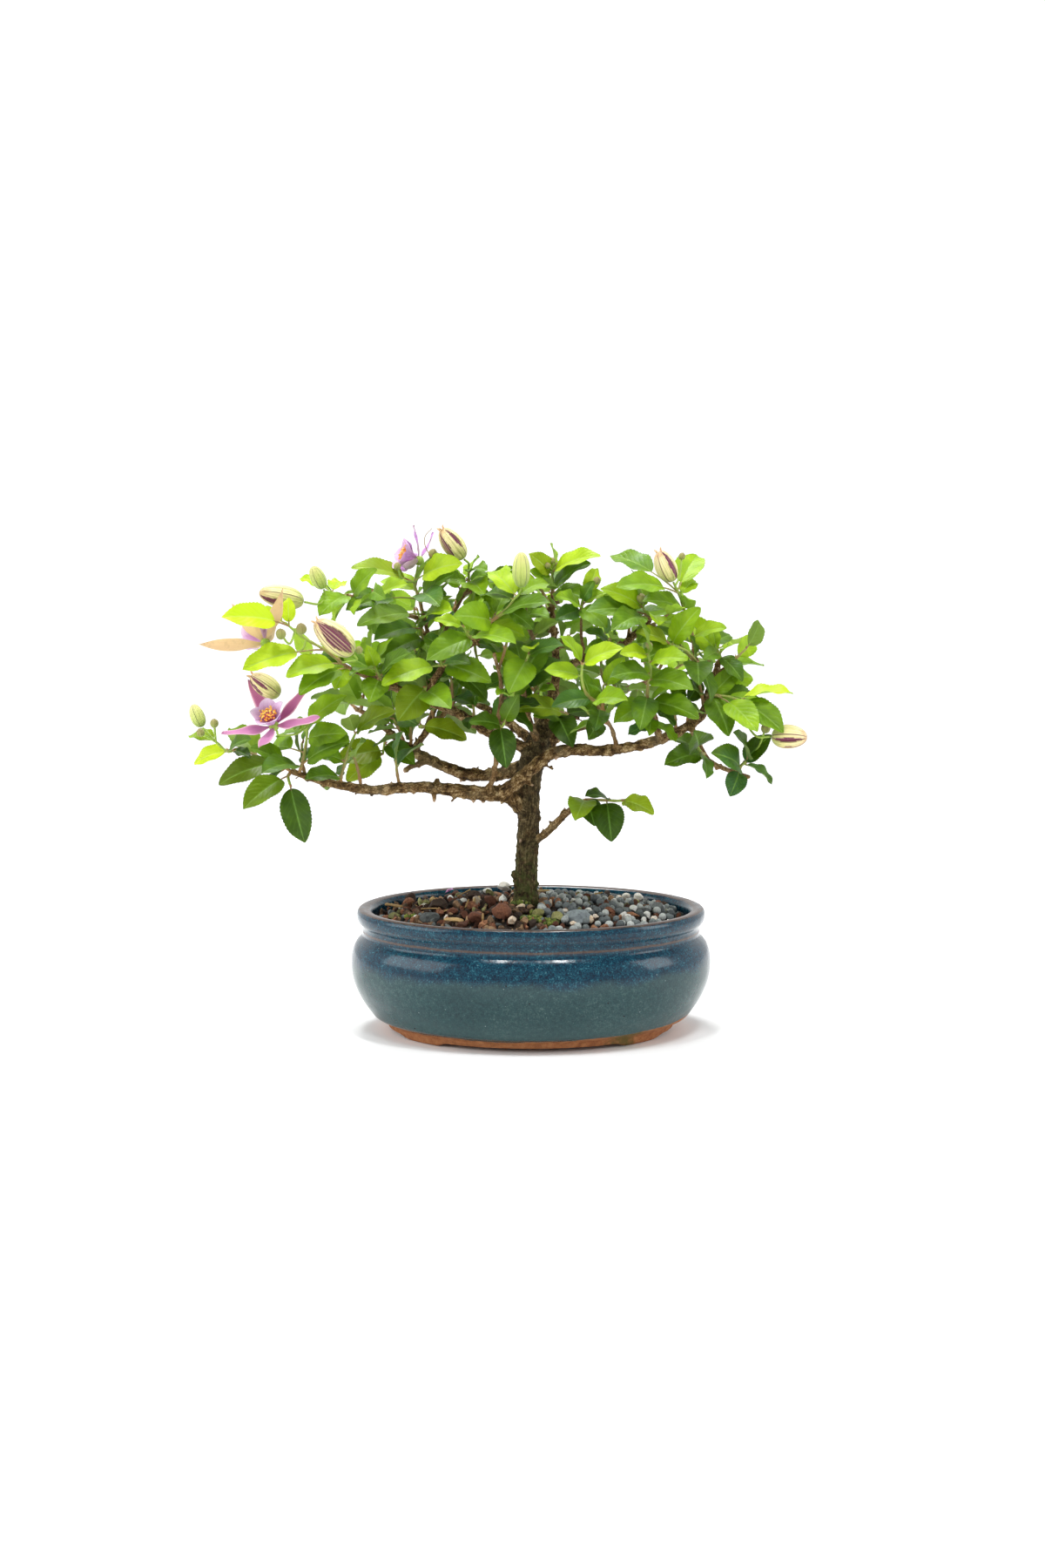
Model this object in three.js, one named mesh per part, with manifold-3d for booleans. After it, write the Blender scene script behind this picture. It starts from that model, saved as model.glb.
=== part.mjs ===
// A small flowering bonsai in an oval glazed pot: pot, soil, wood, leafy sprays, buds and blooms.
// Millimetres. Seen from the front X runs to the right, Y to the back and Z up.
// Every place below is measured from the middle of the pot at the height of the table.
import * as THREE from "three";
import { mergeVertices } from "three/addons/utils/BufferGeometryUtils.js";
import Module from "manifold-3d";

const wasm = await Module();
wasm.setup();

// Driving dimensions of the pot
const POT_DEPTH_SHARE = 0.78; // depth of the oval as a share of its width
const POT_SIDES = 32;
const BELLY_RADIUS = 76.6;
const RIM_RADIUS = 74.2;
const RIM_HEIGHT = 52.4;
const MOUTH_RADIUS = 67;
const FOOT_HEIGHT = 4.2;
const FOOT_RADIUS = 60;
const FOOT_INNER_RADIUS = 52;
const FOOT_GAP_ALONG = 74; // clear length between the feet under the long sides
const FOOT_GAP_ACROSS = 44; // clear length between the feet under the short sides
const FLOOR_TOP = 10.5;
const DRAIN_RADIUS = 5;
const DRAIN_SPACING = 60;

// Driving dimensions of the soil and the trunk
const GAP = 0.35; // between pieces that touch
const SOIL_GAP = 0.75; // from the round of the mouth, so that the facets of both stay apart
const SOIL_EDGE = 47.5;
const SOIL_CROWN = 6.2; // how much higher the soil is in the middle
const SOIL_SIDES = 24;
const PEBBLES = 26;
const TRUNK_X = -2;
const TRUNK_BASE = 38;
const TRUNK_HOLE_RADIUS = 6;
const STONE = { at: [19, -30, 52.4], half: [6.2, 4.4, 3.6] };

// Driving dimensions of leaves, stems and flowers
const FINEST_DETAIL = 0.06; // edges shorter than this are closed up after a join
const LEAF_ROOT = 0.15; // how far a leaf's stalk goes past the middle of its stem
const PETIOLE = 1.6;
const LONGEST_BLADE = 23;
const BLADE_HALF_THICKNESS = 0.45;
const BLADE_CLEARANCE = 1.4; // from the middle of a blade to anything of another piece
const ROD_CLEARANCE = 0.8; // from the skin of wood, stems and buds to a blade
const STALK_CLEARANCE = 0.5; // from the skin of wood, stems and buds to a leaf's stalk
const MOST_ATTEMPTS = 33;
const LEAF_WIDTH_SHARE = 0.54;
const LEAF_ARCH = 0.7; // how far a leaf's midrib turns from base to tip, in radians
const LEAF_FOLD = 0.2; // rise of a leaf's edge for each mm from the midrib
const STEM_SIDES = 3;
const STEM_ROOT_RADIUS = 0.75;
const STEM_TIP_RADIUS = 0.5;
const PEDICEL_RADIUS = 0.45;
const RECEPTACLE_RADIUS = 2.2;
const PETAL_START = 1.1; // from the middle of the receptacle, inside it
const SEPAL_WIDTH = 6.4;
const PETAL_LENGTH = 11.5;
const PETAL_WIDTH = 7;
const PETAL_LEAN = 0.68; // from the flower's axis, in radians
const STAMEN_COUNT = 6;
const STAMEN_HEIGHT = 7.5;

// Woody limbs: name, radii from root to tip, points from root to tip
const LIMBS = [
  ["trunk", [5.6, 5.5, 4.7, 4.5, 4.7, 5.2, 4.6, 2.4],
    [[-2, 0, 38], [-2, 0, 52], [-2, 0, 65], [-1, 0, 86], [-1, 0, 102], [1, 0, 116], [4, 2, 124],
      [7, 6, 133]]],
  ["left_low", [3.6, 3.1, 2.9, 2.2, 2.0, 1.6, 1.2],
    [[-2, 0, 93], [-10, -4, 100], [-24, -10, 102], [-47, -16, 105], [-66, -18, 104], [-86, -20, 108],
      [-99, -20, 112]]],
  ["right_low", [3.2, 2.6, 2.5, 2.1, 2.0, 1.9, 1.5, 1.2],
    [[-13, -6, 100], [-4, -10, 108], [11, -10, 119], [33, -12, 120], [54, -16, 125], [70, -14, 134],
      [74, -12, 145], [78, -10, 157]]],
  ["right_drop", [1.3, 1.1, 1.0, 0.8], [[66, -16, 130], [72, -20, 118], [78, -22, 114], [90, -24, 110]]],
  ["left_mid", [3.0, 2.6, 2.4, 2.2, 1.8, 1.3, 1.0],
    [[1, 2, 114], [-13, 6, 108], [-29, 9, 108], [-49, 14, 116], [-55, 16, 120], [-66, 22, 129],
      [-76, 30, 134]]],
  ["left_fork", [1.6, 1.3, 1.2, 0.9], [[-50, 14, 117], [-44, 12, 126], [-38, 8, 132], [-31, 4, 141]]],
  ["left_leader", [1.4, 1.2, 1.2, 1.0, 0.8],
    [[-45, 12, 125], [-40, 14, 139], [-41, 14, 151], [-43, 13, 164], [-46, 10, 177]]],
  ["mid_left", [2.4, 2.0, 1.9, 1.5, 1.2],
    [[-1, 0, 119], [-16, -6, 126], [-30, -12, 135], [-50, -20, 144], [-73, -30, 155]]],
  ["mid_front", [1.4, 1.3, 1.3, 1.1], [[-44, -17, 142], [-36, -22, 155], [-22, -30, 167], [-18, -32, 173]]],
  ["front_rise", [1.2, 1.0, 0.9, 0.9, 0.7],
    [[-18, -8, 102], [-15, -16, 112], [-14, -24, 130], [-12, -30, 147], [-15, -38, 162]]],
  ["centre", [2.6, 2.2, 1.8, 1.4, 1.0, 0.8],
    [[5, 2, 124], [8, 10, 136], [11, 14, 151], [10, 12, 164], [9, 8, 176], [9, 6, 183]]],
  ["right_top", [1.8, 1.5, 1.4, 1.2], [[11, 14, 150], [25, 0, 159], [38, -10, 164], [49, -16, 174]]],
  ["top_twig", [0.9, 0.7, 0.6], [[23, 3, 157], [21, -4, 167], [21, -8, 177]]],
  ["top_left_twig", [1.2, 0.9, 0.7], [[11, 14, 152], [3, 2, 162], [-2, -10, 174]]],
  ["right_back", [2.2, 1.8, 1.5, 1.0], [[7, 2, 120], [18, 12, 132], [34, 24, 140], [58, 36, 147]]],
  ["back_left", [2.2, 1.7, 1.3, 0.9], [[1, 4, 122], [-15, 22, 132], [-36, 38, 141], [-58, 48, 146]]],
  ["back", [2.0, 1.5, 0.9], [[3, 4, 122], [3, 28, 133], [2, 48, 149]]],
  ["right_twig", [1.0, 0.9, 0.8], [[36, -12, 120], [33, -22, 130], [29, -32, 136]]],
  ["right_rise", [1.4, 1.2, 1.0], [[53, -16, 125], [51, -24, 133], [49, -30, 139]]],
  ["head_twig", [1.6, 1.2, 0.8], [[3, -2, 122], [-1, -14, 134], [-4, -28, 152]]],
  ["head_stub", [1.6, 1.2, 1.2], [[9, 2, 124], [20, -2, 128], [27, -4, 130]]],
  ["left_crown", [1.0, 0.8, 0.6], [[-45, 11, 173], [-58, 2, 177], [-73, -8, 183]]],
  ["crown_twig", [1.1, 0.8, 0.6], [[-42, 14, 156], [-34, 12, 173], [-26, 6, 187]]],
  ["right_crown", [1.0, 0.8, 0.7], [[74, -12, 145], [70, -14, 154], [67, -14, 161]]],
  ["sprout", [1.9, 1.5, 1.3, 1.1], [[-1, 0, 78], [8, -8, 86], [15, -14, 94], [21, -18, 99]]],
  ["cut_stub", [1.5, 1.2, 1.1], [[-44, 12, 113], [-50, 10, 111], [-54, 8, 109]]],
  ["spur_low", [1.2, 0.7], [[-40, -15, 104], [-40, -18, 99]]],
  ["spur_high", [1.6, 1.0], [[-39, -15, 105], [-39, -12, 108]]],
  ["spur_inner", [1.0, 0.6], [[-23, -10, 101], [-24, -12, 98]]],
];

// Leafy sprays: name, limb that carries it, usual leaf length, count of leaves set by the rule,
// stem points, and the leaves that are placed one by one. Each of those gives its share of the way
// along the stem, its tip, how far it faces the front in degrees, and its width share if unusual.
const SPRAYS = [
  ["left_end", "left_low", 18, 2,
    [[-102, -20, 114], [-110, -20, 117], [-120, -18, 121], [-125, -18, 120], [-130, -18, 124]],
    [[0.15, -114, -34, 123, 45], [0.3, -128, -26, 107, 45], [0.78, -140, -12, 114, 40],
      [0.8, -114, -28, 126, 40], [0.72, -115, -34, 118, 30], [0.45, -126, -8, 128, 30]]],
  ["left_hanging", "left_low", 20, 0,
    [[-100, -22, 110], [-99, -24, 107]],
    [[1, -93, -26, 83, 85, 0.56], [0.3, -116, -36, 99, 50]]],
  ["left_rise", "left_low", 18, 2,
    [[-94, -22, 116], [-92, -26, 124], [-91, -30, 132]],
    [[0.15, -108, -42, 114, 40], [0.2, -73, -36, 126, 50], [0.75, -74, -24, 129, 60],
      [1, -75, -30, 144, 40], [0.9, -104, -8, 125, 45], [0.5, -112, -14, 118, 40]]],
  ["left_shoot", "left_low", 18, 2,
    [[-78, -20, 111], [-75, -22, 121], [-72, -24, 128]],
    [[0.1, -92, -34, 110, 35], [1, -55, -34, 138, 40], [0.5, -88, -34, 120, 50], [0.1, -86, -12, 102, 15]]],
  ["low_light", "left_mid", 18, 0,
    [[-62, 16, 123], [-63, 10, 116]],
    [[1, -78, 4, 105, 55, 0.62], [0.9, -82, 2, 114, 55, 0.6], [0.7, -49, 4, 112, 50]]],
  ["flower_shoot", "mid_left", 19, 2,
    [[-76, -32, 157], [-83, -37, 163], [-91, -40, 168], [-98, -43, 174]],
    [[0.95, -121, -46, 177, 30], [0.5, -114, -54, 156, 45],
      [0.95, -97, -34, 184, 70], [0.25, -97, -52, 153, 40], [0.05, -92, -46, 146, 40],
      [0.1, -79, -50, 147, 70, 0.7], [0.3, -84, -18, 174, 40]]],
  ["bud_shoot", "left_crown", 16, 2,
    [[-76, -9, 184], [-80, -11, 184], [-83, -12, 186]],
    [[0.3, -86, -26, 176, 35], [0.05, -63, -14, 195, 50], [0.9, -79, 2, 189, 40]]],
  ["leader_top", "left_leader", 21, 1,
    [[-47, 9, 182], [-49, 8, 188], [-48, 8, 193]],
    [[0.3, -76, -8, 178, 40], [0.15, -31, -8, 193, 45], [0.7, -75, -4, 195, 30],
      [0.75, -28, -2, 197, 35], [0.5, -64, 22, 189, 30], [0.4, -37, -16, 180, 60]]],
  ["leader_low", "left_leader", 20, 1,
    [[-45, 4, 165], [-46, -4, 171], [-44, -10, 176]],
    [[0.2, -62, -10, 158, 50], [0.6, -64, -24, 166, 40], [1, -71, -24, 172, 35], [0.9, -32, -26, 178, 45]]],
  ["crown_left", "crown_twig", 18, 1,
    [[-26, 5, 190], [-26, 3, 195]],
    [[0.8, -18, -10, 194, 35], [0.3, -19, -14, 184, 55], [0.4, -38, -12, 190, 50], [0.1, -12, 20, 189, 30]]],
  ["front_low", "mid_front", 20, 1,
    [[-36, -26, 156], [-37, -30, 159]],
    [[0.2, -16, -40, 150, 55], [0.5, -60, -40, 149, 40], [0.2, -18, -26, 142, 30]]],
  ["front_mid", "mid_front", 20, 1,
    [[-25, -33, 168], [-27, -36, 172]],
    [[0.1, -42, -44, 159, 55], [0.3, -6, -44, 166, 30], [1, -39, -38, 175, 40]]],
  ["front_top", "mid_front", 20, 1,
    [[-15, -33, 175], [-10, -35, 179], [-7, -37, 183], [-5, -38, 185]],
    [[0.15, -31, -48, 177, 70, 0.6], [0.3, 8, -46, 182, 30], [0.9, -17, -34, 194, 30],
      [0.5, 1, -52, 171, 45], [0.75, -20, -20, 184, 30], [0.9, 7, -28, 189, 30]]],
  ["front_hanging", "front_rise", 18, 0,
    [[-12, -28, 131], [-11, -30, 133]],
    [[0.2, -10, -36, 115, 80, 0.6], [1, -5, -36, 145, 70], [0.6, -25, -38, 134, 50]]],
  ["mid_left_a", "mid_left", 18, 2,
    [[-61, -29, 151], [-63, -32, 155]],
    [[0.2, -65, -40, 142, 75, 0.75], [0.6, -48, -38, 162, 35], [1, -66, -38, 165, 60],
      [0.6, -77, -24, 161, 50]]],
  ["mid_left_b", "mid_left", 17, 0,
    [[-44, -22, 144], [-43, -25, 147]],
    [[1, -54, -34, 134, 75, 0.75], [0.7, -32, -38, 140, 60]]],
  ["fork_leaf", "left_fork", 17, 1,
    [[-47, 5, 128], [-46, 2, 129]],
    [[1, -27, 0, 123, 45], [0.4, -60, 20, 131, 50]]],
  ["centre_top", "centre", 19, 2,
    [[9, 5, 186], [9, 4, 191], [9, 3, 194]],
    [[0.8, -1, -2, 201, 60, 0.6], [0.9, 29, -6, 200, 30], [0.3, 25, -12, 197, 30],
      [0.5, -1, -10, 194, 50], [0.1, -4, 18, 187, 30], [0.15, 24, -10, 182, 40]]],
  ["top_buds", "top_twig", 16, 2,
    [[21, -9, 180], [22, -10, 184]],
    [[0.2, 10, -20, 184, 45], [0.6, 26, -14, 190, 50], [0.3, 31, -22, 171, 60], [0.5, 32, 4, 185, 30]]],
  ["top_leaves", "top_left_twig", 18, 4,
    [[-2, -11, 176], [-2, -12, 178]],
    []],
  ["right_crown_a", "right_top", 19, 2,
    [[48, -17, 176], [46, -18, 179]],
    [[1, 28, -24, 187, 45], [0.9, 37, -10, 187, 40], [0.5, 22, -30, 178, 40], [0.1, 32, -40, 171, 50]]],
  ["bud_stem_right", "right_crown", 19, 1,
    [[67, -14, 164], [66, -14, 170], [63, -15, 178], [61, -16, 184], [59, -17, 188]],
    [[0.85, 34, -26, 188, 40], [0.88, 33, 2, 200, 30], [0.9, 70, -10, 200, 40], [0.8, 68, -6, 190, 50],
      [0.6, 45, -28, 182, 35], [0.3, 80, -22, 171, 40]]],
  ["right_crown_b", "right_crown", 19, 2,
    [[68, -20, 157], [63, -25, 162], [56, -29, 165]],
    [[0.95, 68, -36, 180, 50], [0.8, 44, -38, 158, 40], [0.3, 67, -42, 149, 50]]],
  ["right_tip", "right_low", 17, 1,
    [[78, -11, 160], [76, -12, 163]],
    [[0.5, 63, -20, 175, 50], [0.9, 74, -2, 172, 50], [0.4, 83, -18, 164, 30], [0.3, 87, -18, 149, 40]]],
  ["right_side", "right_low", 20, 1,
    [[75, -18, 143], [81, -23, 143], [85, -27, 142]],
    [[0.15, 96, -14, 138, 50], [1, 106, -34, 145, 10], [0.8, 101, -38, 130, 40], [0.4, 90, -40, 131, 50],
      [0.2, 80, -36, 128, 60], [0.1, 86, -4, 154, 40]]],
  ["right_low_a", "right_drop", 17, 1,
    [[86, -26, 115], [90, -28, 119]],
    [[0.1, 81, -32, 103, 80, 0.7], [0.6, 98, -38, 128, 50], [0.8, 81, -38, 130, 40],
      [0.3, 72, -44, 122, 60]]],
  ["right_low_b", "right_drop", 17, 1,
    [[70, -25, 120], [68, -28, 123]],
    [[0.2, 54, -34, 116, 45], [0.3, 56, -12, 122, 12], [1, 65, -44, 131, 75, 0.7]]],
  ["right_front", "right_rise", 19, 3,
    [[47, -35, 143], [47, -38, 149], [48, -40, 154], [47, -40, 161]],
    [[0.1, 33, -44, 134, 45], [0.15, 67, -46, 136, 40], [0.3, 43, -46, 132, 60], [1, 35, -48, 162, 50],
      [0.9, 62, -52, 160, 45], [0.7, 31, -52, 153, 45], [0.6, 64, -54, 148, 45]]],
  ["right_front_low", "right_twig", 19, 2,
    [[26, -40, 142], [22, -46, 146], [20, -51, 152], [20, -54, 158]],
    [[0.1, 25, -44, 131, 60], [0.3, 38, -56, 144, 50], [0.35, 8, -50, 141, 45], [0.8, 5, -54, 156, 50],
      [1, 36, -60, 165, 45]]],
  ["head_front", "trunk", 21, 1,
    [[10, -2, 133], [15, -12, 135]],
    [[1, -7, -26, 138, 45], [0.6, 17, -22, 122, 65], [0.9, 30, 2, 132, 40]]],
  ["head_top", "head_twig", 19, 2,
    [[-3, -30, 156], [-1, -33, 161]],
    [[0.8, -9, -44, 146, 75, 0.7], [0.5, -16, -44, 160, 60], [0.9, 13, -42, 165, 40]]],
  ["sprout_leaves", "sprout", 16, 0,
    [[23, -18, 100], [30, -20, 100], [36, -22, 100], [42, -24, 101]],
    [[0.55, 33, -30, 84, 85, 0.7], [0.6, 22, -32, 103, 30], [0.8, 50, -34, 96, 40],
      [0.15, 18, -30, 94, 50], [0.2, 26, -28, 91, 70]]],
  ["back_left_a", "back_left", 20, 5, [[-62, 49, 150], [-72, 50, 156]], []],
  ["back_left_b", "back_left", 20, 6, [[-43, 42, 152], [-47, 41, 165], [-49, 35, 176]], []],
  ["back_left_c", "back_left", 20, 5, [[-21, 28, 146], [-24, 26, 162], [-20, 24, 175]], []],
  ["back_top", "back", 20, 6, [[0, 50, 158], [-4, 46, 170], [-7, 38, 179]], []],
  ["back_mid", "back", 20, 5, [[11, 46, 142], [21, 53, 148]], []],
  ["back_right_a", "right_back", 20, 5, [[64, 38, 151], [73, 36, 157], [81, 29, 160]], []],
  ["back_right_b", "right_back", 20, 6, [[50, 40, 153], [50, 41, 165], [46, 34, 176]], []],
  ["back_right_c", "right_back", 20, 5, [[31, 29, 148], [30, 26, 162], [27, 20, 175]], []],
  ["back_side", "left_mid", 20, 5, [[-80, 34, 138], [-86, 36, 148], [-94, 32, 156]], []],
];

// Large buds: name, spray that carries it, base, tip, half width, points of the stalk on the way
const BUDS = [
  ["bud_top", "crown_left", [-28, -2, 199], [-37, -6, 211], 4.4, [[-26, 1, 197]]],
  ["bud_centre", "front_top", [-4, -39, 188], [-4, -41, 202], 3.5, []],
  ["bud_right", "bud_stem_right", [58, -18, 190], [52, -21, 202], 4.3, []],
  ["bud_left", "flower_shoot", [-71, -46, 162], [-85, -52, 175], 5.4, [[-70, -40, 159]]],
  ["bud_left_high", "bud_shoot", [-92, -30, 182], [-109, -36, 186], 4.5, [[-86, -22, 181]]],
  ["bud_green", "bud_shoot", [-85, -18, 187], [-89, -21, 196], 3.0, [[-84, -15, 183]]],
  ["bud_right_low", "right_side", [97, -37, 128], [111, -40, 128], 4.7, [[87, -31, 134], [91, -35, 128]]],
  ["bud_left_end", "left_end", [-136, -15, 130], [-140, -13, 139], 2.9, [[-133, -16, 127]]],
];

// Small round buds: spray, place, radius, points of the stalk on the way
const SMALL_BUDS = [
  ["left_end", [-136, -20, 128], 1.6, []],
  ["left_end", [-130, -22, 132], 1.7, [[-130, -20, 128]]],
  ["flower_shoot", [-99, -51, 170], 2.0, [[-96, -47, 166]]],
  ["flower_shoot", [-91, -50, 172], 2.1, []],
  ["bud_shoot", [-88, -6, 192], 2.0, [[-83, -8, 186]]],
  ["leader_top", [-41, 2, 201], 1.8, [[-44, 4, 196]]],
  ["leader_top", [-55, -13, 196], 1.5, [[-53, -8, 190]]],
  ["top_buds", [27, -12, 190], 1.5, [[24, -11, 186]]],
  ["right_crown_a", [45, -20, 183], 1.9, []],
  ["right_front", [47, -42, 165], 1.4, []],
  ["right_low_a", [95, -33, 131], 1.9, [[93, -30, 124]]],
  ["bud_stem_right", [62, -12, 200], 1.4, [[61, -14, 192]]],
  ["centre_top", [9, 2, 198], 1.3, []],
  ["centre_top", [7, 0, 196], 1.2, []],
  ["centre_top", [11, 5, 196], 1.2, []],
  ["mid_left_a", [-69, -40, 163], 1.5, []],
];

// Flowers: name, spray that carries it, middle, heart of the stamens, points of the stalk, sepal tips
const FLOWERS = [
  ["flower_open", "left_rise", [-103, -44, 133], [-106, -52, 142], [[-95, -36, 129], [-101, -42, 129]],
    [[-123, -54, 131], [-107, -62, 126], [-83, -58, 138], [-86, -42, 154], [-115, -30, 151]]],
  ["flower_back", "flower_shoot", [-106, -44, 166], [-114, -34, 171], [[-92, -42, 163], [-100, -44, 162]],
    [[-132, -52, 166], [-119, -46, 182], [-98, -48, 189], [-104, -22, 173], [-123, -26, 163]]],
  ["flower_top", "leader_top", [-47, 6, 198], [-54, 4, 201], [],
    [[-49, 2, 213], [-41, 12, 210], [-53, 22, 199], [-57, 10, 194], [-53, -10, 196]]],
];

// Half outlines from base to tip: share of the length and share of the half width
const LEAF_EDGE = [[0, 0.12], [0.2, 0.84], [0.44, 1], [0.6, 0.72]];
const SEPAL_EDGE = [[0, 0.3], [0.28, 0.9], [0.55, 1], [0.82, 0.6]];
const PETAL_EDGE = [[0, 0.25], [0.32, 0.8], [0.6, 1], [0.88, 0.7]];

const COLOURS = {
  pot: { color: 0x1f4a63, roughness: 0.2, metalness: 0 },
  soil: { color: 0x5a463a, roughness: 0.95, metalness: 0 },
  stone: { color: 0x6b7479, roughness: 0.9, metalness: 0 },
  wood: { color: 0x6b5342, roughness: 0.9, metalness: 0 },
  leaf: { color: 0x5f9427, roughness: 0.5, metalness: 0 },
  bud: { color: 0xd6cf7e, roughness: 0.7, metalness: 0 },
  bloom: { color: 0xcf7fc0, roughness: 0.6, metalness: 0 },
  stamens: { color: 0xe88a2e, roughness: 0.7, metalness: 0 },
};

// Vector maths on plain arrays
const add = (a, b) => [a[0] + b[0], a[1] + b[1], a[2] + b[2]];
const sub = (a, b) => [a[0] - b[0], a[1] - b[1], a[2] - b[2]];
const scale = (a, s) => [a[0] * s, a[1] * s, a[2] * s];
const dot = (a, b) => a[0] * b[0] + a[1] * b[1] + a[2] * b[2];
const cross = (a, b) => [a[1] * b[2] - a[2] * b[1], a[2] * b[0] - a[0] * b[2], a[0] * b[1] - a[1] * b[0]];
const length = (a) => Math.sqrt(dot(a, a));
const unit = (a) => scale(a, 1 / length(a));
const across = (a, direction) => sub(a, scale(direction, dot(a, direction)));
const distance = (a, b) => length(sub(a, b));

// A repeatable draw between 0 and 1 from three whole numbers
function draw(a, b, c) {
  let h = Math.imul(a + 11, 374761393) ^ Math.imul(b + 7, 668265263) ^ Math.imul(c + 3, 2246822519);
  h = Math.imul(h ^ (h >>> 13), 1274126177);
  h ^= h >>> 16;
  return (h >>> 0) / 4294967296;
}

// Solids
function solidOf(geometry) {
  const bare = geometry.index ? geometry.clone() : mergeVertices(geometry.clone());
  for (const name of Object.keys(bare.attributes)) {
    if (name !== "position") bare.deleteAttribute(name);
  }
  const merged = mergeVertices(bare, 1e-4);
  const faces = [];
  for (let i = 0; i < merged.index.count; i += 3) {
    const [a, b, c] = [merged.index.array[i], merged.index.array[i + 1], merged.index.array[i + 2]];
    if (a !== b && b !== c && a !== c) faces.push(a, b, c);
  }
  const vertProperties = new Float32Array(merged.attributes.position.array);
  const made = new wasm.Manifold(
    new wasm.Mesh({ numProp: 3, vertProperties, triVerts: new Uint32Array(faces) }),
  );
  if (made.volume() >= 0) return made;
  const turned = [];
  for (let i = 0; i < faces.length; i += 3) turned.push(faces[i], faces[i + 2], faces[i + 1]);
  return new wasm.Manifold(
    new wasm.Mesh({ numProp: 3, vertProperties, triVerts: new Uint32Array(turned) }),
  );
}

// Joins solids and keeps the largest body, without the scraps that a join can leave
function joined(solids) {
  return mainBody(solids.reduce((whole, piece) => whole.add(piece)));
}

function mainBody(solid) {
  const bodies = solid.simplify(FINEST_DETAIL).decompose();
  return bodies.reduce((best, body) => (body.volume() > best.volume() ? body : best));
}

function meshOf(name, solid, look) {
  const { numProp, vertProperties, triVerts } = solid.getMesh();
  const geometry = new THREE.BufferGeometry();
  const positions = new Float32Array((vertProperties.length / numProp) * 3);
  for (let i = 0; i < positions.length / 3; i += 1) {
    positions.set(vertProperties.subarray(i * numProp, i * numProp + 3), i * 3);
  }
  geometry.setAttribute("position", new THREE.BufferAttribute(positions, 3));
  geometry.setIndex(new THREE.BufferAttribute(new Uint32Array(triVerts), 1));
  geometry.computeVertexNormals();
  const mesh = new THREE.Mesh(geometry, new THREE.MeshStandardMaterial(COLOURS[look]));
  mesh.name = name;
  return mesh;
}

function triangles(points, faces) {
  const geometry = new THREE.BufferGeometry();
  geometry.setAttribute("position", new THREE.Float32BufferAttribute(points.flat(), 3));
  geometry.setIndex(faces.flat());
  return geometry;
}

// A profile of radius and height turned about Z and narrowed in depth to the pot's oval
function turnedOval(profile, sides) {
  return new THREE.LatheGeometry(profile, sides).rotateX(Math.PI / 2).scale(1, POT_DEPTH_SHARE, 1);
}

function smoothCurve(points) {
  return new THREE.CatmullRomCurve3(points.map((p) => new THREE.Vector3(...p)), false, "catmullrom", 0.5);
}

// Places along a smooth curve with the radius there and the direction of the curve
function samplesAlong(points, radii, steps) {
  const curve = smoothCurve(points);
  const places = [];
  for (let i = 0; i <= steps; i += 1) {
    const share = i / steps;
    const place = share * (radii.length - 1);
    const low = Math.min(Math.floor(place), radii.length - 2);
    const radius = radii[low] + (radii[low + 1] - radii[low]) * (place - low);
    places.push({ at: curve.getPoint(share).toArray(), radius });
  }
  places.forEach((place, i) => {
    const before = places[Math.max(i - 1, 0)].at;
    const after = places[Math.min(i + 1, steps)].at;
    place.along = unit(sub(after, before));
  });
  return places;
}

// A tapered tube with closed ends: a cylinder bent along the samples
function bentTube(samples, sides) {
  const steps = samples.length - 1;
  const tube = new THREE.CylinderGeometry(1, 1, 1, sides, steps);
  let side = unit(across(Math.abs(samples[0].along[2]) < 0.9 ? [0, 0, 1] : [0, 1, 0], samples[0].along));
  const sidesAt = samples.map(({ along }) => {
    side = unit(across(side, along));
    return side;
  });
  const position = tube.getAttribute("position");
  for (let i = 0; i < position.count; i += 1) {
    const step = Math.round((position.getY(i) + 0.5) * steps);
    const { at, radius, along } = samples[step];
    const up = cross(sidesAt[step], along);
    const place = add(
      at,
      add(scale(sidesAt[step], position.getX(i) * radius), scale(up, position.getZ(i) * radius)),
    );
    position.setXYZ(i, ...place);
  }
  return solidOf(tube);
}

// Leaves, sepals and petals are blades: a curved midrib from base to tip with an outline on both sides.
// The upper face looks up where face is 0, and outward where it is a quarter turn.
function bladePose(base, tip, face, outward, arch, width) {
  const chord = sub(tip, base);
  const e = unit(chord);
  const towards = add([0, 0, Math.cos(face)], scale(outward, Math.sin(face) + 0.1));
  const n = unit(across(towards, e));
  const reach = length(chord);
  const petiole = Math.max(PETIOLE, reach - LONGEST_BLADE);
  return { base, e, n, chord: reach, arch, width, petiole, right: cross(e, n) };
}

function onBlade(pose, share, sideways, lift) {
  const { base, e, n, chord, arch, right } = pose;
  const half = arch / 2;
  const whole = (chord * half) / Math.sin(half);
  const d = add(scale(e, Math.cos(half)), scale(n, Math.sin(half)));
  const m = sub(scale(n, Math.cos(half)), scale(e, Math.sin(half)));
  const along = (whole * Math.sin(arch * share)) / arch;
  const down = (whole * (1 - Math.cos(arch * share))) / arch;
  const normal = add(scale(m, Math.cos(arch * share)), scale(d, Math.sin(arch * share)));
  const rise = lift + Math.abs(sideways) * LEAF_FOLD;
  const rib = add(base, sub(scale(d, along), scale(m, down)));
  return add(rib, add(scale(right, sideways), scale(normal, rise)));
}

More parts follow.
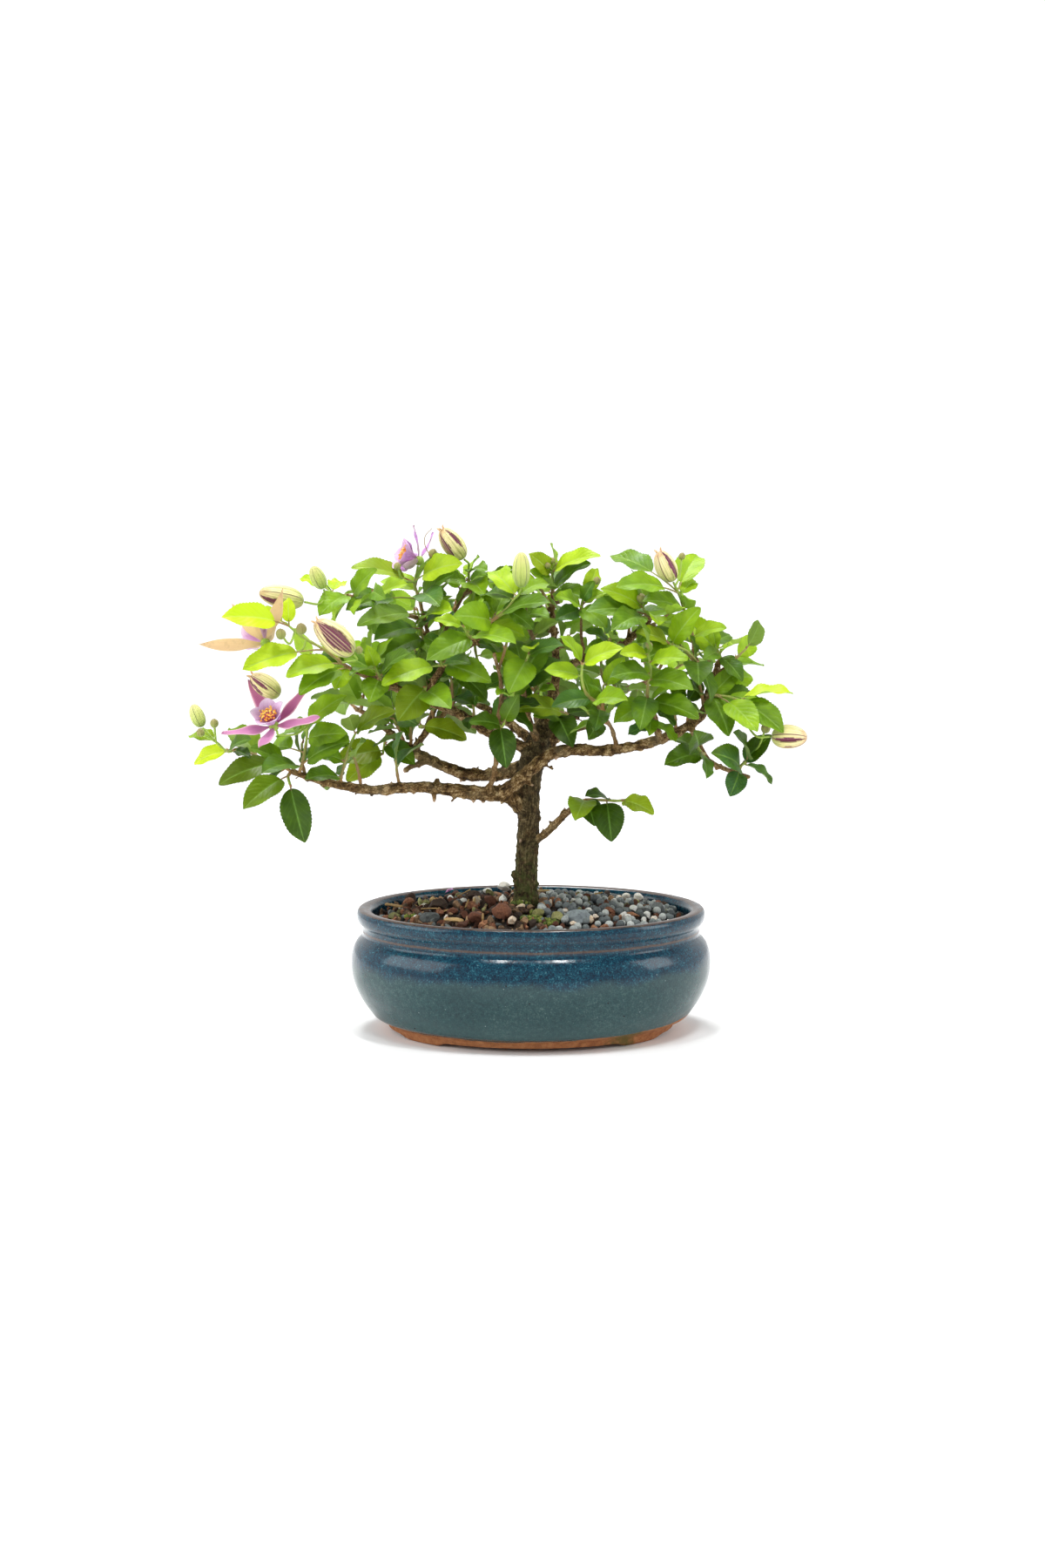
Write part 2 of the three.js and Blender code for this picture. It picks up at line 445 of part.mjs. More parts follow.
function bladeSolid(pose, edge, sunk) {
  const start = pose.petiole / pose.chord;
  const shareAt = (t) => start + (1 - start) * t;
  const half = pose.width / 2;
  const right = edge.map(([t, w]) => onBlade(pose, shareAt(t), w * half, 0));
  const left = edge.map(([t, w]) => onBlade(pose, shareAt(t), -w * half, 0));
  const ribs = [0.08, 0.55].map(shareAt);
  const top = ribs.map((s) => onBlade(pose, s, 0, BLADE_HALF_THICKNESS));
  const bottom = ribs.map((s) => onBlade(pose, s, 0, -BLADE_HALF_THICKNESS));
  const base = onBlade(pose, -sunk / pose.chord, 0, 0);
  const points = [base, ...right, onBlade(pose, 1, 0, 0), ...left.reverse(), ...top, ...bottom];
  const ring = edge.length * 2 + 2;
  const turn = 3; // the outline point on each side that both ribs reach
  const faces = [
    [0, 1, ring - 1],
    [1, ring, ring - 1],
    [1, 0, ring + 2],
    [0, ring - 1, ring + 2],
    [ring, turn, ring + 1],
    [ring, ring + 1, ring - turn],
    [turn, ring + 2, ring + 3],
    [ring + 3, ring + 2, ring - turn],
  ];
  for (let i = 1; i < ring - 1; i += 1) {
    const rib = i < turn || i >= ring - turn ? 0 : 1;
    faces.push([i, i + 1, ring + rib], [i + 1, i, ring + 2 + rib]);
  }
  return solidOf(triangles(points, faces));
}

// The thicket keeps what has been placed, so that a new leaf can be set clear of it
function pierces([p, q], [a, b, c]) {
  const d = sub(q, p);
  const e1 = sub(b, a);
  const e2 = sub(c, a);
  const h = cross(d, e2);
  const det = dot(e1, h);
  if (Math.abs(det) < 1e-9) return false;
  const s = sub(p, a);
  const u = dot(s, h) / det;
  if (u < 0 || u > 1) return false;
  const k = cross(s, e1);
  const v = dot(d, k) / det;
  if (v < 0 || u + v > 1) return false;
  const w = dot(e2, k) / det;
  return w >= 0 && w <= 1;
}

function segmentGap([p, q], [a, b]) {
  const clamp = (v) => Math.min(Math.max(v, 0), 1);
  const d1 = sub(q, p);
  const d2 = sub(b, a);
  const r = sub(p, a);
  const [aa, ee, f, c, bb] = [dot(d1, d1), dot(d2, d2), dot(d2, r), dot(d1, r), dot(d1, d2)];
  const denominator = aa * ee - bb * bb;
  let s = denominator > 1e-9 ? clamp((bb * f - c * ee) / denominator) : 0;
  let t = ee > 1e-9 ? (bb * s + f) / ee : 0;
  if (t < 0 || t > 1) {
    t = clamp(t);
    s = aa > 1e-9 ? clamp((bb * t - c) / aa) : 0;
  }
  return distance(add(p, scale(d1, s)), add(a, scale(d2, t)));
}

function bladePatch(pose, owner) {
  const start = pose.petiole / pose.chord;
  const shareAt = (t) => start + (1 - start) * t;
  const half = pose.width / 2 + 0.3;
  const corner = (t, w) => onBlade(pose, shareAt(t), w * half, 0);
  const neck = corner(0.02, 0);
  const [a, b] = [corner(0.22, 0.95), corner(0.22, -0.95)];
  const [c, d] = [corner(0.6, 0.92), corner(0.6, -0.92)];
  const rib = corner(0.42, 0);
  const tip = onBlade(pose, 1 + 0.3 / pose.chord, 0, 0);
  const outline = [neck, a, c, tip, d, b];
  const edges = outline.map((p, i) => [p, outline[(i + 1) % outline.length]]);
  const stalk = [add(pose.base, scale(pose.e, 0.8)), neck];
  const stations = [[0.02, 0], [0.3, 0.9], [0.3, -0.9], [0.62, 0.85], [0.62, -0.85], [0.98, 0],
    [0.3, 0], [0.62, 0], [0.46, 0.9], [0.46, -0.9], [0.8, 0.45], [0.8, -0.45]];
  const whiskers = stations.map(([t, w]) => {
    const at = corner(t, w);
    const normal = unit(sub(onBlade(pose, shareAt(t), w * half, 1), at));
    return [add(at, scale(normal, BLADE_CLEARANCE)), sub(at, scale(normal, BLADE_CLEARANCE))];
  });
  return {
    owner,
    middle: corner(0.45, 0),
    reach: pose.chord * 0.62,
    faces: [[neck, a, rib], [a, c, rib], [c, tip, rib], [tip, d, rib], [d, b, rib], [b, neck, rib]],
    edges,
    stalk,
    lines: [...edges, ...whiskers, stalk],
  };
}

function rodOf(from, to, radius, owner) {
  const along = unit(sub(to, from));
  const side = unit(across(Math.abs(along[2]) < 0.9 ? [0, 0, 1] : [0, 1, 0], along));
  const other = cross(along, side);
  const reach = radius + ROD_CLEARANCE;
  const lines = [[from, to]];
  for (const share of [0, 0.5, 1]) {
    const at = add(from, scale(sub(to, from), share));
    for (const way of [side, other]) {
      lines.push([add(at, scale(way, reach)), sub(at, scale(way, reach))]);
    }
  }
  const middle = add(from, scale(sub(to, from), 0.5));
  return { owner, from, to, radius, lines, middle, reach: distance(from, to) / 2 + radius };
}

class Thicket {
  constructor() {
    this.patches = [];
    this.rods = [];
  }

  addRods(samples, owner) {
    for (let i = 1; i < samples.length; i += 1) {
      this.rods.push(rodOf(samples[i - 1].at, samples[i].at, samples[i].radius, owner));
    }
  }

  isClear(patch) {
    const near = (other) => distance(other.middle, patch.middle) < other.reach + patch.reach + 1.5;
    for (const other of this.patches) {
      if (!near(other)) continue;
      if (other.lines.some((line) => patch.faces.some((face) => pierces(line, face)))) return false;
      if (patch.lines.some((line) => other.faces.some((face) => pierces(line, face)))) return false;
    }
    for (const rod of this.rods) {
      if (rod.owner === patch.owner || !near(rod)) continue;
      if (rod.lines.some((line) => patch.faces.some((face) => pierces(line, face)))) return false;
      const axis = [rod.from, rod.to];
      if (patch.edges.some((edge) => segmentGap(edge, axis) < rod.radius + ROD_CLEARANCE)) return false;
      if (segmentGap(patch.stalk, axis) < rod.radius + STALK_CLEARANCE) return false;
    }
    return true;
  }
}

// Limbs and stems
function limbSamples([, radii, points]) {
  return samplesAlong(points, radii, Math.ceil((points.length - 1) * 1.4));
}

function nearestOn(samples, place) {
  let best = null;
  for (let i = 1; i < samples.length; i += 1) {
    const [from, to] = [samples[i - 1], samples[i]];
    const run = sub(to.at, from.at);
    const share = Math.min(Math.max(dot(sub(place, from.at), run) / dot(run, run), 0), 1);
    const at = add(from.at, scale(run, share));
    const gap = distance(at, place);
    if (best && gap >= best.gap) continue;
    best = {
      at,
      gap,
      radius: from.radius + (to.radius - from.radius) * share,
      along: to.along,
      atEnd: i === samples.length - 1 && share === 1,
    };
  }
  return best;
}

// Where a stem begins, just clear of the limb that carries it
function stemStart(limb, first) {
  const root = nearestOn(limb, first);
  const way = unit(sub(first, root.at));
  const forward = dot(way, root.along);
  if (root.atEnd && forward > 0.5) {
    const sine = Math.sqrt(Math.max(0, 1 - forward * forward));
    return add(root.at, scale(way, (GAP + STEM_ROOT_RADIUS * sine) / forward));
  }
  return add(root.at, scale(way, root.radius + GAP));
}

function stemSamples(start, points) {
  const route = [start, ...points];
  return samplesAlong(route, [STEM_ROOT_RADIUS, STEM_TIP_RADIUS], Math.max(route.length - 1, 2));
}

function stalkSamples(stem, way, end) {
  const first = way.length ? way[0] : end;
  const root = nearestOn(stem, first);
  return samplesAlong([root.at, ...way, end], [PEDICEL_RADIUS, PEDICEL_RADIUS], way.length + 1);
}

function pointOnStem(samples, share) {
  const place = share * (samples.length - 1);
  const low = Math.min(Math.floor(place), samples.length - 2);
  const at = add(samples[low].at, scale(sub(samples[low + 1].at, samples[low].at), place - low));
  return { at, along: samples[low].along };
}

// Leaves placed one by one keep their base and slide their tip in depth until they are clear
function placedLeaf(stem, [share, x, y, z, face, widthShare], attempt) {
  const step = attempt % 11;
  const slide = Math.ceil(step / 2) * 3 * (step % 2 ? -1 : 1);
  const lean = face + [0, 25, -25][Math.floor(attempt / 11)];
  const base = pointOnStem(stem, share).at;
  const tip = [x, y + slide, z];
  const width = Math.min(distance(base, tip), LONGEST_BLADE) * (widthShare || LEAF_WIDTH_SHARE);
  return bladePose(base, tip, THREE.MathUtils.degToRad(lean), [0, -1, 0], LEAF_ARCH, width);
}

// Leaves set by the rule stand to both sides of the stem in turn, leaning to the outside of the crown
function ruledLeaf(stem, spray, leaf, count, size, attempt) {
  const chance = (k) => draw(spray, leaf, attempt * 8 + k);
  const share = count === 1 ? 0.6 : 0.12 + (0.88 * leaf) / (count - 1);
  const { at, along } = pointOnStem(stem, share);
  const outward = unit([at[0] / 130, at[1] / 75, 0.001]);
  const up = unit(across(add([0, 0, 1], scale(outward, 0.7)), along));
  const other = cross(along, up);
  const turn = (leaf % 2 ? 1 : -1) * 1.35 + (chance(0) - 0.5) * (1.2 + attempt * 0.35);
  const pitch = 0.75 + 0.5 * chance(1) - (share > 0.95 ? 0.5 : 0);
  const radial = add(scale(up, Math.cos(turn)), scale(other, Math.sin(turn)));
  const way = add(scale(along, Math.cos(pitch)), scale(radial, Math.sin(pitch)));
  const e = unit(sub(way, [0, 0, 0.15 + 0.4 * chance(2)]));
  const reach = size * (0.82 + 0.3 * chance(3)) * (1 - 0.18 * share);
  const face = 0.25 + 0.75 * chance(4);
  const arch = 0.45 + 0.5 * chance(5);
  const width = reach * (LEAF_WIDTH_SHARE - 0.04 + 0.08 * chance(6));
  return bladePose(at, add(at, scale(e, reach)), face, outward, arch, width);
}

function setLeaf(thicket, owner, poseAt) {
  for (let attempt = 0; attempt < MOST_ATTEMPTS; attempt += 1) {
    const pose = poseAt(attempt);
    const patch = bladePatch(pose, owner);
    if (thicket.isClear(patch)) {
      thicket.patches.push(patch);
      return pose;
    }
  }
  return null;
}

// Buds are spindles with five ribs
function budSolid(base, tip, halfWidth) {
  const along = unit(sub(tip, base));
  const side = unit(across(Math.abs(along[2]) < 0.9 ? [0, 0, 1] : [0, 1, 0], along));
  const other = cross(along, side);
  const half = distance(base, tip) / 2;
  const middle = add(base, scale(along, half));
  const ball = new THREE.SphereGeometry(1, 10, 5);
  const position = ball.getAttribute("position");
  for (let i = 0; i < position.count; i += 1) {
    const [x, y, z] = [position.getX(i), position.getY(i), position.getZ(i)];
    const round = Math.hypot(x, z);
    const rib = 1 + 0.08 * Math.cos(5 * Math.atan2(z, x));
    const radius = halfWidth * round ** 0.9 * rib * (1 - 0.1 * y);
    const turn = Math.atan2(z, x);
    const around = add(scale(side, radius * Math.cos(turn)), scale(other, radius * Math.sin(turn)));
    position.setXYZ(i, ...add(add(middle, scale(along, y * half)), around));
  }
  return solidOf(ball);
}

function ballSolid(at, radius) {
  return solidOf(new THREE.IcosahedronGeometry(radius, 0).translate(...at));
}

function ovalSolid({ at, half }, extra) {
  const stone = new THREE.IcosahedronGeometry(1, 1);
  stone.scale(...half.map((h) => h + extra)).translate(...at);
  return solidOf(stone);
}

// Flowers: five long sepals, five shorter petals in front of them, and a tuft of stamens
function sepalPoses(middle, heart, tips) {
  const axis = unit(sub(heart, middle));
  return tips.map((tip) => facing(bladePose(middle, tip, 0, axis, -0.35, SEPAL_WIDTH), axis));
}

// Turns a blade about its midrib until its upper face looks along the given direction
function facing(pose, direction) {
  const n = unit(across(direction, pose.e));
  return { ...pose, n, right: cross(pose.e, n), petiole: RECEPTACLE_RADIUS + 0.2 };
}

function petalPoses(middle, heart, tips) {
  const axis = unit(sub(heart, middle));
  const first = unit(across(sub(tips[0], middle), axis));
  const other = cross(axis, first);
  return tips.map((_, i) => {
    const turn = ((i + 0.5) / tips.length) * Math.PI * 2;
    const radial = add(scale(first, Math.cos(turn)), scale(other, Math.sin(turn)));
    const e = add(scale(axis, Math.cos(PETAL_LEAN)), scale(radial, Math.sin(PETAL_LEAN)));
    const tip = add(middle, scale(e, PETAL_LENGTH));
    return facing(bladePose(middle, tip, 0, axis, 0.3, PETAL_WIDTH), axis);
  });
}

function stamenSolid(middle, heart) {
  const axis = unit(sub(heart, middle));
  const side = unit(across([0, 0, 1], axis));
  const other = cross(axis, side);
  const foot = add(middle, scale(axis, RECEPTACLE_RADIUS + GAP));
  const column = [
    { at: foot, radius: 0.8, along: axis },
    { at: add(foot, scale(axis, 3)), radius: 0.8, along: axis },
  ];
  const pieces = [bentTube(column, 6)];
  for (let i = 0; i < STAMEN_COUNT; i += 1) {
    const turn = i * 2.4;
    const lean = 0.34 * Math.sqrt((i + 0.3) / STAMEN_COUNT);
    const radial = add(scale(side, Math.cos(turn)), scale(other, Math.sin(turn)));
    const way = add(scale(axis, Math.cos(lean)), scale(radial, Math.sin(lean)));
    const end = add(add(foot, scale(axis, 1)), scale(way, STAMEN_HEIGHT - 2));
    const filament = [
      { at: add(foot, scale(axis, 1)), radius: 0.35, along: way },
      { at: end, radius: 0.3, along: way },
    ];
    const anther = new THREE.OctahedronGeometry(0.85).translate(...end);
    pieces.push(bentTube(filament, STEM_SIDES), solidOf(anther));
  }
  return joined(pieces);
}

// The pot: a turned oval with a rim band, a neck, a round belly and four feet
function potSolid() {
  const outline = new THREE.Path();
  outline.moveTo(0, FOOT_HEIGHT);
  outline.lineTo(FOOT_INNER_RADIUS, FOOT_HEIGHT);
  outline.lineTo(FOOT_INNER_RADIUS + 0.5, 0);
  outline.lineTo(FOOT_RADIUS, 0);
  outline.lineTo(FOOT_RADIUS + 1.5, FOOT_HEIGHT);
  outline.lineTo(66.8, 6.4);
  outline.lineTo(70.2, 11);
  outline.bezierCurveTo(73.6, 16, BELLY_RADIUS, 22, BELLY_RADIUS, 29);
  outline.bezierCurveTo(BELLY_RADIUS, 35, 74.6, 39, 71.2, 40.6);
  outline.lineTo(71.9, 42.6);
  outline.lineTo(71.2, 44.2);
  outline.lineTo(73.6, 46.6);
  outline.lineTo(RIM_RADIUS, 49.6);
  outline.lineTo(RIM_RADIUS - 0.8, RIM_HEIGHT - 0.4);
  outline.lineTo(RIM_RADIUS - 2.4, RIM_HEIGHT);
  outline.lineTo(MOUTH_RADIUS + 1.2, RIM_HEIGHT - 0.6);
  outline.lineTo(MOUTH_RADIUS, RIM_HEIGHT - 2.5);
  outline.lineTo(MOUTH_RADIUS, 30);
  outline.bezierCurveTo(MOUTH_RADIUS, 18, 62, FLOOR_TOP, 50, FLOOR_TOP);
  outline.lineTo(0, FLOOR_TOP);
  const body = solidOf(turnedOval(outline.getPoints(2), POT_SIDES));
  const under = FOOT_HEIGHT * 2;
  const along = new THREE.BoxGeometry(FOOT_GAP_ALONG, 200, under);
  const acrossGap = new THREE.BoxGeometry(200, FOOT_GAP_ACROSS, under);
  let pot = body.subtract(solidOf(along)).subtract(solidOf(acrossGap));
  for (const sign of [-1, 1]) {
    const drain = new THREE.CylinderGeometry(DRAIN_RADIUS, DRAIN_RADIUS, 20, 16).rotateX(Math.PI / 2);
    pot = pot.subtract(solidOf(drain.translate((sign * DRAIN_SPACING) / 2, 0, FLOOR_TOP / 2)));
  }
  return pot;
}

function soilHeight(x, y) {
  const radius = MOUTH_RADIUS - SOIL_GAP;
  return SOIL_EDGE + SOIL_CROWN * (1 - (x / radius) ** 2 - (y / (radius * POT_DEPTH_SHARE)) ** 2);
}

function soilSolid() {
  const radius = MOUTH_RADIUS - SOIL_GAP;
  const outline = new THREE.Path();
  outline.moveTo(0, FLOOR_TOP + GAP);
  outline.lineTo(49, FLOOR_TOP + GAP);
  outline.bezierCurveTo(60.5, FLOOR_TOP + GAP + 0.4, radius - 0.4, 19, radius, 30.5);
  outline.lineTo(radius, SOIL_EDGE);
  for (const share of [0.66, 0.33, 0]) {
    outline.lineTo(radius * share, soilHeight(radius * share, 0));
  }
  const pieces = [solidOf(turnedOval(outline.getPoints(2), SOIL_SIDES))];
  for (let i = 0; i < PEBBLES; i += 1) {
    const turn = i * 2.39996;
    const share = Math.sqrt((i + 0.7) / PEBBLES) * 0.93;
    const x = radius * share * Math.cos(turn) + (draw(90, i, 1) - 0.5) * 3;
    const y = radius * share * Math.sin(turn) * POT_DEPTH_SHARE + (draw(90, i, 2) - 0.5) * 3;
    const size = x < 0 ? 2 + 2.2 * draw(90, i, 3) : 1.7 + 1.3 * draw(90, i, 3);
    const stretch = x < 0 ? 1.35 : 1.05;
    const edge = Math.hypot(x, y / POT_DEPTH_SHARE) + size * stretch;
    if (edge > radius - 0.5) continue;
    const pebble = new THREE.IcosahedronGeometry(size, 0);
    pebble.rotateX(draw(90, i, 4) * 3).scale(stretch, 1, 0.8).rotateZ(draw(90, i, 5) * 6);
    pieces.push(solidOf(pebble.translate(x, y, soilHeight(x, y) + size * 0.15)));
  }
  const hole = new THREE.CylinderGeometry(TRUNK_HOLE_RADIUS, TRUNK_HOLE_RADIUS, 40, 20).rotateX(Math.PI / 2);
  hole.translate(TRUNK_X, 0, TRUNK_BASE - GAP + 20);
  const pockets = solidOf(hole).add(ovalSolid(STONE, GAP));
  return mainBody(joined(pieces).subtract(pockets));
}

function sidesFor(name) {
  if (name === "trunk") return 9;
  if (["left_low", "right_low", "left_mid", "mid_left"].includes(name)) return 6;
  return 4;
}

// Everything is placed first, in one order: wood, stems, stalks, buds, flowers, then the leaves
const thicket = new Thicket();
const limbs = {};
for (const row of LIMBS) {
  limbs[row[0]] = limbSamples(row);
  thicket.addRods(limbs[row[0]], "wood");
}

const sprays = {};
for (const [name, limb, , , points] of SPRAYS) {
  const stem = stemSamples(stemStart(limbs[limb], points[0]), points);
  sprays[name] = { stem, pieces: [bentTube(stem, STEM_SIDES)] };
  thicket.addRods(stem, name);
}

function addStalk(spray, way, end) {
  const stalk = stalkSamples(sprays[spray].stem, way, end);
  sprays[spray].pieces.push(bentTube(stalk, STEM_SIDES));
  thicket.addRods(stalk, spray);
}

const buds = {};
for (const [name, spray, base, tip, halfWidth, way] of BUDS) {
  const along = unit(sub(tip, base));
  addStalk(spray, way, sub(base, scale(along, GAP + 0.2)));
  buds[name] = budSolid(base, tip, halfWidth);
  const inset = scale(along, halfWidth * 0.3);
  thicket.rods.push(rodOf(add(base, inset), sub(tip, inset), halfWidth * 1.05, name));
}
for (const [spray, at, radius, way] of SMALL_BUDS) {
  addStalk(spray, way, at);
  sprays[spray].pieces.push(ballSolid(at, radius));
  thicket.rods.push(rodOf(at, add(at, [0, 0, 0.1]), radius, spray));
}

const flowers = {};
for (const [name, spray, middle, heart, way, tips] of FLOWERS) {
  const last = way.length ? way[way.length - 1] : pointOnStem(sprays[spray].stem, 1).at;
  const arrive = unit(sub(middle, last));
  addStalk(spray, way, sub(middle, scale(arrive, RECEPTACLE_RADIUS + GAP)));
  const sepals = sepalPoses(middle, heart, tips);
  const petals = petalPoses(middle, heart, tips);
  for (const pose of [...sepals, ...petals]) thicket.patches.push(bladePatch(pose, name));
  thicket.rods.push(rodOf(middle, heart, RECEPTACLE_RADIUS, name));
  flowers[name] = {
    bloom: joined([
      ballSolid(middle, RECEPTACLE_RADIUS),
      ...sepals.map((pose) => bladeSolid(pose, SEPAL_EDGE, -PETAL_START)),
      ...petals.map((pose) => bladeSolid(pose, PETAL_EDGE, -PETAL_START)),
    ]),
    stamens: stamenSolid(middle, heart),
  };
}

SPRAYS.forEach(([name, , , , , leaves]) => {
  const { stem, pieces } = sprays[name];
  for (const leaf of leaves) {
    const pose = setLeaf(thicket, name, (attempt) => placedLeaf(stem, leaf, attempt));
    if (pose) pieces.push(bladeSolid(pose, LEAF_EDGE, LEAF_ROOT));
  }
});
SPRAYS.forEach(([name, , size, count], index) => {
  const { stem, pieces } = sprays[name];
  for (let leaf = 0; leaf < count; leaf += 1) {
    const pose = setLeaf(thicket, name, (attempt) => ruledLeaf(stem, index, leaf, count, size, attempt));
    if (pose) pieces.push(bladeSolid(pose, LEAF_EDGE, LEAF_ROOT));
  }
});

const meshes = [
  meshOf("pot", potSolid(), "pot"),
  meshOf("soil", soilSolid(), "soil"),
  meshOf("stone", ovalSolid(STONE, 0), "stone"),
  meshOf("trunk_and_branches", joined(LIMBS.map(([name]) => bentTube(limbs[name], sidesFor(name)))), "wood"),
  ...SPRAYS.map(([name]) => meshOf("spray_" + name, joined(sprays[name].pieces), "leaf")),
  ...BUDS.map(([name]) => meshOf(name, buds[name], "bud")),
  ...FLOWERS.map(([name]) => meshOf(name, flowers[name].bloom, "bloom")),
  ...FLOWERS.map(([name]) => meshOf(name + "_stamens", flowers[name].stamens, "stamens")),
];

// The part's own origin is below the middle of its box, at the height of the table
const plant = new THREE.Group();
plant.add(...meshes);
const box = new THREE.Box3().setFromObject(plant, true);
plant.position.set(-(box.min.x + box.max.x) / 2, -(box.min.y + box.max.y) / 2, -box.min.z);
const bonsai = new THREE.Group();
bonsai.add(plant);

export default bonsai;
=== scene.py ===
"""A small flowering bonsai in an oval glazed pot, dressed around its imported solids.

Shapes are worked out in millimetres from the middle of the pot at the height of the table, with X to
the right, Y to the back and Z up. The pieces are in metres, in the frame of the solids.
"""

import math
from dataclasses import dataclass, replace

import bmesh
import bpy
import numpy as np
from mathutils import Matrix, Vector, kdtree, noise


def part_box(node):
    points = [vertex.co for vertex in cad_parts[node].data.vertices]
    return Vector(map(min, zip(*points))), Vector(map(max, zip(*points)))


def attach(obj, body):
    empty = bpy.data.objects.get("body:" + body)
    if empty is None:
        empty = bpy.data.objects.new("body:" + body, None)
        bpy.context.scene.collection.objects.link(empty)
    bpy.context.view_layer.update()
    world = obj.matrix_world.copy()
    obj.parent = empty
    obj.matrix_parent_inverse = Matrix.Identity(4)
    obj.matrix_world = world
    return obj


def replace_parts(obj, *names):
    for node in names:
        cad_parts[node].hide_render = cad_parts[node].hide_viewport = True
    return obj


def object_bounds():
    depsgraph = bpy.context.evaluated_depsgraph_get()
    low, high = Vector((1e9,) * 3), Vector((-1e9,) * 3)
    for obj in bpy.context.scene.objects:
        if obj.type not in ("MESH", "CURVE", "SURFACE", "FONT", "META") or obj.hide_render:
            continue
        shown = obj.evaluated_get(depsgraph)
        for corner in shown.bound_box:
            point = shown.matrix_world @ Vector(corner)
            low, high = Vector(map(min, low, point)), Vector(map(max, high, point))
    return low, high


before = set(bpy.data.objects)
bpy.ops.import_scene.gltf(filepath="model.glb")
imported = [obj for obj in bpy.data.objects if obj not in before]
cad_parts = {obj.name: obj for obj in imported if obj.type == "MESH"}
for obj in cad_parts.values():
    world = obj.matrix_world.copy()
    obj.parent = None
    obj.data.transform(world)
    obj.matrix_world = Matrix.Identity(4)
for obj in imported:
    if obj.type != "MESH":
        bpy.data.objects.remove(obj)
CAD_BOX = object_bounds()
POT_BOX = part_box("pot")
MM = 0.001
POT_MIDDLE = (np.array(POT_BOX[0]) + np.array(POT_BOX[1])) / 2 * np.array([1, 1, 0])

# The camera of the photograph, from the middle of the pot in millimetres
EYE = [-3.5, -912, 212]
EYE_DIP = 6.73  # degrees below the horizon
LONG_SIDE = 36  # sensor, mm
FOCAL_LENGTH = 50  # mm

# Sizes shared with the solids, in millimetres and radians
POT_DEPTH_SHARE = 0.78
BELLY_RADIUS = 76.6
RIM_RADIUS = 74.2
RIM_HEIGHT = 52.4
MOUTH_RADIUS = 67
FOOT_HEIGHT = 4.2
FOOT_RADIUS = 60
FOOT_INNER_RADIUS = 52
FOOT_GAP_ALONG = 74
FOOT_GAP_ACROSS = 44
FLOOR_TOP = 10.5
DRAIN_RADIUS = 5
DRAIN_SPACING = 60
GAP = 0.35
SOIL_GAP = 0.75
SOIL_EDGE = 47.5
SOIL_CROWN = 6.2
STONE = [[19, -30, 52.4], [6.2, 4.4, 3.6]]
PETIOLE = 1.6
LONGEST_BLADE = 23
BLADE_CLEARANCE = 1.4
ROD_CLEARANCE = 0.8
STALK_CLEARANCE = 0.5
MOST_ATTEMPTS = 33
LIMB_DETAIL = 1.4  # samples for each stretch between two points of a limb
LEAF_WIDTH_SHARE = 0.54
LEAF_ARCH = 0.7
LEAF_FOLD = 0.2
STEM_ROOT_RADIUS = 0.75
STEM_TIP_RADIUS = 0.5
PEDICEL_RADIUS = 0.45
RECEPTACLE_RADIUS = 2.2
PETAL_START = 1.1
SEPAL_WIDTH = 6.4
PETAL_LENGTH = 11.5
PETAL_WIDTH = 7
PETAL_LEAN = 0.68
STAMEN_HEIGHT = 7.5

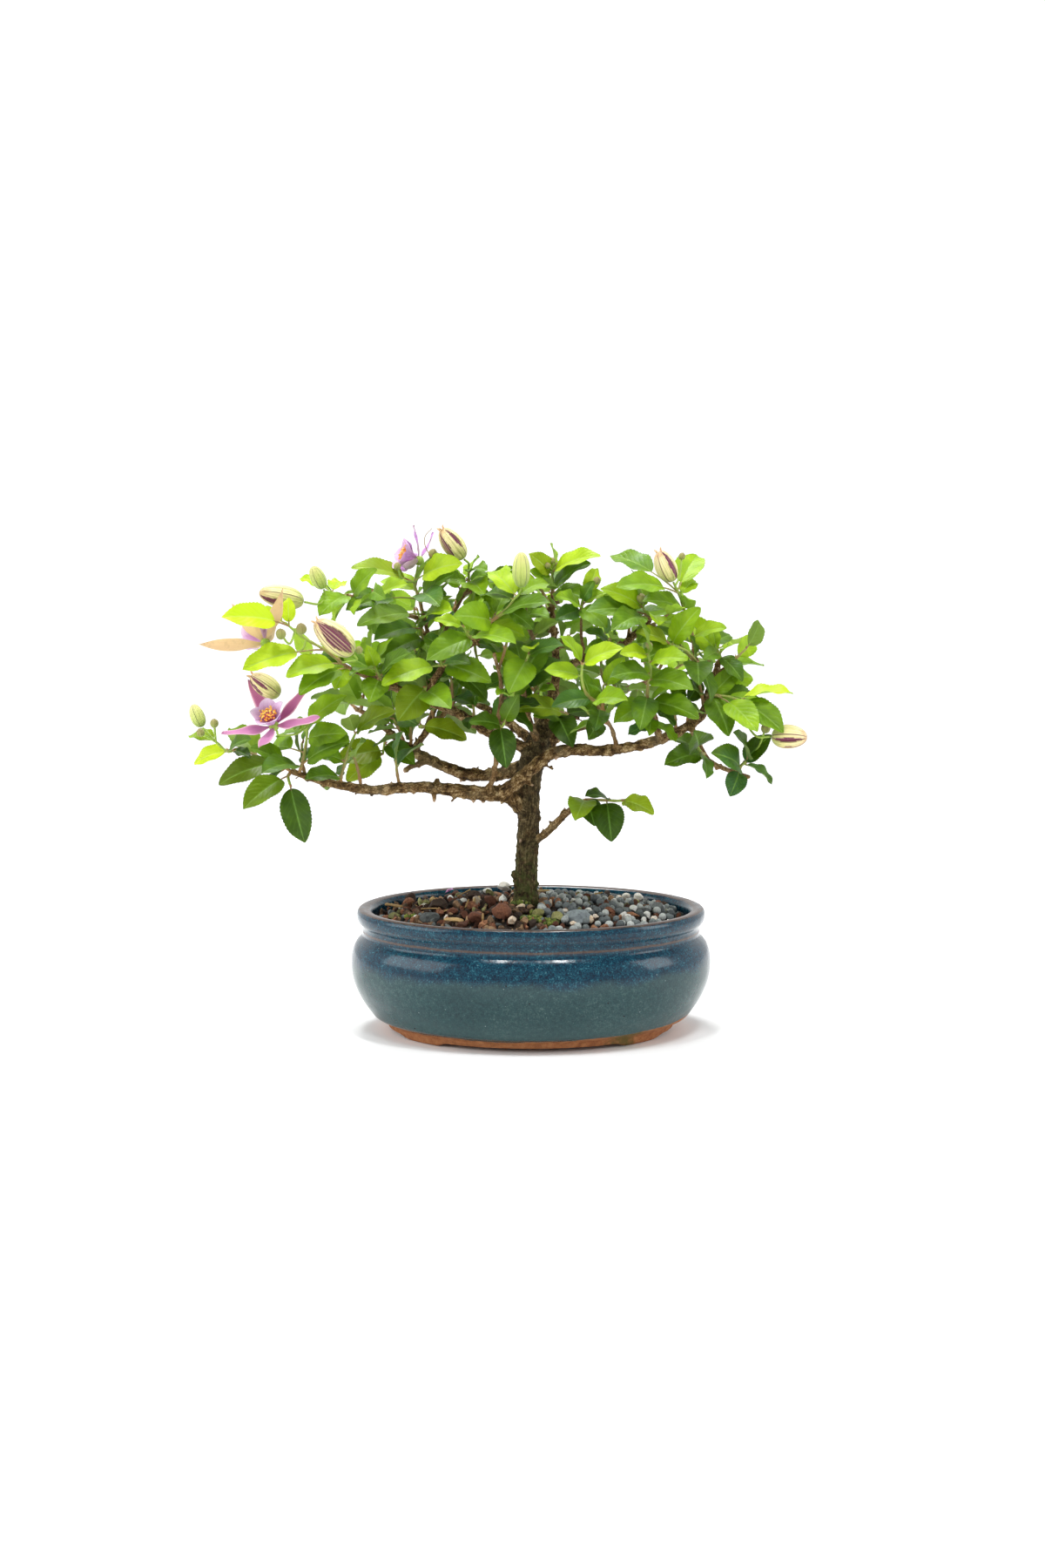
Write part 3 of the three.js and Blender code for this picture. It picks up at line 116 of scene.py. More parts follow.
# Woody limbs: name, radii from root to tip, points from root to tip
LIMBS = [
    ["trunk", [5.6, 5.5, 4.7, 4.5, 4.7, 5.2, 4.6, 2.4],
        [[-2, 0, 38], [-2, 0, 52], [-2, 0, 65], [-1, 0, 86], [-1, 0, 102], [1, 0, 116], [4, 2, 124],
            [7, 6, 133]]],
    ["left_low", [3.6, 3.1, 2.9, 2.2, 2.0, 1.6, 1.2],
        [[-2, 0, 93], [-10, -4, 100], [-24, -10, 102], [-47, -16, 105], [-66, -18, 104], [-86, -20, 108],
            [-99, -20, 112]]],
    ["right_low", [3.2, 2.6, 2.5, 2.1, 2.0, 1.9, 1.5, 1.2],
        [[-13, -6, 100], [-4, -10, 108], [11, -10, 119], [33, -12, 120], [54, -16, 125], [70, -14, 134],
            [74, -12, 145], [78, -10, 157]]],
    ["right_drop", [1.3, 1.1, 1.0, 0.8], [[66, -16, 130], [72, -20, 118], [78, -22, 114], [90, -24, 110]]],
    ["left_mid", [3.0, 2.6, 2.4, 2.2, 1.8, 1.3, 1.0],
        [[1, 2, 114], [-13, 6, 108], [-29, 9, 108], [-49, 14, 116], [-55, 16, 120], [-66, 22, 129],
            [-76, 30, 134]]],
    ["left_fork", [1.6, 1.3, 1.2, 0.9], [[-50, 14, 117], [-44, 12, 126], [-38, 8, 132], [-31, 4, 141]]],
    ["left_leader", [1.4, 1.2, 1.2, 1.0, 0.8],
        [[-45, 12, 125], [-40, 14, 139], [-41, 14, 151], [-43, 13, 164], [-46, 10, 177]]],
    ["mid_left", [2.4, 2.0, 1.9, 1.5, 1.2],
        [[-1, 0, 119], [-16, -6, 126], [-30, -12, 135], [-50, -20, 144], [-73, -30, 155]]],
    ["mid_front", [1.4, 1.3, 1.3, 1.1],
        [[-44, -17, 142], [-36, -22, 155], [-22, -30, 167], [-18, -32, 173]]],
    ["front_rise", [1.2, 1.0, 0.9, 0.9, 0.7],
        [[-18, -8, 102], [-15, -16, 112], [-14, -24, 130], [-12, -30, 147], [-15, -38, 162]]],
    ["centre", [2.6, 2.2, 1.8, 1.4, 1.0, 0.8],
        [[5, 2, 124], [8, 10, 136], [11, 14, 151], [10, 12, 164], [9, 8, 176], [9, 6, 183]]],
    ["right_top", [1.8, 1.5, 1.4, 1.2], [[11, 14, 150], [25, 0, 159], [38, -10, 164], [49, -16, 174]]],
    ["top_twig", [0.9, 0.7, 0.6], [[23, 3, 157], [21, -4, 167], [21, -8, 177]]],
    ["top_left_twig", [1.2, 0.9, 0.7], [[11, 14, 152], [3, 2, 162], [-2, -10, 174]]],
    ["right_back", [2.2, 1.8, 1.5, 1.0], [[7, 2, 120], [18, 12, 132], [34, 24, 140], [58, 36, 147]]],
    ["back_left", [2.2, 1.7, 1.3, 0.9], [[1, 4, 122], [-15, 22, 132], [-36, 38, 141], [-58, 48, 146]]],
    ["back", [2.0, 1.5, 0.9], [[3, 4, 122], [3, 28, 133], [2, 48, 149]]],
    ["right_twig", [1.0, 0.9, 0.8], [[36, -12, 120], [33, -22, 130], [29, -32, 136]]],
    ["right_rise", [1.4, 1.2, 1.0], [[53, -16, 125], [51, -24, 133], [49, -30, 139]]],
    ["head_twig", [1.6, 1.2, 0.8], [[3, -2, 122], [-1, -14, 134], [-4, -28, 152]]],
    ["head_stub", [1.6, 1.2, 1.2], [[9, 2, 124], [20, -2, 128], [27, -4, 130]]],
    ["left_crown", [1.0, 0.8, 0.6], [[-45, 11, 173], [-58, 2, 177], [-73, -8, 183]]],
    ["crown_twig", [1.1, 0.8, 0.6], [[-42, 14, 156], [-34, 12, 173], [-26, 6, 187]]],
    ["right_crown", [1.0, 0.8, 0.7], [[74, -12, 145], [70, -14, 154], [67, -14, 161]]],
    ["sprout", [1.9, 1.5, 1.3, 1.1], [[-1, 0, 78], [8, -8, 86], [15, -14, 94], [21, -18, 99]]],
    ["cut_stub", [1.5, 1.2, 1.1], [[-44, 12, 113], [-50, 10, 111], [-54, 8, 109]]],
    ["spur_low", [1.2, 0.7], [[-40, -15, 104], [-40, -18, 99]]],
    ["spur_high", [1.6, 1.0], [[-39, -15, 105], [-39, -12, 108]]],
    ["spur_inner", [1.0, 0.6], [[-23, -10, 101], [-24, -12, 98]]],
]

# Leafy sprays: name, limb that carries it, usual leaf length, count of leaves set by the rule,
# stem points, and the leaves that are placed one by one. Each of those gives its share of the way
# along the stem, its tip, how far it faces the front in degrees, and its width share if unusual.
SPRAYS = [
    ["left_end", "left_low", 18, 2,
        [[-102, -20, 114], [-110, -20, 117], [-120, -18, 121], [-125, -18, 120], [-130, -18, 124]],
        [[0.15, -114, -34, 123, 45], [0.3, -128, -26, 107, 45], [0.78, -140, -12, 114, 40],
            [0.8, -114, -28, 126, 40], [0.72, -115, -34, 118, 30], [0.45, -126, -8, 128, 30]]],
    ["left_hanging", "left_low", 20, 0,
        [[-100, -22, 110], [-99, -24, 107]],
        [[1, -93, -26, 83, 85, 0.56], [0.3, -116, -36, 99, 50]]],
    ["left_rise", "left_low", 18, 2,
        [[-94, -22, 116], [-92, -26, 124], [-91, -30, 132]],
        [[0.15, -108, -42, 114, 40], [0.2, -73, -36, 126, 50], [0.75, -74, -24, 129, 60],
            [1, -75, -30, 144, 40], [0.9, -104, -8, 125, 45], [0.5, -112, -14, 118, 40]]],
    ["left_shoot", "left_low", 18, 2,
        [[-78, -20, 111], [-75, -22, 121], [-72, -24, 128]],
        [[0.1, -92, -34, 110, 35], [1, -55, -34, 138, 40], [0.5, -88, -34, 120, 50],
            [0.1, -86, -12, 102, 15]]],
    ["low_light", "left_mid", 18, 0,
        [[-62, 16, 123], [-63, 10, 116]],
        [[1, -78, 4, 105, 55, 0.62], [0.9, -82, 2, 114, 55, 0.6], [0.7, -49, 4, 112, 50]]],
    ["flower_shoot", "mid_left", 19, 2,
        [[-76, -32, 157], [-83, -37, 163], [-91, -40, 168], [-98, -43, 174]],
        [[0.95, -121, -46, 177, 30], [0.5, -114, -54, 156, 45],
            [0.95, -97, -34, 184, 70], [0.25, -97, -52, 153, 40], [0.05, -92, -46, 146, 40],
            [0.1, -79, -50, 147, 70, 0.7], [0.3, -84, -18, 174, 40]]],
    ["bud_shoot", "left_crown", 16, 2,
        [[-76, -9, 184], [-80, -11, 184], [-83, -12, 186]],
        [[0.3, -86, -26, 176, 35], [0.05, -63, -14, 195, 50], [0.9, -79, 2, 189, 40]]],
    ["leader_top", "left_leader", 21, 1,
        [[-47, 9, 182], [-49, 8, 188], [-48, 8, 193]],
        [[0.3, -76, -8, 178, 40], [0.15, -31, -8, 193, 45], [0.7, -75, -4, 195, 30],
            [0.75, -28, -2, 197, 35], [0.5, -64, 22, 189, 30], [0.4, -37, -16, 180, 60]]],
    ["leader_low", "left_leader", 20, 1,
        [[-45, 4, 165], [-46, -4, 171], [-44, -10, 176]],
        [[0.2, -62, -10, 158, 50], [0.6, -64, -24, 166, 40], [1, -71, -24, 172, 35],
            [0.9, -32, -26, 178, 45]]],
    ["crown_left", "crown_twig", 18, 1,
        [[-26, 5, 190], [-26, 3, 195]],
        [[0.8, -18, -10, 194, 35], [0.3, -19, -14, 184, 55], [0.4, -38, -12, 190, 50],
            [0.1, -12, 20, 189, 30]]],
    ["front_low", "mid_front", 20, 1,
        [[-36, -26, 156], [-37, -30, 159]],
        [[0.2, -16, -40, 150, 55], [0.5, -60, -40, 149, 40], [0.2, -18, -26, 142, 30]]],
    ["front_mid", "mid_front", 20, 1,
        [[-25, -33, 168], [-27, -36, 172]],
        [[0.1, -42, -44, 159, 55], [0.3, -6, -44, 166, 30], [1, -39, -38, 175, 40]]],
    ["front_top", "mid_front", 20, 1,
        [[-15, -33, 175], [-10, -35, 179], [-7, -37, 183], [-5, -38, 185]],
        [[0.15, -31, -48, 177, 70, 0.6], [0.3, 8, -46, 182, 30], [0.9, -17, -34, 194, 30],
            [0.5, 1, -52, 171, 45], [0.75, -20, -20, 184, 30], [0.9, 7, -28, 189, 30]]],
    ["front_hanging", "front_rise", 18, 0,
        [[-12, -28, 131], [-11, -30, 133]],
        [[0.2, -10, -36, 115, 80, 0.6], [1, -5, -36, 145, 70], [0.6, -25, -38, 134, 50]]],
    ["mid_left_a", "mid_left", 18, 2,
        [[-61, -29, 151], [-63, -32, 155]],
        [[0.2, -65, -40, 142, 75, 0.75], [0.6, -48, -38, 162, 35], [1, -66, -38, 165, 60],
            [0.6, -77, -24, 161, 50]]],
    ["mid_left_b", "mid_left", 17, 0,
        [[-44, -22, 144], [-43, -25, 147]],
        [[1, -54, -34, 134, 75, 0.75], [0.7, -32, -38, 140, 60]]],
    ["fork_leaf", "left_fork", 17, 1,
        [[-47, 5, 128], [-46, 2, 129]],
        [[1, -27, 0, 123, 45], [0.4, -60, 20, 131, 50]]],
    ["centre_top", "centre", 19, 2,
        [[9, 5, 186], [9, 4, 191], [9, 3, 194]],
        [[0.8, -1, -2, 201, 60, 0.6], [0.9, 29, -6, 200, 30], [0.3, 25, -12, 197, 30],
            [0.5, -1, -10, 194, 50], [0.1, -4, 18, 187, 30], [0.15, 24, -10, 182, 40]]],
    ["top_buds", "top_twig", 16, 2,
        [[21, -9, 180], [22, -10, 184]],
        [[0.2, 10, -20, 184, 45], [0.6, 26, -14, 190, 50], [0.3, 31, -22, 171, 60], [0.5, 32, 4, 185, 30]]],
    ["top_leaves", "top_left_twig", 18, 4,
        [[-2, -11, 176], [-2, -12, 178]],
        []],
    ["right_crown_a", "right_top", 19, 2,
        [[48, -17, 176], [46, -18, 179]],
        [[1, 28, -24, 187, 45], [0.9, 37, -10, 187, 40], [0.5, 22, -30, 178, 40], [0.1, 32, -40, 171, 50]]],
    ["bud_stem_right", "right_crown", 19, 1,
        [[67, -14, 164], [66, -14, 170], [63, -15, 178], [61, -16, 184], [59, -17, 188]],
        [[0.85, 34, -26, 188, 40], [0.88, 33, 2, 200, 30], [0.9, 70, -10, 200, 40], [0.8, 68, -6, 190, 50],
            [0.6, 45, -28, 182, 35], [0.3, 80, -22, 171, 40]]],
    ["right_crown_b", "right_crown", 19, 2,
        [[68, -20, 157], [63, -25, 162], [56, -29, 165]],
        [[0.95, 68, -36, 180, 50], [0.8, 44, -38, 158, 40], [0.3, 67, -42, 149, 50]]],
    ["right_tip", "right_low", 17, 1,
        [[78, -11, 160], [76, -12, 163]],
        [[0.5, 63, -20, 175, 50], [0.9, 74, -2, 172, 50], [0.4, 83, -18, 164, 30], [0.3, 87, -18, 149, 40]]],
    ["right_side", "right_low", 20, 1,
        [[75, -18, 143], [81, -23, 143], [85, -27, 142]],
        [[0.15, 96, -14, 138, 50], [1, 106, -34, 145, 10], [0.8, 101, -38, 130, 40], [0.4, 90, -40, 131, 50],
            [0.2, 80, -36, 128, 60], [0.1, 86, -4, 154, 40]]],
    ["right_low_a", "right_drop", 17, 1,
        [[86, -26, 115], [90, -28, 119]],
        [[0.1, 81, -32, 103, 80, 0.7], [0.6, 98, -38, 128, 50], [0.8, 81, -38, 130, 40],
            [0.3, 72, -44, 122, 60]]],
    ["right_low_b", "right_drop", 17, 1,
        [[70, -25, 120], [68, -28, 123]],
        [[0.2, 54, -34, 116, 45], [0.3, 56, -12, 122, 12], [1, 65, -44, 131, 75, 0.7]]],
    ["right_front", "right_rise", 19, 3,
        [[47, -35, 143], [47, -38, 149], [48, -40, 154], [47, -40, 161]],
        [[0.1, 33, -44, 134, 45], [0.15, 67, -46, 136, 40], [0.3, 43, -46, 132, 60], [1, 35, -48, 162, 50],
            [0.9, 62, -52, 160, 45], [0.7, 31, -52, 153, 45], [0.6, 64, -54, 148, 45]]],
    ["right_front_low", "right_twig", 19, 2,
        [[26, -40, 142], [22, -46, 146], [20, -51, 152], [20, -54, 158]],
        [[0.1, 25, -44, 131, 60], [0.3, 38, -56, 144, 50], [0.35, 8, -50, 141, 45], [0.8, 5, -54, 156, 50],
            [1, 36, -60, 165, 45]]],
    ["head_front", "trunk", 21, 1,
        [[10, -2, 133], [15, -12, 135]],
        [[1, -7, -26, 138, 45], [0.6, 17, -22, 122, 65], [0.9, 30, 2, 132, 40]]],
    ["head_top", "head_twig", 19, 2,
        [[-3, -30, 156], [-1, -33, 161]],
        [[0.8, -9, -44, 146, 75, 0.7], [0.5, -16, -44, 160, 60], [0.9, 13, -42, 165, 40]]],
    ["sprout_leaves", "sprout", 16, 0,
        [[23, -18, 100], [30, -20, 100], [36, -22, 100], [42, -24, 101]],
        [[0.55, 33, -30, 84, 85, 0.7], [0.6, 22, -32, 103, 30], [0.8, 50, -34, 96, 40],
            [0.15, 18, -30, 94, 50], [0.2, 26, -28, 91, 70]]],
    ["back_left_a", "back_left", 20, 5, [[-62, 49, 150], [-72, 50, 156]], []],
    ["back_left_b", "back_left", 20, 6, [[-43, 42, 152], [-47, 41, 165], [-49, 35, 176]], []],
    ["back_left_c", "back_left", 20, 5, [[-21, 28, 146], [-24, 26, 162], [-20, 24, 175]], []],
    ["back_top", "back", 20, 6, [[0, 50, 158], [-4, 46, 170], [-7, 38, 179]], []],
    ["back_mid", "back", 20, 5, [[11, 46, 142], [21, 53, 148]], []],
    ["back_right_a", "right_back", 20, 5, [[64, 38, 151], [73, 36, 157], [81, 29, 160]], []],
    ["back_right_b", "right_back", 20, 6, [[50, 40, 153], [50, 41, 165], [46, 34, 176]], []],
    ["back_right_c", "right_back", 20, 5, [[31, 29, 148], [30, 26, 162], [27, 20, 175]], []],
    ["back_side", "left_mid", 20, 5, [[-80, 34, 138], [-86, 36, 148], [-94, 32, 156]], []],
]

# Large buds: name, spray that carries it, base, tip, half width, points of the stalk on the way
BUDS = [
    ["bud_top", "crown_left", [-28, -2, 199], [-37, -6, 211], 4.4, [[-26, 1, 197]]],
    ["bud_centre", "front_top", [-4, -39, 188], [-4, -41, 202], 3.5, []],
    ["bud_right", "bud_stem_right", [58, -18, 190], [52, -21, 202], 4.3, []],
    ["bud_left", "flower_shoot", [-71, -46, 162], [-85, -52, 175], 5.4, [[-70, -40, 159]]],
    ["bud_left_high", "bud_shoot", [-92, -30, 182], [-109, -36, 186], 4.5, [[-86, -22, 181]]],
    ["bud_green", "bud_shoot", [-85, -18, 187], [-89, -21, 196], 3.0, [[-84, -15, 183]]],
    ["bud_right_low", "right_side", [97, -37, 128], [111, -40, 128], 4.7, [[87, -31, 134], [91, -35, 128]]],
    ["bud_left_end", "left_end", [-136, -15, 130], [-140, -13, 139], 2.9, [[-133, -16, 127]]],
]

# Small round buds: spray, place, radius, points of the stalk on the way
SMALL_BUDS = [
    ["left_end", [-136, -20, 128], 1.6, []],
    ["left_end", [-130, -22, 132], 1.7, [[-130, -20, 128]]],
    ["flower_shoot", [-99, -51, 170], 2.0, [[-96, -47, 166]]],
    ["flower_shoot", [-91, -50, 172], 2.1, []],
    ["bud_shoot", [-88, -6, 192], 2.0, [[-83, -8, 186]]],
    ["leader_top", [-41, 2, 201], 1.8, [[-44, 4, 196]]],
    ["leader_top", [-55, -13, 196], 1.5, [[-53, -8, 190]]],
    ["top_buds", [27, -12, 190], 1.5, [[24, -11, 186]]],
    ["right_crown_a", [45, -20, 183], 1.9, []],
    ["right_front", [47, -42, 165], 1.4, []],
    ["right_low_a", [95, -33, 131], 1.9, [[93, -30, 124]]],
    ["bud_stem_right", [62, -12, 200], 1.4, [[61, -14, 192]]],
    ["centre_top", [9, 2, 198], 1.3, []],
    ["centre_top", [7, 0, 196], 1.2, []],
    ["centre_top", [11, 5, 196], 1.2, []],
    ["mid_left_a", [-69, -40, 163], 1.5, []],
]

# Flowers: name, spray that carries it, middle, heart of the stamens, points of the stalk, sepal tips
FLOWERS = [
    ["flower_open", "left_rise", [-103, -44, 133], [-106, -52, 142], [[-95, -36, 129], [-101, -42, 129]],
        [[-123, -54, 131], [-107, -62, 126], [-83, -58, 138], [-86, -42, 154], [-115, -30, 151]]],
    ["flower_back", "flower_shoot", [-106, -44, 166], [-114, -34, 171], [[-92, -42, 163], [-100, -44, 162]],
        [[-132, -52, 166], [-119, -46, 182], [-98, -48, 189], [-104, -22, 173], [-123, -26, 163]]],
    ["flower_top", "leader_top", [-47, 6, 198], [-54, 4, 201], [],
        [[-49, 2, 213], [-41, 12, 210], [-53, 22, 199], [-57, 10, 194], [-53, -10, 196]]],
]

# Sizes and places that only the finer pieces have, in millimetres where nothing else is said
STEEP = 0.9  # upward share of a direction from which the depth axis guides its sides
WOOD_VOXEL = 0.52  # mm
KNOT_SPACING = 7.5
PETIOLE_RADIUS = 0.42
PETIOLE_SUNK = 0.3  # how far a leaf's stalk starts inside the stem
CROWN_MIDDLE = [-5, -2]
CROWN_REACH = [110, 56]
CROWN_BASE = 118
CROWN_HEIGHT = 88
INNER_LOW = 116  # inner leaves stay between these heights and within this reach
INNER_HIGH = 198
INNER_REACH = [104, 56]
STAMEN_COUNT = 46
STAMEN_SPREAD = 0.62  # lean of the outermost ones, radians
GOLDEN_TURN = 2.39996  # from one stamen to the next, so that they spread evenly
POT_SIDES = 176
POT_STEP = 0.8
FOOT_BLEND = 2.5  # half the length over which a foot rises to its gap
SOIL_SIDES = 144
SOIL_RINGS = 52
SOIL_FLOOR = 11.3
GRAVEL_COVER = 1.6  # how deep the soil's skin lies under the gravel
TRUNK_KEEP_OFF = 6.6  # gravel keeps that far from the middle of the trunk
GRAVEL_EDGE = 2.2
GRAVEL_REACH = 66
NECK_LINE_HEIGHT = 42.7  # where the glaze breaks to brown
RIM_LINE_HEIGHT = 47.0
LIP_HEIGHT = 52.0
SHOULDER_HEIGHT = 28.0  # where the dark shoulder glaze ends with a wavy edge, over the belly that is painted lighter and greyer as a painted reflection of the table
STRAND_SQUEEZE = 0.2  # bark grain is that much shorter in the pattern than along the limb
FINE_FOLD = 0.31  # rise of a leaf's edge over its rib, as a share of the half width
FOOT_LIFT = 1.8
MOSS_ON_FOOT = [40, -42, 2]
TABLE_WIDTH = 1.3  # metres
WORLD_LIGHT = 1.15
VIEWER_SIDE_LIGHT = 0.75
OVERHEAD_LIGHT = 0.4
CUT_ENDS = ["cut_stub", "head_stub", "spur_low", "spur_high", "spur_inner", "sprout"]

# Broken side twigs on each limb
SPURS = {
    "trunk": 5, "left_low": 17, "right_low": 18, "left_mid": 16, "mid_left": 13, "centre": 8,
    "left_leader": 7, "right_back": 6, "back_left": 6, "right_top": 6, "mid_front": 7, "front_rise": 7,
    "left_fork": 6, "sprout": 6, "right_drop": 3, "right_rise": 3, "head_twig": 4, "back": 3,
}

# Inner shoots: limb, the stretch of it that carries them as shares of its length, and their count
INNER_SHOOTS = [
    ["left_low", 0.5, 0.98, 4], ["right_low", 0.55, 0.98, 5], ["left_mid", 0.5, 0.98, 5],
    ["left_fork", 0.4, 1.0, 3], ["left_leader", 0.2, 0.95, 4], ["mid_left", 0.35, 0.98, 5],
    ["mid_front", 0.3, 0.95, 3], ["front_rise", 0.5, 0.98, 2], ["centre", 0.3, 0.98, 5],
    ["right_top", 0.25, 1.0, 4], ["top_left_twig", 0.3, 0.95, 2], ["right_back", 0.4, 1.0, 5],
    ["back_left", 0.4, 1.0, 5], ["back", 0.4, 1.0, 4], ["right_rise", 0.3, 1.0, 2],
    ["head_twig", 0.4, 1.0, 3], ["left_crown", 0.2, 0.9, 2], ["right_crown", 0.2, 0.9, 2],
    ["crown_twig", 0.3, 0.95, 3], ["right_twig", 0.5, 1.0, 2],
]

# Young leaves, yellower than the rest: spray, then leaf number and how young it is
YOUNG_LEAVES = {
    "left_end": {0: 0.0, 1: 0.1, 2: 0.95, 5: 0.1},
    "left_hanging": {0: 0.0, 1: 0.1},
    "flower_shoot": {0: 0.9, 2: 0.85, 6: 0.3},
    "right_side": {1: 0.75},
    "low_light": {0: 0.4, 1: 0.3},
    "sprout_leaves": {2: 0.35, 3: 0.2},
    "leader_top": {2: 0.3, 3: 0.25},
    "centre_top": {0: 0.35, 1: 0.3},
}

# How each large bud looks: striped or plain green, its open slits (turn, half width and stretch of
# the length), and the count of dry tails at its tip
BUD_LOOKS = {
    "bud_top": [0.9, [[200, 30, 0.1, 1.0], [290, 14, 0.3, 1.0]], 3],
    "bud_centre": [0.1, [], 0],
    "bud_right": [1.0, [[281, 16, 0.05, 1.03]], 2],
    "bud_left": [0.95, [[262, 40, 0.05, 1.02], [180, 12, 0.3, 1.0]], 2],
    "bud_left_high": [0.75, [[228, 20, 0.25, 1.02]], 0],
    "bud_green": [0.05, [], 0],
    "bud_right_low": [1.0, [[102, 13, 0.0, 1.0], [152, 13, 0.0, 1.0]], 0],
    "bud_behind": [1.0, [[270, 12, 0.3, 1.05], [225, 14, 0.35, 1.05]], 3],
    "bud_left_end": [0.25, [], 0],
}
FLOWER_TINTS = {"flower_open": 0.2, "flower_back": 0.5, "flower_top": -0.2}
BUD_BEHIND = ["bud_behind", [-101.5, -36, 144.5], [-113, -35, 152.5], 4.2]

FALLEN_PETAL = [[-38.5, 30], [-34, 29.5], 4.2]
THREAD = [[-39, -1, 197], [-43.5, -2, 203], [-44, -2, 208], [-41, -3, 211.5]]

# Lamps: name, place, what it points at, its two sizes in metres and its power in watts
LAMPS = [
    ["top lamp", [-150, 450, 1250], [0, 0, 120], [0.4, 0.4], 15.0],
    ["left lamp", [-200, -420, 1150], [0, -20, 60], [0.08, 0.24], 3.0],
    ["right lamp", [200, -420, 1150], [0, -20, 60], [0.12, 0.24], 5.5],
    ["left window", [-1150, -380, 620], [0, 0, 60], [1.1, 0.8], 9.0],
    ["right window", [1150, -250, 560], [0, 0, 60], [0.5, 0.7], 4.5],
]

# Single stones: kind, place across and in depth, lift of the middle over the soil, tone, half sizes
NOTED_STONES = [
    ["olive", [-57, -10.6], 0.8, 0.35, [4.6, 3.0, 1.8]],
    ["lava", [-52.4, 15.3], 1.6, 0.7, [3.0, 2.6, 2.4]],
    ["bark", [-52, 26], 2.6, 0.3, [3.0, 2.2, 2.8]],
    ["white", [-47.9, -20.3], 1.2, 0.9, [2.1, 1.8, 1.8]],
    ["dark", [-41.9, -23.2], 1.4, 0.25, [4.4, 3.0, 2.6]],
    ["straw", [-31.7, -28.1], 0.9, 0.6, [5.2, 2.5, 1.1]],
    ["straw", [-42.1, 14.4], 1.6, 0.75, [1.6, 1.2, 1.6]],
    ["white", [-34.6, 14.3], 1.4, 0.85, [1.6, 1.4, 1.6]],
    ["dark", [-30.6, -1.8], 1.4, 0.4, [2.8, 2.2, 2.0]],
    ["bark", [-39.2, -6.1], 2.0, 0.25, [5.4, 4.0, 3.2]],
    ["bark", [-24.9, 10.4], 2.0, 0.4, [4.4, 3.4, 2.6]],
    ["lava", [-17.2, -2.4], 1.6, 0.3, [2.8, 2.4, 2.3]],
    ["white", [-18.8, 30], 2.6, 0.6, [2.2, 1.7, 1.5]],
    ["white", [-11.8, 28], 4.2, 0.55, [3.2, 2.4, 2.3]],
    ["white", [-11.9, 4.3], 1.2, 0.9, [2.2, 2.0, 1.9]],
    ["lava", [-12.2, -24.6], 2.2, 0.55, [6.6, 4.0, 3.5]],
    ["lava", [-22.4, -28.4], 1.5, 0.35, [4.6, 3.2, 2.6]],
    ["white", [-7.6, -34.3], 1.4, 0.12, [3.2, 1.8, 2.2]],
    ["white", [-4.3, -15.6], 1.6, 0.05, [2.0, 1.0, 1.6]],
    ["straw", [-19.8, -32.8], 2.0, 0.6, [0.5, 0.4, 2.6]],
    ["straw", [-22.1, 5.9], 2.0, 0.9, [0.8, 0.7, 0.7]],
    ["olive", [-44.9, 10.2], 1.4, 0.6, [1.8, 1.4, 1.4]],
    ["lava", [-33.1, -16.1], 1.1, 0.4, [3.4, 2.4, 1.6]],
    ["bark", [-28.5, 6.1], 1.4, 0.55, [2.4, 2.0, 1.5]],
    ["straw", [4.8, 17.3], 3.0, 0.8, [3.8, 0.7, 0.5]],
    ["lava", [11.4, -6.5], 1.6, 0.75, [1.9, 1.6, 1.9]],
    ["lava", [32.8, -16.4], 1.4, 0.6, [2.6, 2.0, 2.0]],
    ["lava", [42.4, -17.1], 1.0, 0.85, [3.6, 1.8, 1.3]],
    ["olive", [10.6, -30.5], 1.6, 0.7, [3.2, 2.6, 2.4]],
    ["olive", [3.2, -25.3], 1.4, 0.55, [2.8, 2.4, 2.0]],
    ["white", [17.4, -35.8], 0.9, 0.15, [2.2, 1.4, 1.2]],
    ["white", [42, 30], 2.0, 0.5, [2.0, 1.8, 1.7]],
    ["white", [47, 28], 2.4, 0.6, [2.8, 2.2, 2.1]],
    ["dark", [53.6, 0.6], 1.7, 0.85, [3.8, 3.0, 2.8]],
    ["bark", [33.5, 32], 1.8, 0.2, [2.6, 2.2, 2.2]],
    ["lava", [55, 20], 1.4, 0.6, [2.2, 1.8, 1.5]],
    ["bark", [57, 16], 1.2, 0.5, [2.8, 2.2, 1.8]],
    ["bark", [18, 38], 1.0, 0.5, [2.8, 2.0, 1.4]],
    ["white", [43.2, -6.0], 1.2, 0.9, [2.4, 1.8, 1.6]],
    ["dark", [48.4, -7.5], 1.0, 0.3, [2.4, 2.0, 1.6]],
    ["white", [26.8, -25.0], 0.9, 0.3, [1.6, 1.4, 1.2]],
    ["lava", [6.9, -15.5], 1.2, 0.5, [1.9, 1.7, 1.5]],
    ["white", [39, 36], 1.0, 0.1, [2.2, 1.8, 1.4]],
]

# Dry stalks that lie on the soil: their two ends, across, in depth and in height, and half thickness
STRAWS = [
    [[-62, 8, 51.5], [-54.5, -6, 53.2], 0.7],
    [[-31, 4, 55.6], [-26, 12, 57.4], 0.35],
    [[-27.4, -14, 54.0], [-26, -12, 57.2], 0.35],
    [[26, 14, 54.4], [31, 18, 55.2], 0.4],
    [[-46, -12, 53.0], [-38, -17, 54.4], 0.3],
]

# Knots on the trunk where twigs grew: place and radius
KNOTS = [[[-6.9, -1.5, 65.3], 1.5], [[-7.6, -1, 67], 0.8], [[-6.6, -2.5, 61.5], 1.0], [[3.6, -1, 90], 0.9],
         [[-6.4, -1, 94], 1.0], [[3.2, -2, 62], 0.8]]

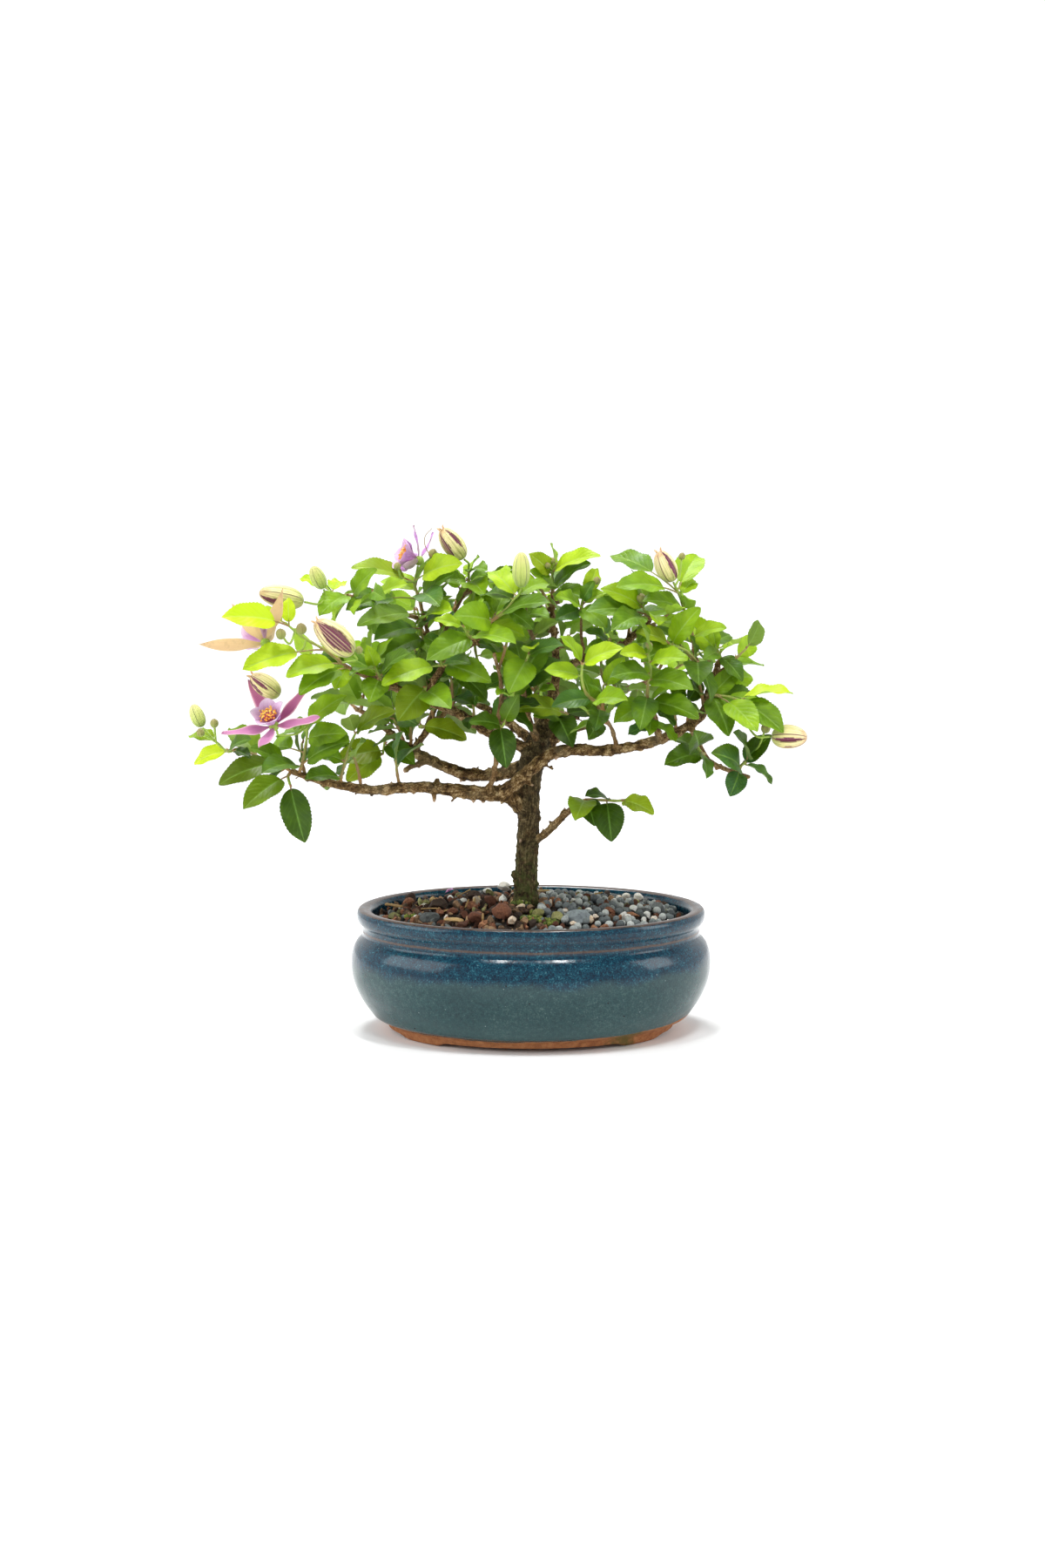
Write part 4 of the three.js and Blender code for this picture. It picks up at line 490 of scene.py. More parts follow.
# Moss cushions: x, y, how wide, how many tips
MOSS = [[0, -31, 4.5, 40], [7, -35, 4, 26], [3, -22, 3, 14], [-4, -7, 4.2, 30], [-50, -14, 3, 12]]


# Vectors


def vec(values):
    return np.array(values, float)


UP = vec([0, 0, 1])


def size_of(v):
    return math.sqrt(float(v @ v))


def unit(v):
    return v * (1 / size_of(v))


def across(v, direction):
    return v - direction * float(v @ direction)


def rows_unit(rows):
    return rows / np.linalg.norm(rows, axis=-1, keepdims=True)


def square_to(along, hint=None):
    """Two directions square to the given one and to each other. The first leans to the hint, or up."""
    if hint is None:
        hint = UP if abs(along[2]) < STEEP else [0, 1, 0]
    side = unit(across(vec(hint), along))
    return side, np.cross(along, side)


def turned_way(sides, turn):
    """The direction at a turn from the first of two square directions to the second."""
    return sides[0] * math.cos(turn) + sides[1] * math.sin(turn)


def ring_turns(count):
    return np.arange(count) / count * 2 * math.pi


def ring_ways(sides, turns):
    return np.outer(np.cos(turns), sides[0]) + np.outer(np.sin(turns), sides[1])


def lengths_of(points):
    return np.linalg.norm(np.diff(points, axis=0), axis=1)


def run_along(points):
    """How far along the line each of its points lies."""
    return np.concatenate([[0], np.cumsum(lengths_of(points))])


def spin(axis, angle):
    """The matrix of a turn about X, Y or Z, which are 0, 1 and 2."""
    matrix = np.eye(3)
    j, k = (axis + 1) % 3, (axis + 2) % 3
    matrix[j, j] = matrix[k, k] = math.cos(angle)
    matrix[j, k], matrix[k, j] = -math.sin(angle), math.sin(angle)
    return matrix


def step_up(low, high, value):
    """From 0 at low to 1 at high, smoothly."""
    t = np.clip((np.asarray(value, float) - low) / (high - low), 0, 1)
    return t * t * (3 - 2 * t)


def draw(a, b, c):
    """A repeatable draw between 0 and 1 from three whole numbers, the same as in the part's source."""
    most = 0xFFFFFFFF
    h = ((a + 11) * 374761393 ^ (b + 7) * 668265263 ^ (c + 3) * 2246822519) & most
    h = ((h ^ (h >> 13)) * 1274126177) & most
    return (h ^ (h >> 16)) / 4294967296


# Curves, limbs and stems


@dataclass
class Samples:
    """Places along a curve with the radius and the direction at each."""

    at: np.ndarray
    radius: np.ndarray
    along: np.ndarray


def on_curve(points, share):
    """A place on the smooth curve through the points."""
    last = len(points) - 1
    place = last * share
    i = min(int(place), last - 1)
    w = place - i
    p1, p2 = points[i], points[i + 1]
    p0 = points[i - 1] if i > 0 else 2 * p1 - p2
    p3 = points[i + 2] if i + 2 <= last else 2 * p2 - p1
    t0, t1 = (p2 - p0) / 2, (p3 - p1) / 2
    return p1 + w * (t0 + w * (3 * (p2 - p1) - 2 * t0 - t1 + w * (2 * (p1 - p2) + t0 + t1)))


def samples_along(points, radii, steps):
    points = [vec(p) for p in points]
    shares = [i / steps for i in range(steps + 1)]
    at = np.array([on_curve(points, share) for share in shares])
    radius = np.interp(np.array(shares) * (len(radii) - 1), range(len(radii)), radii)
    return with_directions(at, radius)


def with_directions(at, radius):
    before = np.vstack([at[:1], at[:-1]])
    after = np.vstack([at[1:], at[-1:]])
    return Samples(at, radius, rows_unit(after - before))


def nearest_on(samples, place):
    """The nearest place on a curve, with its gap, radius and direction."""
    best = None
    last = len(samples.at) - 1
    for i in range(1, last + 1):
        start, run = samples.at[i - 1], samples.at[i] - samples.at[i - 1]
        share = min(max(float((place - start) @ run) / float(run @ run), 0), 1)
        at = start + run * share
        gap = size_of(at - place)
        if best and gap >= best["gap"]:
            continue
        radius = samples.radius[i - 1] + (samples.radius[i] - samples.radius[i - 1]) * share
        at_end = i == last and share == 1
        best = {"at": at, "gap": gap, "radius": radius, "along": samples.along[i], "at_end": at_end}
    return best


def stem_start(limb, first):
    """Where a stem begins, just clear of the limb that carries it."""
    root = nearest_on(limb, first)
    way = unit(first - root["at"])
    forward = float(way @ root["along"])
    if root["at_end"] and forward > 0.5:
        sine = math.sqrt(max(0, 1 - forward * forward))
        return root["at"] + way * ((GAP + STEM_ROOT_RADIUS * sine) / forward)
    return root["at"] + way * (root["radius"] + GAP)


def stem_samples(start, points):
    """A stem from its start through its points, thinner at the tip."""
    route = [start, *points]
    return samples_along(route, [STEM_ROOT_RADIUS, STEM_TIP_RADIUS], max(len(route) - 1, 2))


def stalk_samples(stem, way, end):
    root = nearest_on(stem, vec(way[0] if way else end))
    return samples_along([root["at"], *way, end], [PEDICEL_RADIUS, PEDICEL_RADIUS], len(way) + 1)


def point_on_stem(stem, share):
    place = share * (len(stem.at) - 1)
    low = min(int(place), len(stem.at) - 2)
    at = stem.at[low] + (stem.at[low + 1] - stem.at[low]) * (place - low)
    return at, stem.along[low]


# Blades: leaves, sepals and petals on a curved midrib


@dataclass
class Pose:
    """A blade's place: its base, the way to its tip, the way its upper face looks, and its sizes."""

    base: np.ndarray
    e: np.ndarray
    n: np.ndarray
    right: np.ndarray
    chord: float
    arch: float
    width: float
    petiole: float


def blade_pose(base, tip, face, outward, arch, width):
    """The upper face looks up where face is 0, and outward where it is a quarter turn."""
    chord = tip - base
    e = unit(chord)
    towards = vec([0, 0, math.cos(face)]) + outward * (math.sin(face) + 0.1)
    n = unit(across(towards, e))
    reach = size_of(chord)
    return Pose(base, e, n, np.cross(e, n), reach, arch, width, max(PETIOLE, reach - LONGEST_BLADE))


def on_blade(pose, share, sideways, lift, fold=LEAF_FOLD):
    """Places on a blade. The three values are numbers or arrays of one shape."""
    share, sideways, lift = np.broadcast_arrays(np.asarray(share, float), sideways, lift)
    half = pose.arch / 2
    whole = (pose.chord * half) / math.sin(half)
    d = pose.e * math.cos(half) + pose.n * math.sin(half)
    m = pose.n * math.cos(half) - pose.e * math.sin(half)
    turn = pose.arch * share
    along = (whole * np.sin(turn)) / pose.arch
    down = (whole * (1 - np.cos(turn))) / pose.arch
    normal = m * np.cos(turn)[..., None] + d * np.sin(turn)[..., None]
    rise = lift + np.abs(sideways) * fold
    rib = pose.base + d * along[..., None] - m * down[..., None]
    return rib + pose.right * sideways[..., None] + normal * rise[..., None]


def placed_leaf(stem, row, attempt):
    """A leaf given one by one keeps its base and slides its tip in depth until it is clear."""
    share, x, y, z, face = row[:5]
    step = attempt % 11
    slide = math.ceil(step / 2) * 3 * (-1 if step % 2 else 1)
    lean = face + [0, 25, -25][attempt // 11]
    base = point_on_stem(stem, share)[0]
    tip = vec([x, y + slide, z])
    width = min(size_of(base - tip), LONGEST_BLADE) * (row[5] if len(row) > 5 else LEAF_WIDTH_SHARE)
    return blade_pose(base, tip, math.radians(lean), vec([0, -1, 0]), LEAF_ARCH, width)


def ruled_share(leaf, count):
    """How far along its stem a leaf stands that is set by the rule."""
    return 0.6 if count == 1 else 0.12 + 0.88 * leaf / (count - 1)


def ruled_leaf(stem, spray, leaf, count, size, attempt):
    """Leaves set by the rule stand to both sides of the stem in turn, leaning out of the crown."""

    def chance(k):
        return draw(spray, leaf, attempt * 8 + k)

    share = ruled_share(leaf, count)
    at, along = point_on_stem(stem, share)
    outward = unit(vec([at[0] / 130, at[1] / 75, 0.001]))
    turn = (1 if leaf % 2 else -1) * 1.35 + (chance(0) - 0.5) * (1.2 + attempt * 0.35)
    pitch = 0.75 + 0.5 * chance(1) - (0.5 if share > 0.95 else 0)
    radial = turned_way(square_to(along, UP + outward * 0.7), turn)
    way = turned_way([along, radial], pitch)
    e = unit(way - vec([0, 0, 0.15 + 0.4 * chance(2)]))
    reach = size * (0.82 + 0.3 * chance(3)) * (1 - 0.18 * share)
    face = 0.25 + 0.75 * chance(4)
    arch = 0.45 + 0.5 * chance(5)
    width = reach * (LEAF_WIDTH_SHARE - 0.04 + 0.08 * chance(6))
    return blade_pose(at, at + e * reach, face, outward, arch, width)


# The thicket keeps what has been placed, so that a new leaf can be set clear of it


def pierces(lines, faces):
    """True if any of the lines (n, 2, 3) goes through any of the faces (m, 3, 3)."""
    p, d = lines[:, None, 0], (lines[:, 1] - lines[:, 0])[:, None]
    a, e1, e2 = faces[None, :, 0], (faces[:, 1] - faces[:, 0])[None], (faces[:, 2] - faces[:, 0])[None]
    h = np.cross(d, e2)
    det = np.sum(e1 * h, axis=-1)
    flat = np.abs(det) < 1e-9
    det = np.where(flat, 1, det)
    s = p - a
    u = np.sum(s * h, axis=-1) / det
    k = np.cross(s, e1)
    v = np.sum(d * k, axis=-1) / det
    w = np.sum(e2 * k, axis=-1) / det
    return bool(np.any(~flat & (u >= 0) & (u <= 1) & (v >= 0) & (u + v <= 1) & (w >= 0) & (w <= 1)))


def segment_gaps(first, second):
    """Least distances between each of first (n, 2, 3) and each of second (m, 2, 3)."""
    p, d1 = first[:, None, 0], (first[:, 1] - first[:, 0])[:, None]
    a, d2 = second[None, :, 0], (second[:, 1] - second[:, 0])[None]
    r = p - a
    aa, ee, bb = np.sum(d1 * d1, axis=-1), np.sum(d2 * d2, axis=-1), np.sum(d1 * d2, axis=-1)
    f, c = np.sum(d2 * r, axis=-1), np.sum(d1 * r, axis=-1)
    denominator = aa * ee - bb * bb
    spread = denominator > 1e-9
    s = np.where(spread, np.clip((bb * f - c * ee) / np.where(spread, denominator, 1), 0, 1), 0)
    t = (bb * s + f) / np.maximum(ee, 1e-9)
    outside = (t < 0) | (t > 1)
    t = np.clip(t, 0, 1)
    s = np.where(outside, np.clip((bb * t - c) / np.maximum(aa, 1e-9), 0, 1), s)
    gaps = (p + d1 * s[..., None]) - (a + d2 * t[..., None])
    return np.linalg.norm(gaps, axis=-1)


WHISKERS = [[0.02, 0], [0.3, 0.9], [0.3, -0.9], [0.62, 0.85], [0.62, -0.85], [0.98, 0],
            [0.3, 0], [0.62, 0], [0.46, 0.9], [0.46, -0.9], [0.8, 0.45], [0.8, -0.45]]


@dataclass
class Patch:
    """A blade as the thicket sees it: a few faces, and the lines that nothing else may cut."""

    owner: str
    middle: np.ndarray
    reach: float
    faces: np.ndarray
    edges: np.ndarray
    stalk: np.ndarray
    lines: np.ndarray


def blade_patch(pose, owner):
    """Six faces over the blade, and its outline, stalk and whiskers, which reach out over both faces."""
    start = pose.petiole / pose.chord
    half = pose.width / 2 + 0.3

    def corner(t, w, lift=0.0):
        return on_blade(pose, start + (1 - start) * t, w * half, lift)

    neck, rib = corner(0.02, 0), corner(0.42, 0)
    a, b, c, d = corner(0.22, 0.95), corner(0.22, -0.95), corner(0.6, 0.92), corner(0.6, -0.92)
    tip = on_blade(pose, 1 + 0.3 / pose.chord, 0, 0)
    outline = [neck, a, c, tip, d, b]
    edges = [[p, outline[(i + 1) % 6]] for i, p in enumerate(outline)]
    stalk = [pose.base + pose.e * 0.8, neck]
    whiskers = []
    for t, w in WHISKERS:
        at = corner(t, w)
        normal = unit(corner(t, w, 1) - at)
        whiskers.append([at + normal * BLADE_CLEARANCE, at - normal * BLADE_CLEARANCE])
    faces = [[neck, a, rib], [a, c, rib], [c, tip, rib], [tip, d, rib], [d, b, rib], [b, neck, rib]]
    return Patch(owner, corner(0.45, 0), pose.chord * 0.62, np.array(faces), np.array(edges),
                 np.array([stalk]), np.array([*edges, *whiskers, stalk]))


@dataclass
class Rod:
    """A stretch of wood, stem or bud as the thicket sees it."""

    owner: str
    axis: np.ndarray
    radius: float
    lines: np.ndarray
    middle: np.ndarray
    reach: float


def rod_of(start, end, radius, owner):
    reach = radius + ROD_CLEARANCE
    lines = [[start, end]]
    for share in [0, 0.5, 1]:
        at = start + (end - start) * share
        for way in square_to(unit(end - start)):
            lines.append([at + way * reach, at - way * reach])
    middle = start + (end - start) * 0.5
    return Rod(owner, np.array([start, end]), radius, np.array(lines), middle,
               size_of(end - start) / 2 + radius)


class Thicket:
    """Everything placed so far: blades as patches, and wood, stems and buds as rods."""

    def __init__(self):
        self.patches = []
        self.rods = []

    def add_rods(self, samples, owner):
        for i in range(1, len(samples.at)):
            self.rods.append(rod_of(samples.at[i - 1], samples.at[i], float(samples.radius[i]), owner))

    @staticmethod
    def near(others, patch):
        if not others:
            return []
        gaps = np.linalg.norm(np.array([o.middle for o in others]) - patch.middle, axis=1)
        reaches = np.array([o.reach for o in others]) + patch.reach + 1.5
        return [others[i] for i in np.flatnonzero(gaps < reaches)]

    def is_clear(self, patch):
        blades = self.near(self.patches, patch)
        if blades and pierces(np.concatenate([b.lines for b in blades]), patch.faces):
            return False
        if blades and pierces(patch.lines, np.concatenate([b.faces for b in blades])):
            return False
        rods = [rod for rod in self.near(self.rods, patch) if rod.owner != patch.owner]
        if not rods:
            return True
        if pierces(np.concatenate([rod.lines for rod in rods]), patch.faces):
            return False
        axes = np.array([rod.axis for rod in rods])
        radii = np.array([rod.radius for rod in rods])
        if np.any(segment_gaps(patch.edges, axes) < radii + ROD_CLEARANCE):
            return False
        return not np.any(segment_gaps(patch.stalk, axes) < radii + STALK_CLEARANCE)

    def set_leaf(self, owner, pose_at, suits=None):
        for attempt in range(MOST_ATTEMPTS):
            pose = pose_at(attempt)
            if suits and not suits(pose):
                continue
            patch = blade_patch(pose, owner)
            if self.is_clear(patch):
                self.patches.append(patch)
                return pose
        return None


def facing(pose, direction):
    """The blade turned about its midrib until its upper face looks along the direction."""
    n = unit(across(direction, pose.e))
    return replace(pose, n=n, right=np.cross(pose.e, n), petiole=RECEPTACLE_RADIUS + 0.2)


def sepal_poses(middle, heart, tips):
    axis = unit(heart - middle)
    return [facing(blade_pose(middle, tip, 0, axis, -0.35, SEPAL_WIDTH), axis) for tip in tips]


def petal_poses(middle, heart, tips):
    axis = unit(heart - middle)
    sides = square_to(axis, tips[0] - middle)
    poses = []
    for i in range(len(tips)):
        radial = turned_way(sides, ((i + 0.5) / len(tips)) * math.pi * 2)
        tip = middle + turned_way([axis, radial], PETAL_LEAN) * PETAL_LENGTH
        poses.append(facing(blade_pose(middle, tip, 0, axis, 0.3, PETAL_WIDTH), axis))
    return poses


# The plant is placed in the same order as its solids: wood, stems, stalks, buds, flowers, leaves


@dataclass
class Spray:
    """A leafy spray while it is placed. Each leaf has its pose, share of the stem and row number."""

    name: str
    root: np.ndarray
    stem: Samples
    stalks: list
    small_buds: list
    leaves: list


def place_plant():
    """Places every limb, stem, stalk, flower and leaf, and returns them with the thicket that they make."""
    thicket = Thicket()
    limbs = {}
    for name, radii, points in LIMBS:
        limbs[name] = samples_along(points, radii, math.ceil((len(points) - 1) * LIMB_DETAIL))
        thicket.add_rods(limbs[name], "wood")
    sprays = {}
    for name, limb, _, _, points, _ in SPRAYS:
        first = vec(points[0])
        stem = stem_samples(stem_start(limbs[limb], first), [vec(p) for p in points])
        sprays[name] = Spray(name, nearest_on(limbs[limb], first)["at"], stem, [], [], [])
        thicket.add_rods(stem, name)

    def add_stalk(spray, way, end):
        stalk = stalk_samples(sprays[spray].stem, [vec(p) for p in way], end)
        sprays[spray].stalks.append(stalk)
        thicket.add_rods(stalk, spray)

    for name, spray, base, tip, half_width, way in BUDS:
        base, tip = vec(base), vec(tip)
        along = unit(tip - base)
        add_stalk(spray, way, base - along * (GAP + 0.2))
        inset = along * (half_width * 0.3)
        thicket.rods.append(rod_of(base + inset, tip - inset, half_width * 1.05, name))
    for spray, at, radius, way in SMALL_BUDS:
        at = vec(at)
        add_stalk(spray, way, at)
        sprays[spray].small_buds.append([at, radius])
        thicket.rods.append(rod_of(at, at + vec([0, 0, 0.1]), radius, spray))
    flowers = {}
    for name, spray, middle, heart, way, tips in FLOWERS:
        middle, heart, tips = vec(middle), vec(heart), [vec(t) for t in tips]
        last = vec(way[-1]) if way else point_on_stem(sprays[spray].stem, 1)[0]
        add_stalk(spray, way, middle - unit(middle - last) * (RECEPTACLE_RADIUS + GAP))
        sepals, petals = sepal_poses(middle, heart, tips), petal_poses(middle, heart, tips)
        thicket.patches += [blade_patch(pose, name) for pose in [*sepals, *petals]]
        thicket.rods.append(rod_of(middle, heart, RECEPTACLE_RADIUS, name))
        flowers[name] = {"middle": middle, "heart": heart, "sepals": sepals, "petals": petals}
    for name, _, _, _, _, rows in SPRAYS:
        spray = sprays[name]
        for index, row in enumerate(rows):
            pose = thicket.set_leaf(name, lambda attempt, row=row: placed_leaf(spray.stem, row, attempt))
            if pose:
                spray.leaves.append([pose, row[0], index])
    for number, (name, _, size, count, _, _) in enumerate(SPRAYS):
        spray = sprays[name]
        for leaf in range(count):
            pose = thicket.set_leaf(
                name,
                lambda attempt, leaf=leaf: ruled_leaf(spray.stem, number, leaf, count, size, attempt),
            )
            if pose:
                spray.leaves.append([pose, ruled_share(leaf, count), None])
    return thicket, limbs, sprays, flowers


# Meshes are gathered as points and faces, with marks that the finishes read


class Clay:
    """Points, faces and marks of a piece while it is made. A face's look is its finish in the list."""

    def __init__(self):
        self.points = []
        self.faces = []
        self.looks = []
        self.marks = {}
        self.face_marks = {}
        self.count = 0

    def add(self, points, faces, look=0, face_marks=None, **marks):
        points = np.asarray(points, float).reshape(-1, 3)
        size = len(points)
        self.points.append(points)
        self.faces += [[i + self.count for i in face] for face in faces]
        self.looks += [look] * len(faces)
        self.keep(self.marks, marks, self.count, size)
        self.keep(self.face_marks, face_marks or {}, len(self.faces) - len(faces), len(faces))
        self.count += size

    @staticmethod
    def keep(kept, added, before, count):
        """Adds the marks of more points or faces. A mark that isn't given is 0."""
        for name in dict.fromkeys([*kept, *added]):
            rows = kept.setdefault(name, [np.zeros(before)] if before else [])
            rows.append(np.broadcast_to(np.asarray(added.get(name, 0.0), float), count))

    def skin(self, rings, first, last, look=0, face_marks=None, **marks):
        """A closed skin over rings (r, s, 3), with a point at each end. A mark is one number, or one for
        each ring, or one for each place on a ring, or one for each point of the rings."""
        r, s = rings.shape[:2]
        points = np.vstack([rings.reshape(-1, 3), first, last])
        pole_a, pole_b = r * s, r * s + 1
        faces = []
        for i in range(r - 1):
            for j in range(s):
                k = (j + 1) % s
                faces.append([i * s + j, i * s + k, (i + 1) * s + k, (i + 1) * s + j])
        faces += [[pole_a, (j + 1) % s, j] for j in range(s)]
        top = (r - 1) * s
        faces += [[top + j, top + (j + 1) % s, pole_b] for j in range(s)]
        spread = {}
        for name, value in marks.items():
            value = np.asarray(value, float)
            if value.ndim == 1 and len(value) == r:
                value = value[:, None]
            grid = np.broadcast_to(value, (r, s))
            spread[name] = np.concatenate([grid.ravel(), [grid[0].mean(), grid[-1].mean()]])
        columns = {}
        for name, value in (face_marks or {}).items():
            row = np.broadcast_to(np.asarray(value, float), s)
            columns[name] = np.concatenate([np.tile(row, r - 1), row, row])
        self.add(points, faces, look, columns, **spread)

    def tube(self, samples, sides, look=0, bulge=0.0, **marks):
        """A round tube with rounded ends along the samples."""
        turns = ring_turns(sides)
        side = None
        rings = []
        for at, radius, along in zip(samples.at, samples.radius, samples.along, strict=True):
            side, other = square_to(along, side)
            rings.append(at + radius * ring_ways((side, other), turns))
        first = samples.at[0] - samples.along[0] * samples.radius[0] * bulge
        last = samples.at[-1] + samples.along[-1] * samples.radius[-1] * bulge
        self.skin(np.array(rings), first, last, look, **marks)


def place(points):
    """Millimetres from the middle of the pot to metres in the frame of the solids."""
    return np.asarray(points) * MM + POT_MIDDLE


def set_marks(mesh, marks, domain="POINT"):
    for mark, values in marks.items():
        kept = mesh.attributes.new(mark, "FLOAT", domain)
        kept.data.foreach_set("value", np.asarray(values, np.float32))


def mesh_of(piece):
    """A piece's mesh with its modifiers worked in."""
    graph = bpy.context.evaluated_depsgraph_get()
    return bpy.data.meshes.new_from_object(piece.evaluated_get(graph))


def make_piece(name, clay, finishes, crease=40.0, flat=()):
    """One piece of the object. Edges sharper than crease degrees stay sharp, and so do flat looks."""
    mesh = bpy.data.meshes.new(name)
    points = np.clip(place(np.concatenate(clay.points)), *CAD_BOX)
    mesh.from_pydata(points.tolist(), [], clay.faces)
    for finish in finishes:
        mesh.materials.append(finish)
    looks = np.array(clay.looks, np.int32)
    mesh.polygons.foreach_set("material_index", looks)
    mesh.polygons.foreach_set("use_smooth", ~np.isin(looks, flat))
    for marks, domain in [(clay.marks, "POINT"), (clay.face_marks, "FACE")]:
        set_marks(mesh, {mark: np.concatenate(values) for mark, values in marks.items()}, domain)
    mesh.update()
    if crease:
        mesh.set_sharp_from_angle(angle=math.radians(crease))
    return show_piece(name, mesh)


def show_piece(name, mesh):
    piece = bpy.data.objects.new(name, mesh)
    bpy.context.scene.collection.objects.link(piece)
    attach(piece, "root")
    return piece


# Blades


@dataclass
class BladeForm:
    """How a kind of blade is cut: rows from base to tip, columns from edge to edge, and its waves."""

    rows: np.ndarray
    widths: np.ndarray
    columns: np.ndarray
    thickness: float
    wave: float
    waves: float
    rib: float


def leaf_width(t):
    """Share of the half width: broad before the middle, running to a blunt point."""
    return t**0.62 * (1 - t) ** 0.856 / 0.366


def leaf_form(teeth):
    """A leaf with that many blunt teeth along its edge."""
    peaks = (np.arange(teeth) + 0.6) / teeth
    notches = (np.arange(teeth - 1) + 1) / teeth
    rows = np.sort(np.concatenate([[0.008], peaks, notches]))
    cut = np.where(np.isin(rows, notches), 0.945, 1.0)
    cut = np.where((rows < 0.1) | (rows > 0.97), 1, cut)
    columns = vec([-1, -0.56, -0.09, 0, 0.09, 0.56, 1])
    return BladeForm(rows, leaf_width(rows) * cut, columns, 0.34, 0.5, 2.3, 0.22)


def smooth_form(width_at, count, thickness, wave):
    rows = (1 - np.cos(np.linspace(0.12, math.pi - 0.12, count))) / 2
    columns = vec([-1, -0.72, -0.38, 0, 0.38, 0.72, 1])
    return BladeForm(rows, width_at(rows), columns, thickness, wave, 1.4, 0.12)


def sepal_width(t):
    return (0.22 + 0.78 * step_up(0, 0.42, t)) * (1 - t**2.6) ** 0.8


def petal_width(t):
    return (0.28 + 0.72 * step_up(0, 0.55, t)) * (1 - t**5) ** 0.6


def add_blade(clay, pose, form, look, number, fold=FINE_FOLD, **marks):
    """A thin closed blade on the pose. Its marks across and along run from rib to edge and base to tip."""
    phase = draw(number, 5, 1) * math.pi * 2
    lively = 0.5 + draw(number, 5, 2)
    t, u = form.rows, form.columns
    start = pose.petiole / pose.chord
    share = (start + (1 - start) * t)[:, None]
    sideways = np.outer(form.widths * pose.width / 2, u)
    ripple = np.sin(2 * math.pi * form.waves * t + phase)[:, None] * (u * u * np.sign(u + 0.01))[None]
    body = np.sqrt(np.maximum(0, 1 - u * u))[None] * np.minimum(1, 6 * t * (1.02 - t))[:, None]
    rib = np.where(np.abs(u) < 0.01, 1, 0)[None] * (1 - t)[:, None]
    middle = form.wave * lively * ripple * np.minimum(1, 4 * t)[:, None]
    upper = middle + body * form.thickness / 2 - rib * form.rib * 0.4
    lower = middle - body * form.thickness / 2 - rib * form.rib
    over = on_blade(pose, share, sideways, upper, fold)
    under = on_blade(pose, share, sideways[:, ::-1], lower[:, ::-1], fold)[:, 1:-1]
    rings = np.concatenate([over, under], axis=1)
    around = np.concatenate([u, u[::-1][1:-1]])
    first = on_blade(pose, start, 0, 0, fold)
    last = on_blade(pose, 1, 0, 0, fold)
    shaded = np.where(np.arange(len(around)) < len(u) - 1, 0, 1)
    clay.skin(
        rings, first, last, look, {"under": shaded},
        across=np.broadcast_to(around, rings.shape[:2]), along=t, **marks,
    )


def add_petiole(clay, pose, look, **marks):
    """The leaf's own stalk, from inside the stem to the blade."""
    neck = (pose.petiole + 0.9) / pose.chord
    shares = np.linspace(-PETIOLE_SUNK / pose.chord, neck, 4)
    at = np.array([on_blade(pose, share, 0, -0.12 * i / 3) for i, share in enumerate(shares)])
    clay.tube(with_directions(at, PETIOLE_RADIUS * vec([1, 0.85, 0.8, 0.5])), 6, look, 0.3, **marks)


def add_scale(clay, at, way, look, number, length, **marks):
    """A small pointed bud scale in the corner of a leaf."""
    lean = vec([draw(number, 3, 1) - 0.5, draw(number, 3, 2) - 0.5, draw(number, 3, 3) - 0.2])
    along = unit(way + lean * 0.8)
    shares = vec([0, 0.3, 0.65, 1])
    points = at + np.outer(shares, along) * length
    clay.tube(with_directions(points, vec([0.42, 0.5, 0.3, 0.06])), 6, look, 0.5, **marks)


# Leafy sprays. Each has finishes in this order: leaf, shoot, small bud


LEAF, SHOOT, KNOB = 0, 1, 2


def fine_stem(at, radius):
    """A stem through the points with more samples and small lumps."""
    steps = max(6, round(float(np.sum(lengths_of(at))) / 1.2))
    places = np.linspace(0, len(at) - 1, steps + 1)
    smooth = np.array([on_curve(at, p / (len(at) - 1)) for p in places])
    lumps = 1 + 0.12 * np.sin(places * 9.0) + 0.1 * np.sin(places * 23.0)
    return with_directions(smooth, np.interp(places, range(len(at)), radius) * lumps)


def light_at(point):
    """How much light is painted into a leaf's colour by its place: little inside the crown, most at its top
    and outside, and more at the left.
    """
    out = math.hypot(*[(point[k] - CROWN_MIDDLE[k]) / CROWN_REACH[k] for k in range(2)])
    up = (point[2] - CROWN_BASE) / CROWN_HEIGHT
    left = 0.5 + 0.5 * math.tanh(-point[0] / 60)
    open_sky = min(max((point[2] - 100) / 45, 0.3), 1)
    return float(np.clip(0.04 + 0.5 * max(up, 0) ** 1.2 + (0.25 + 0.19 * left) * out**2 * open_sky, 0, 1))


def add_leaf(clay, pose, share, number, form, youth=None):
    """A leaf with its stalk and often a bud scale. With no youth given, leaves at the tip are younger."""
    # The tone is painted shade and light by the leaf's place, with a random share.
    light = light_at(pose.base + pose.e * pose.chord * 0.6)
    tone = float(np.clip(light + 0.55 * (draw(number, 7, 1) - 0.5), 0, 1))
    young = step_up(0.86, 1.0, share) * 0.35 * draw(number, 7, 2) if youth is None else youth
    add_blade(clay, pose, form, LEAF, number, tone=tone, youth=young)
    add_petiole(clay, pose, SHOOT, ripe=0.25 + 0.5 * draw(number, 7, 3))
    if draw(number, 7, 4) < 0.7:
        way = unit(pose.e + UP * 0.6)
        add_scale(clay, pose.base, way, SHOOT, number, 1.1 + draw(number, 7, 5), ripe=0.9)


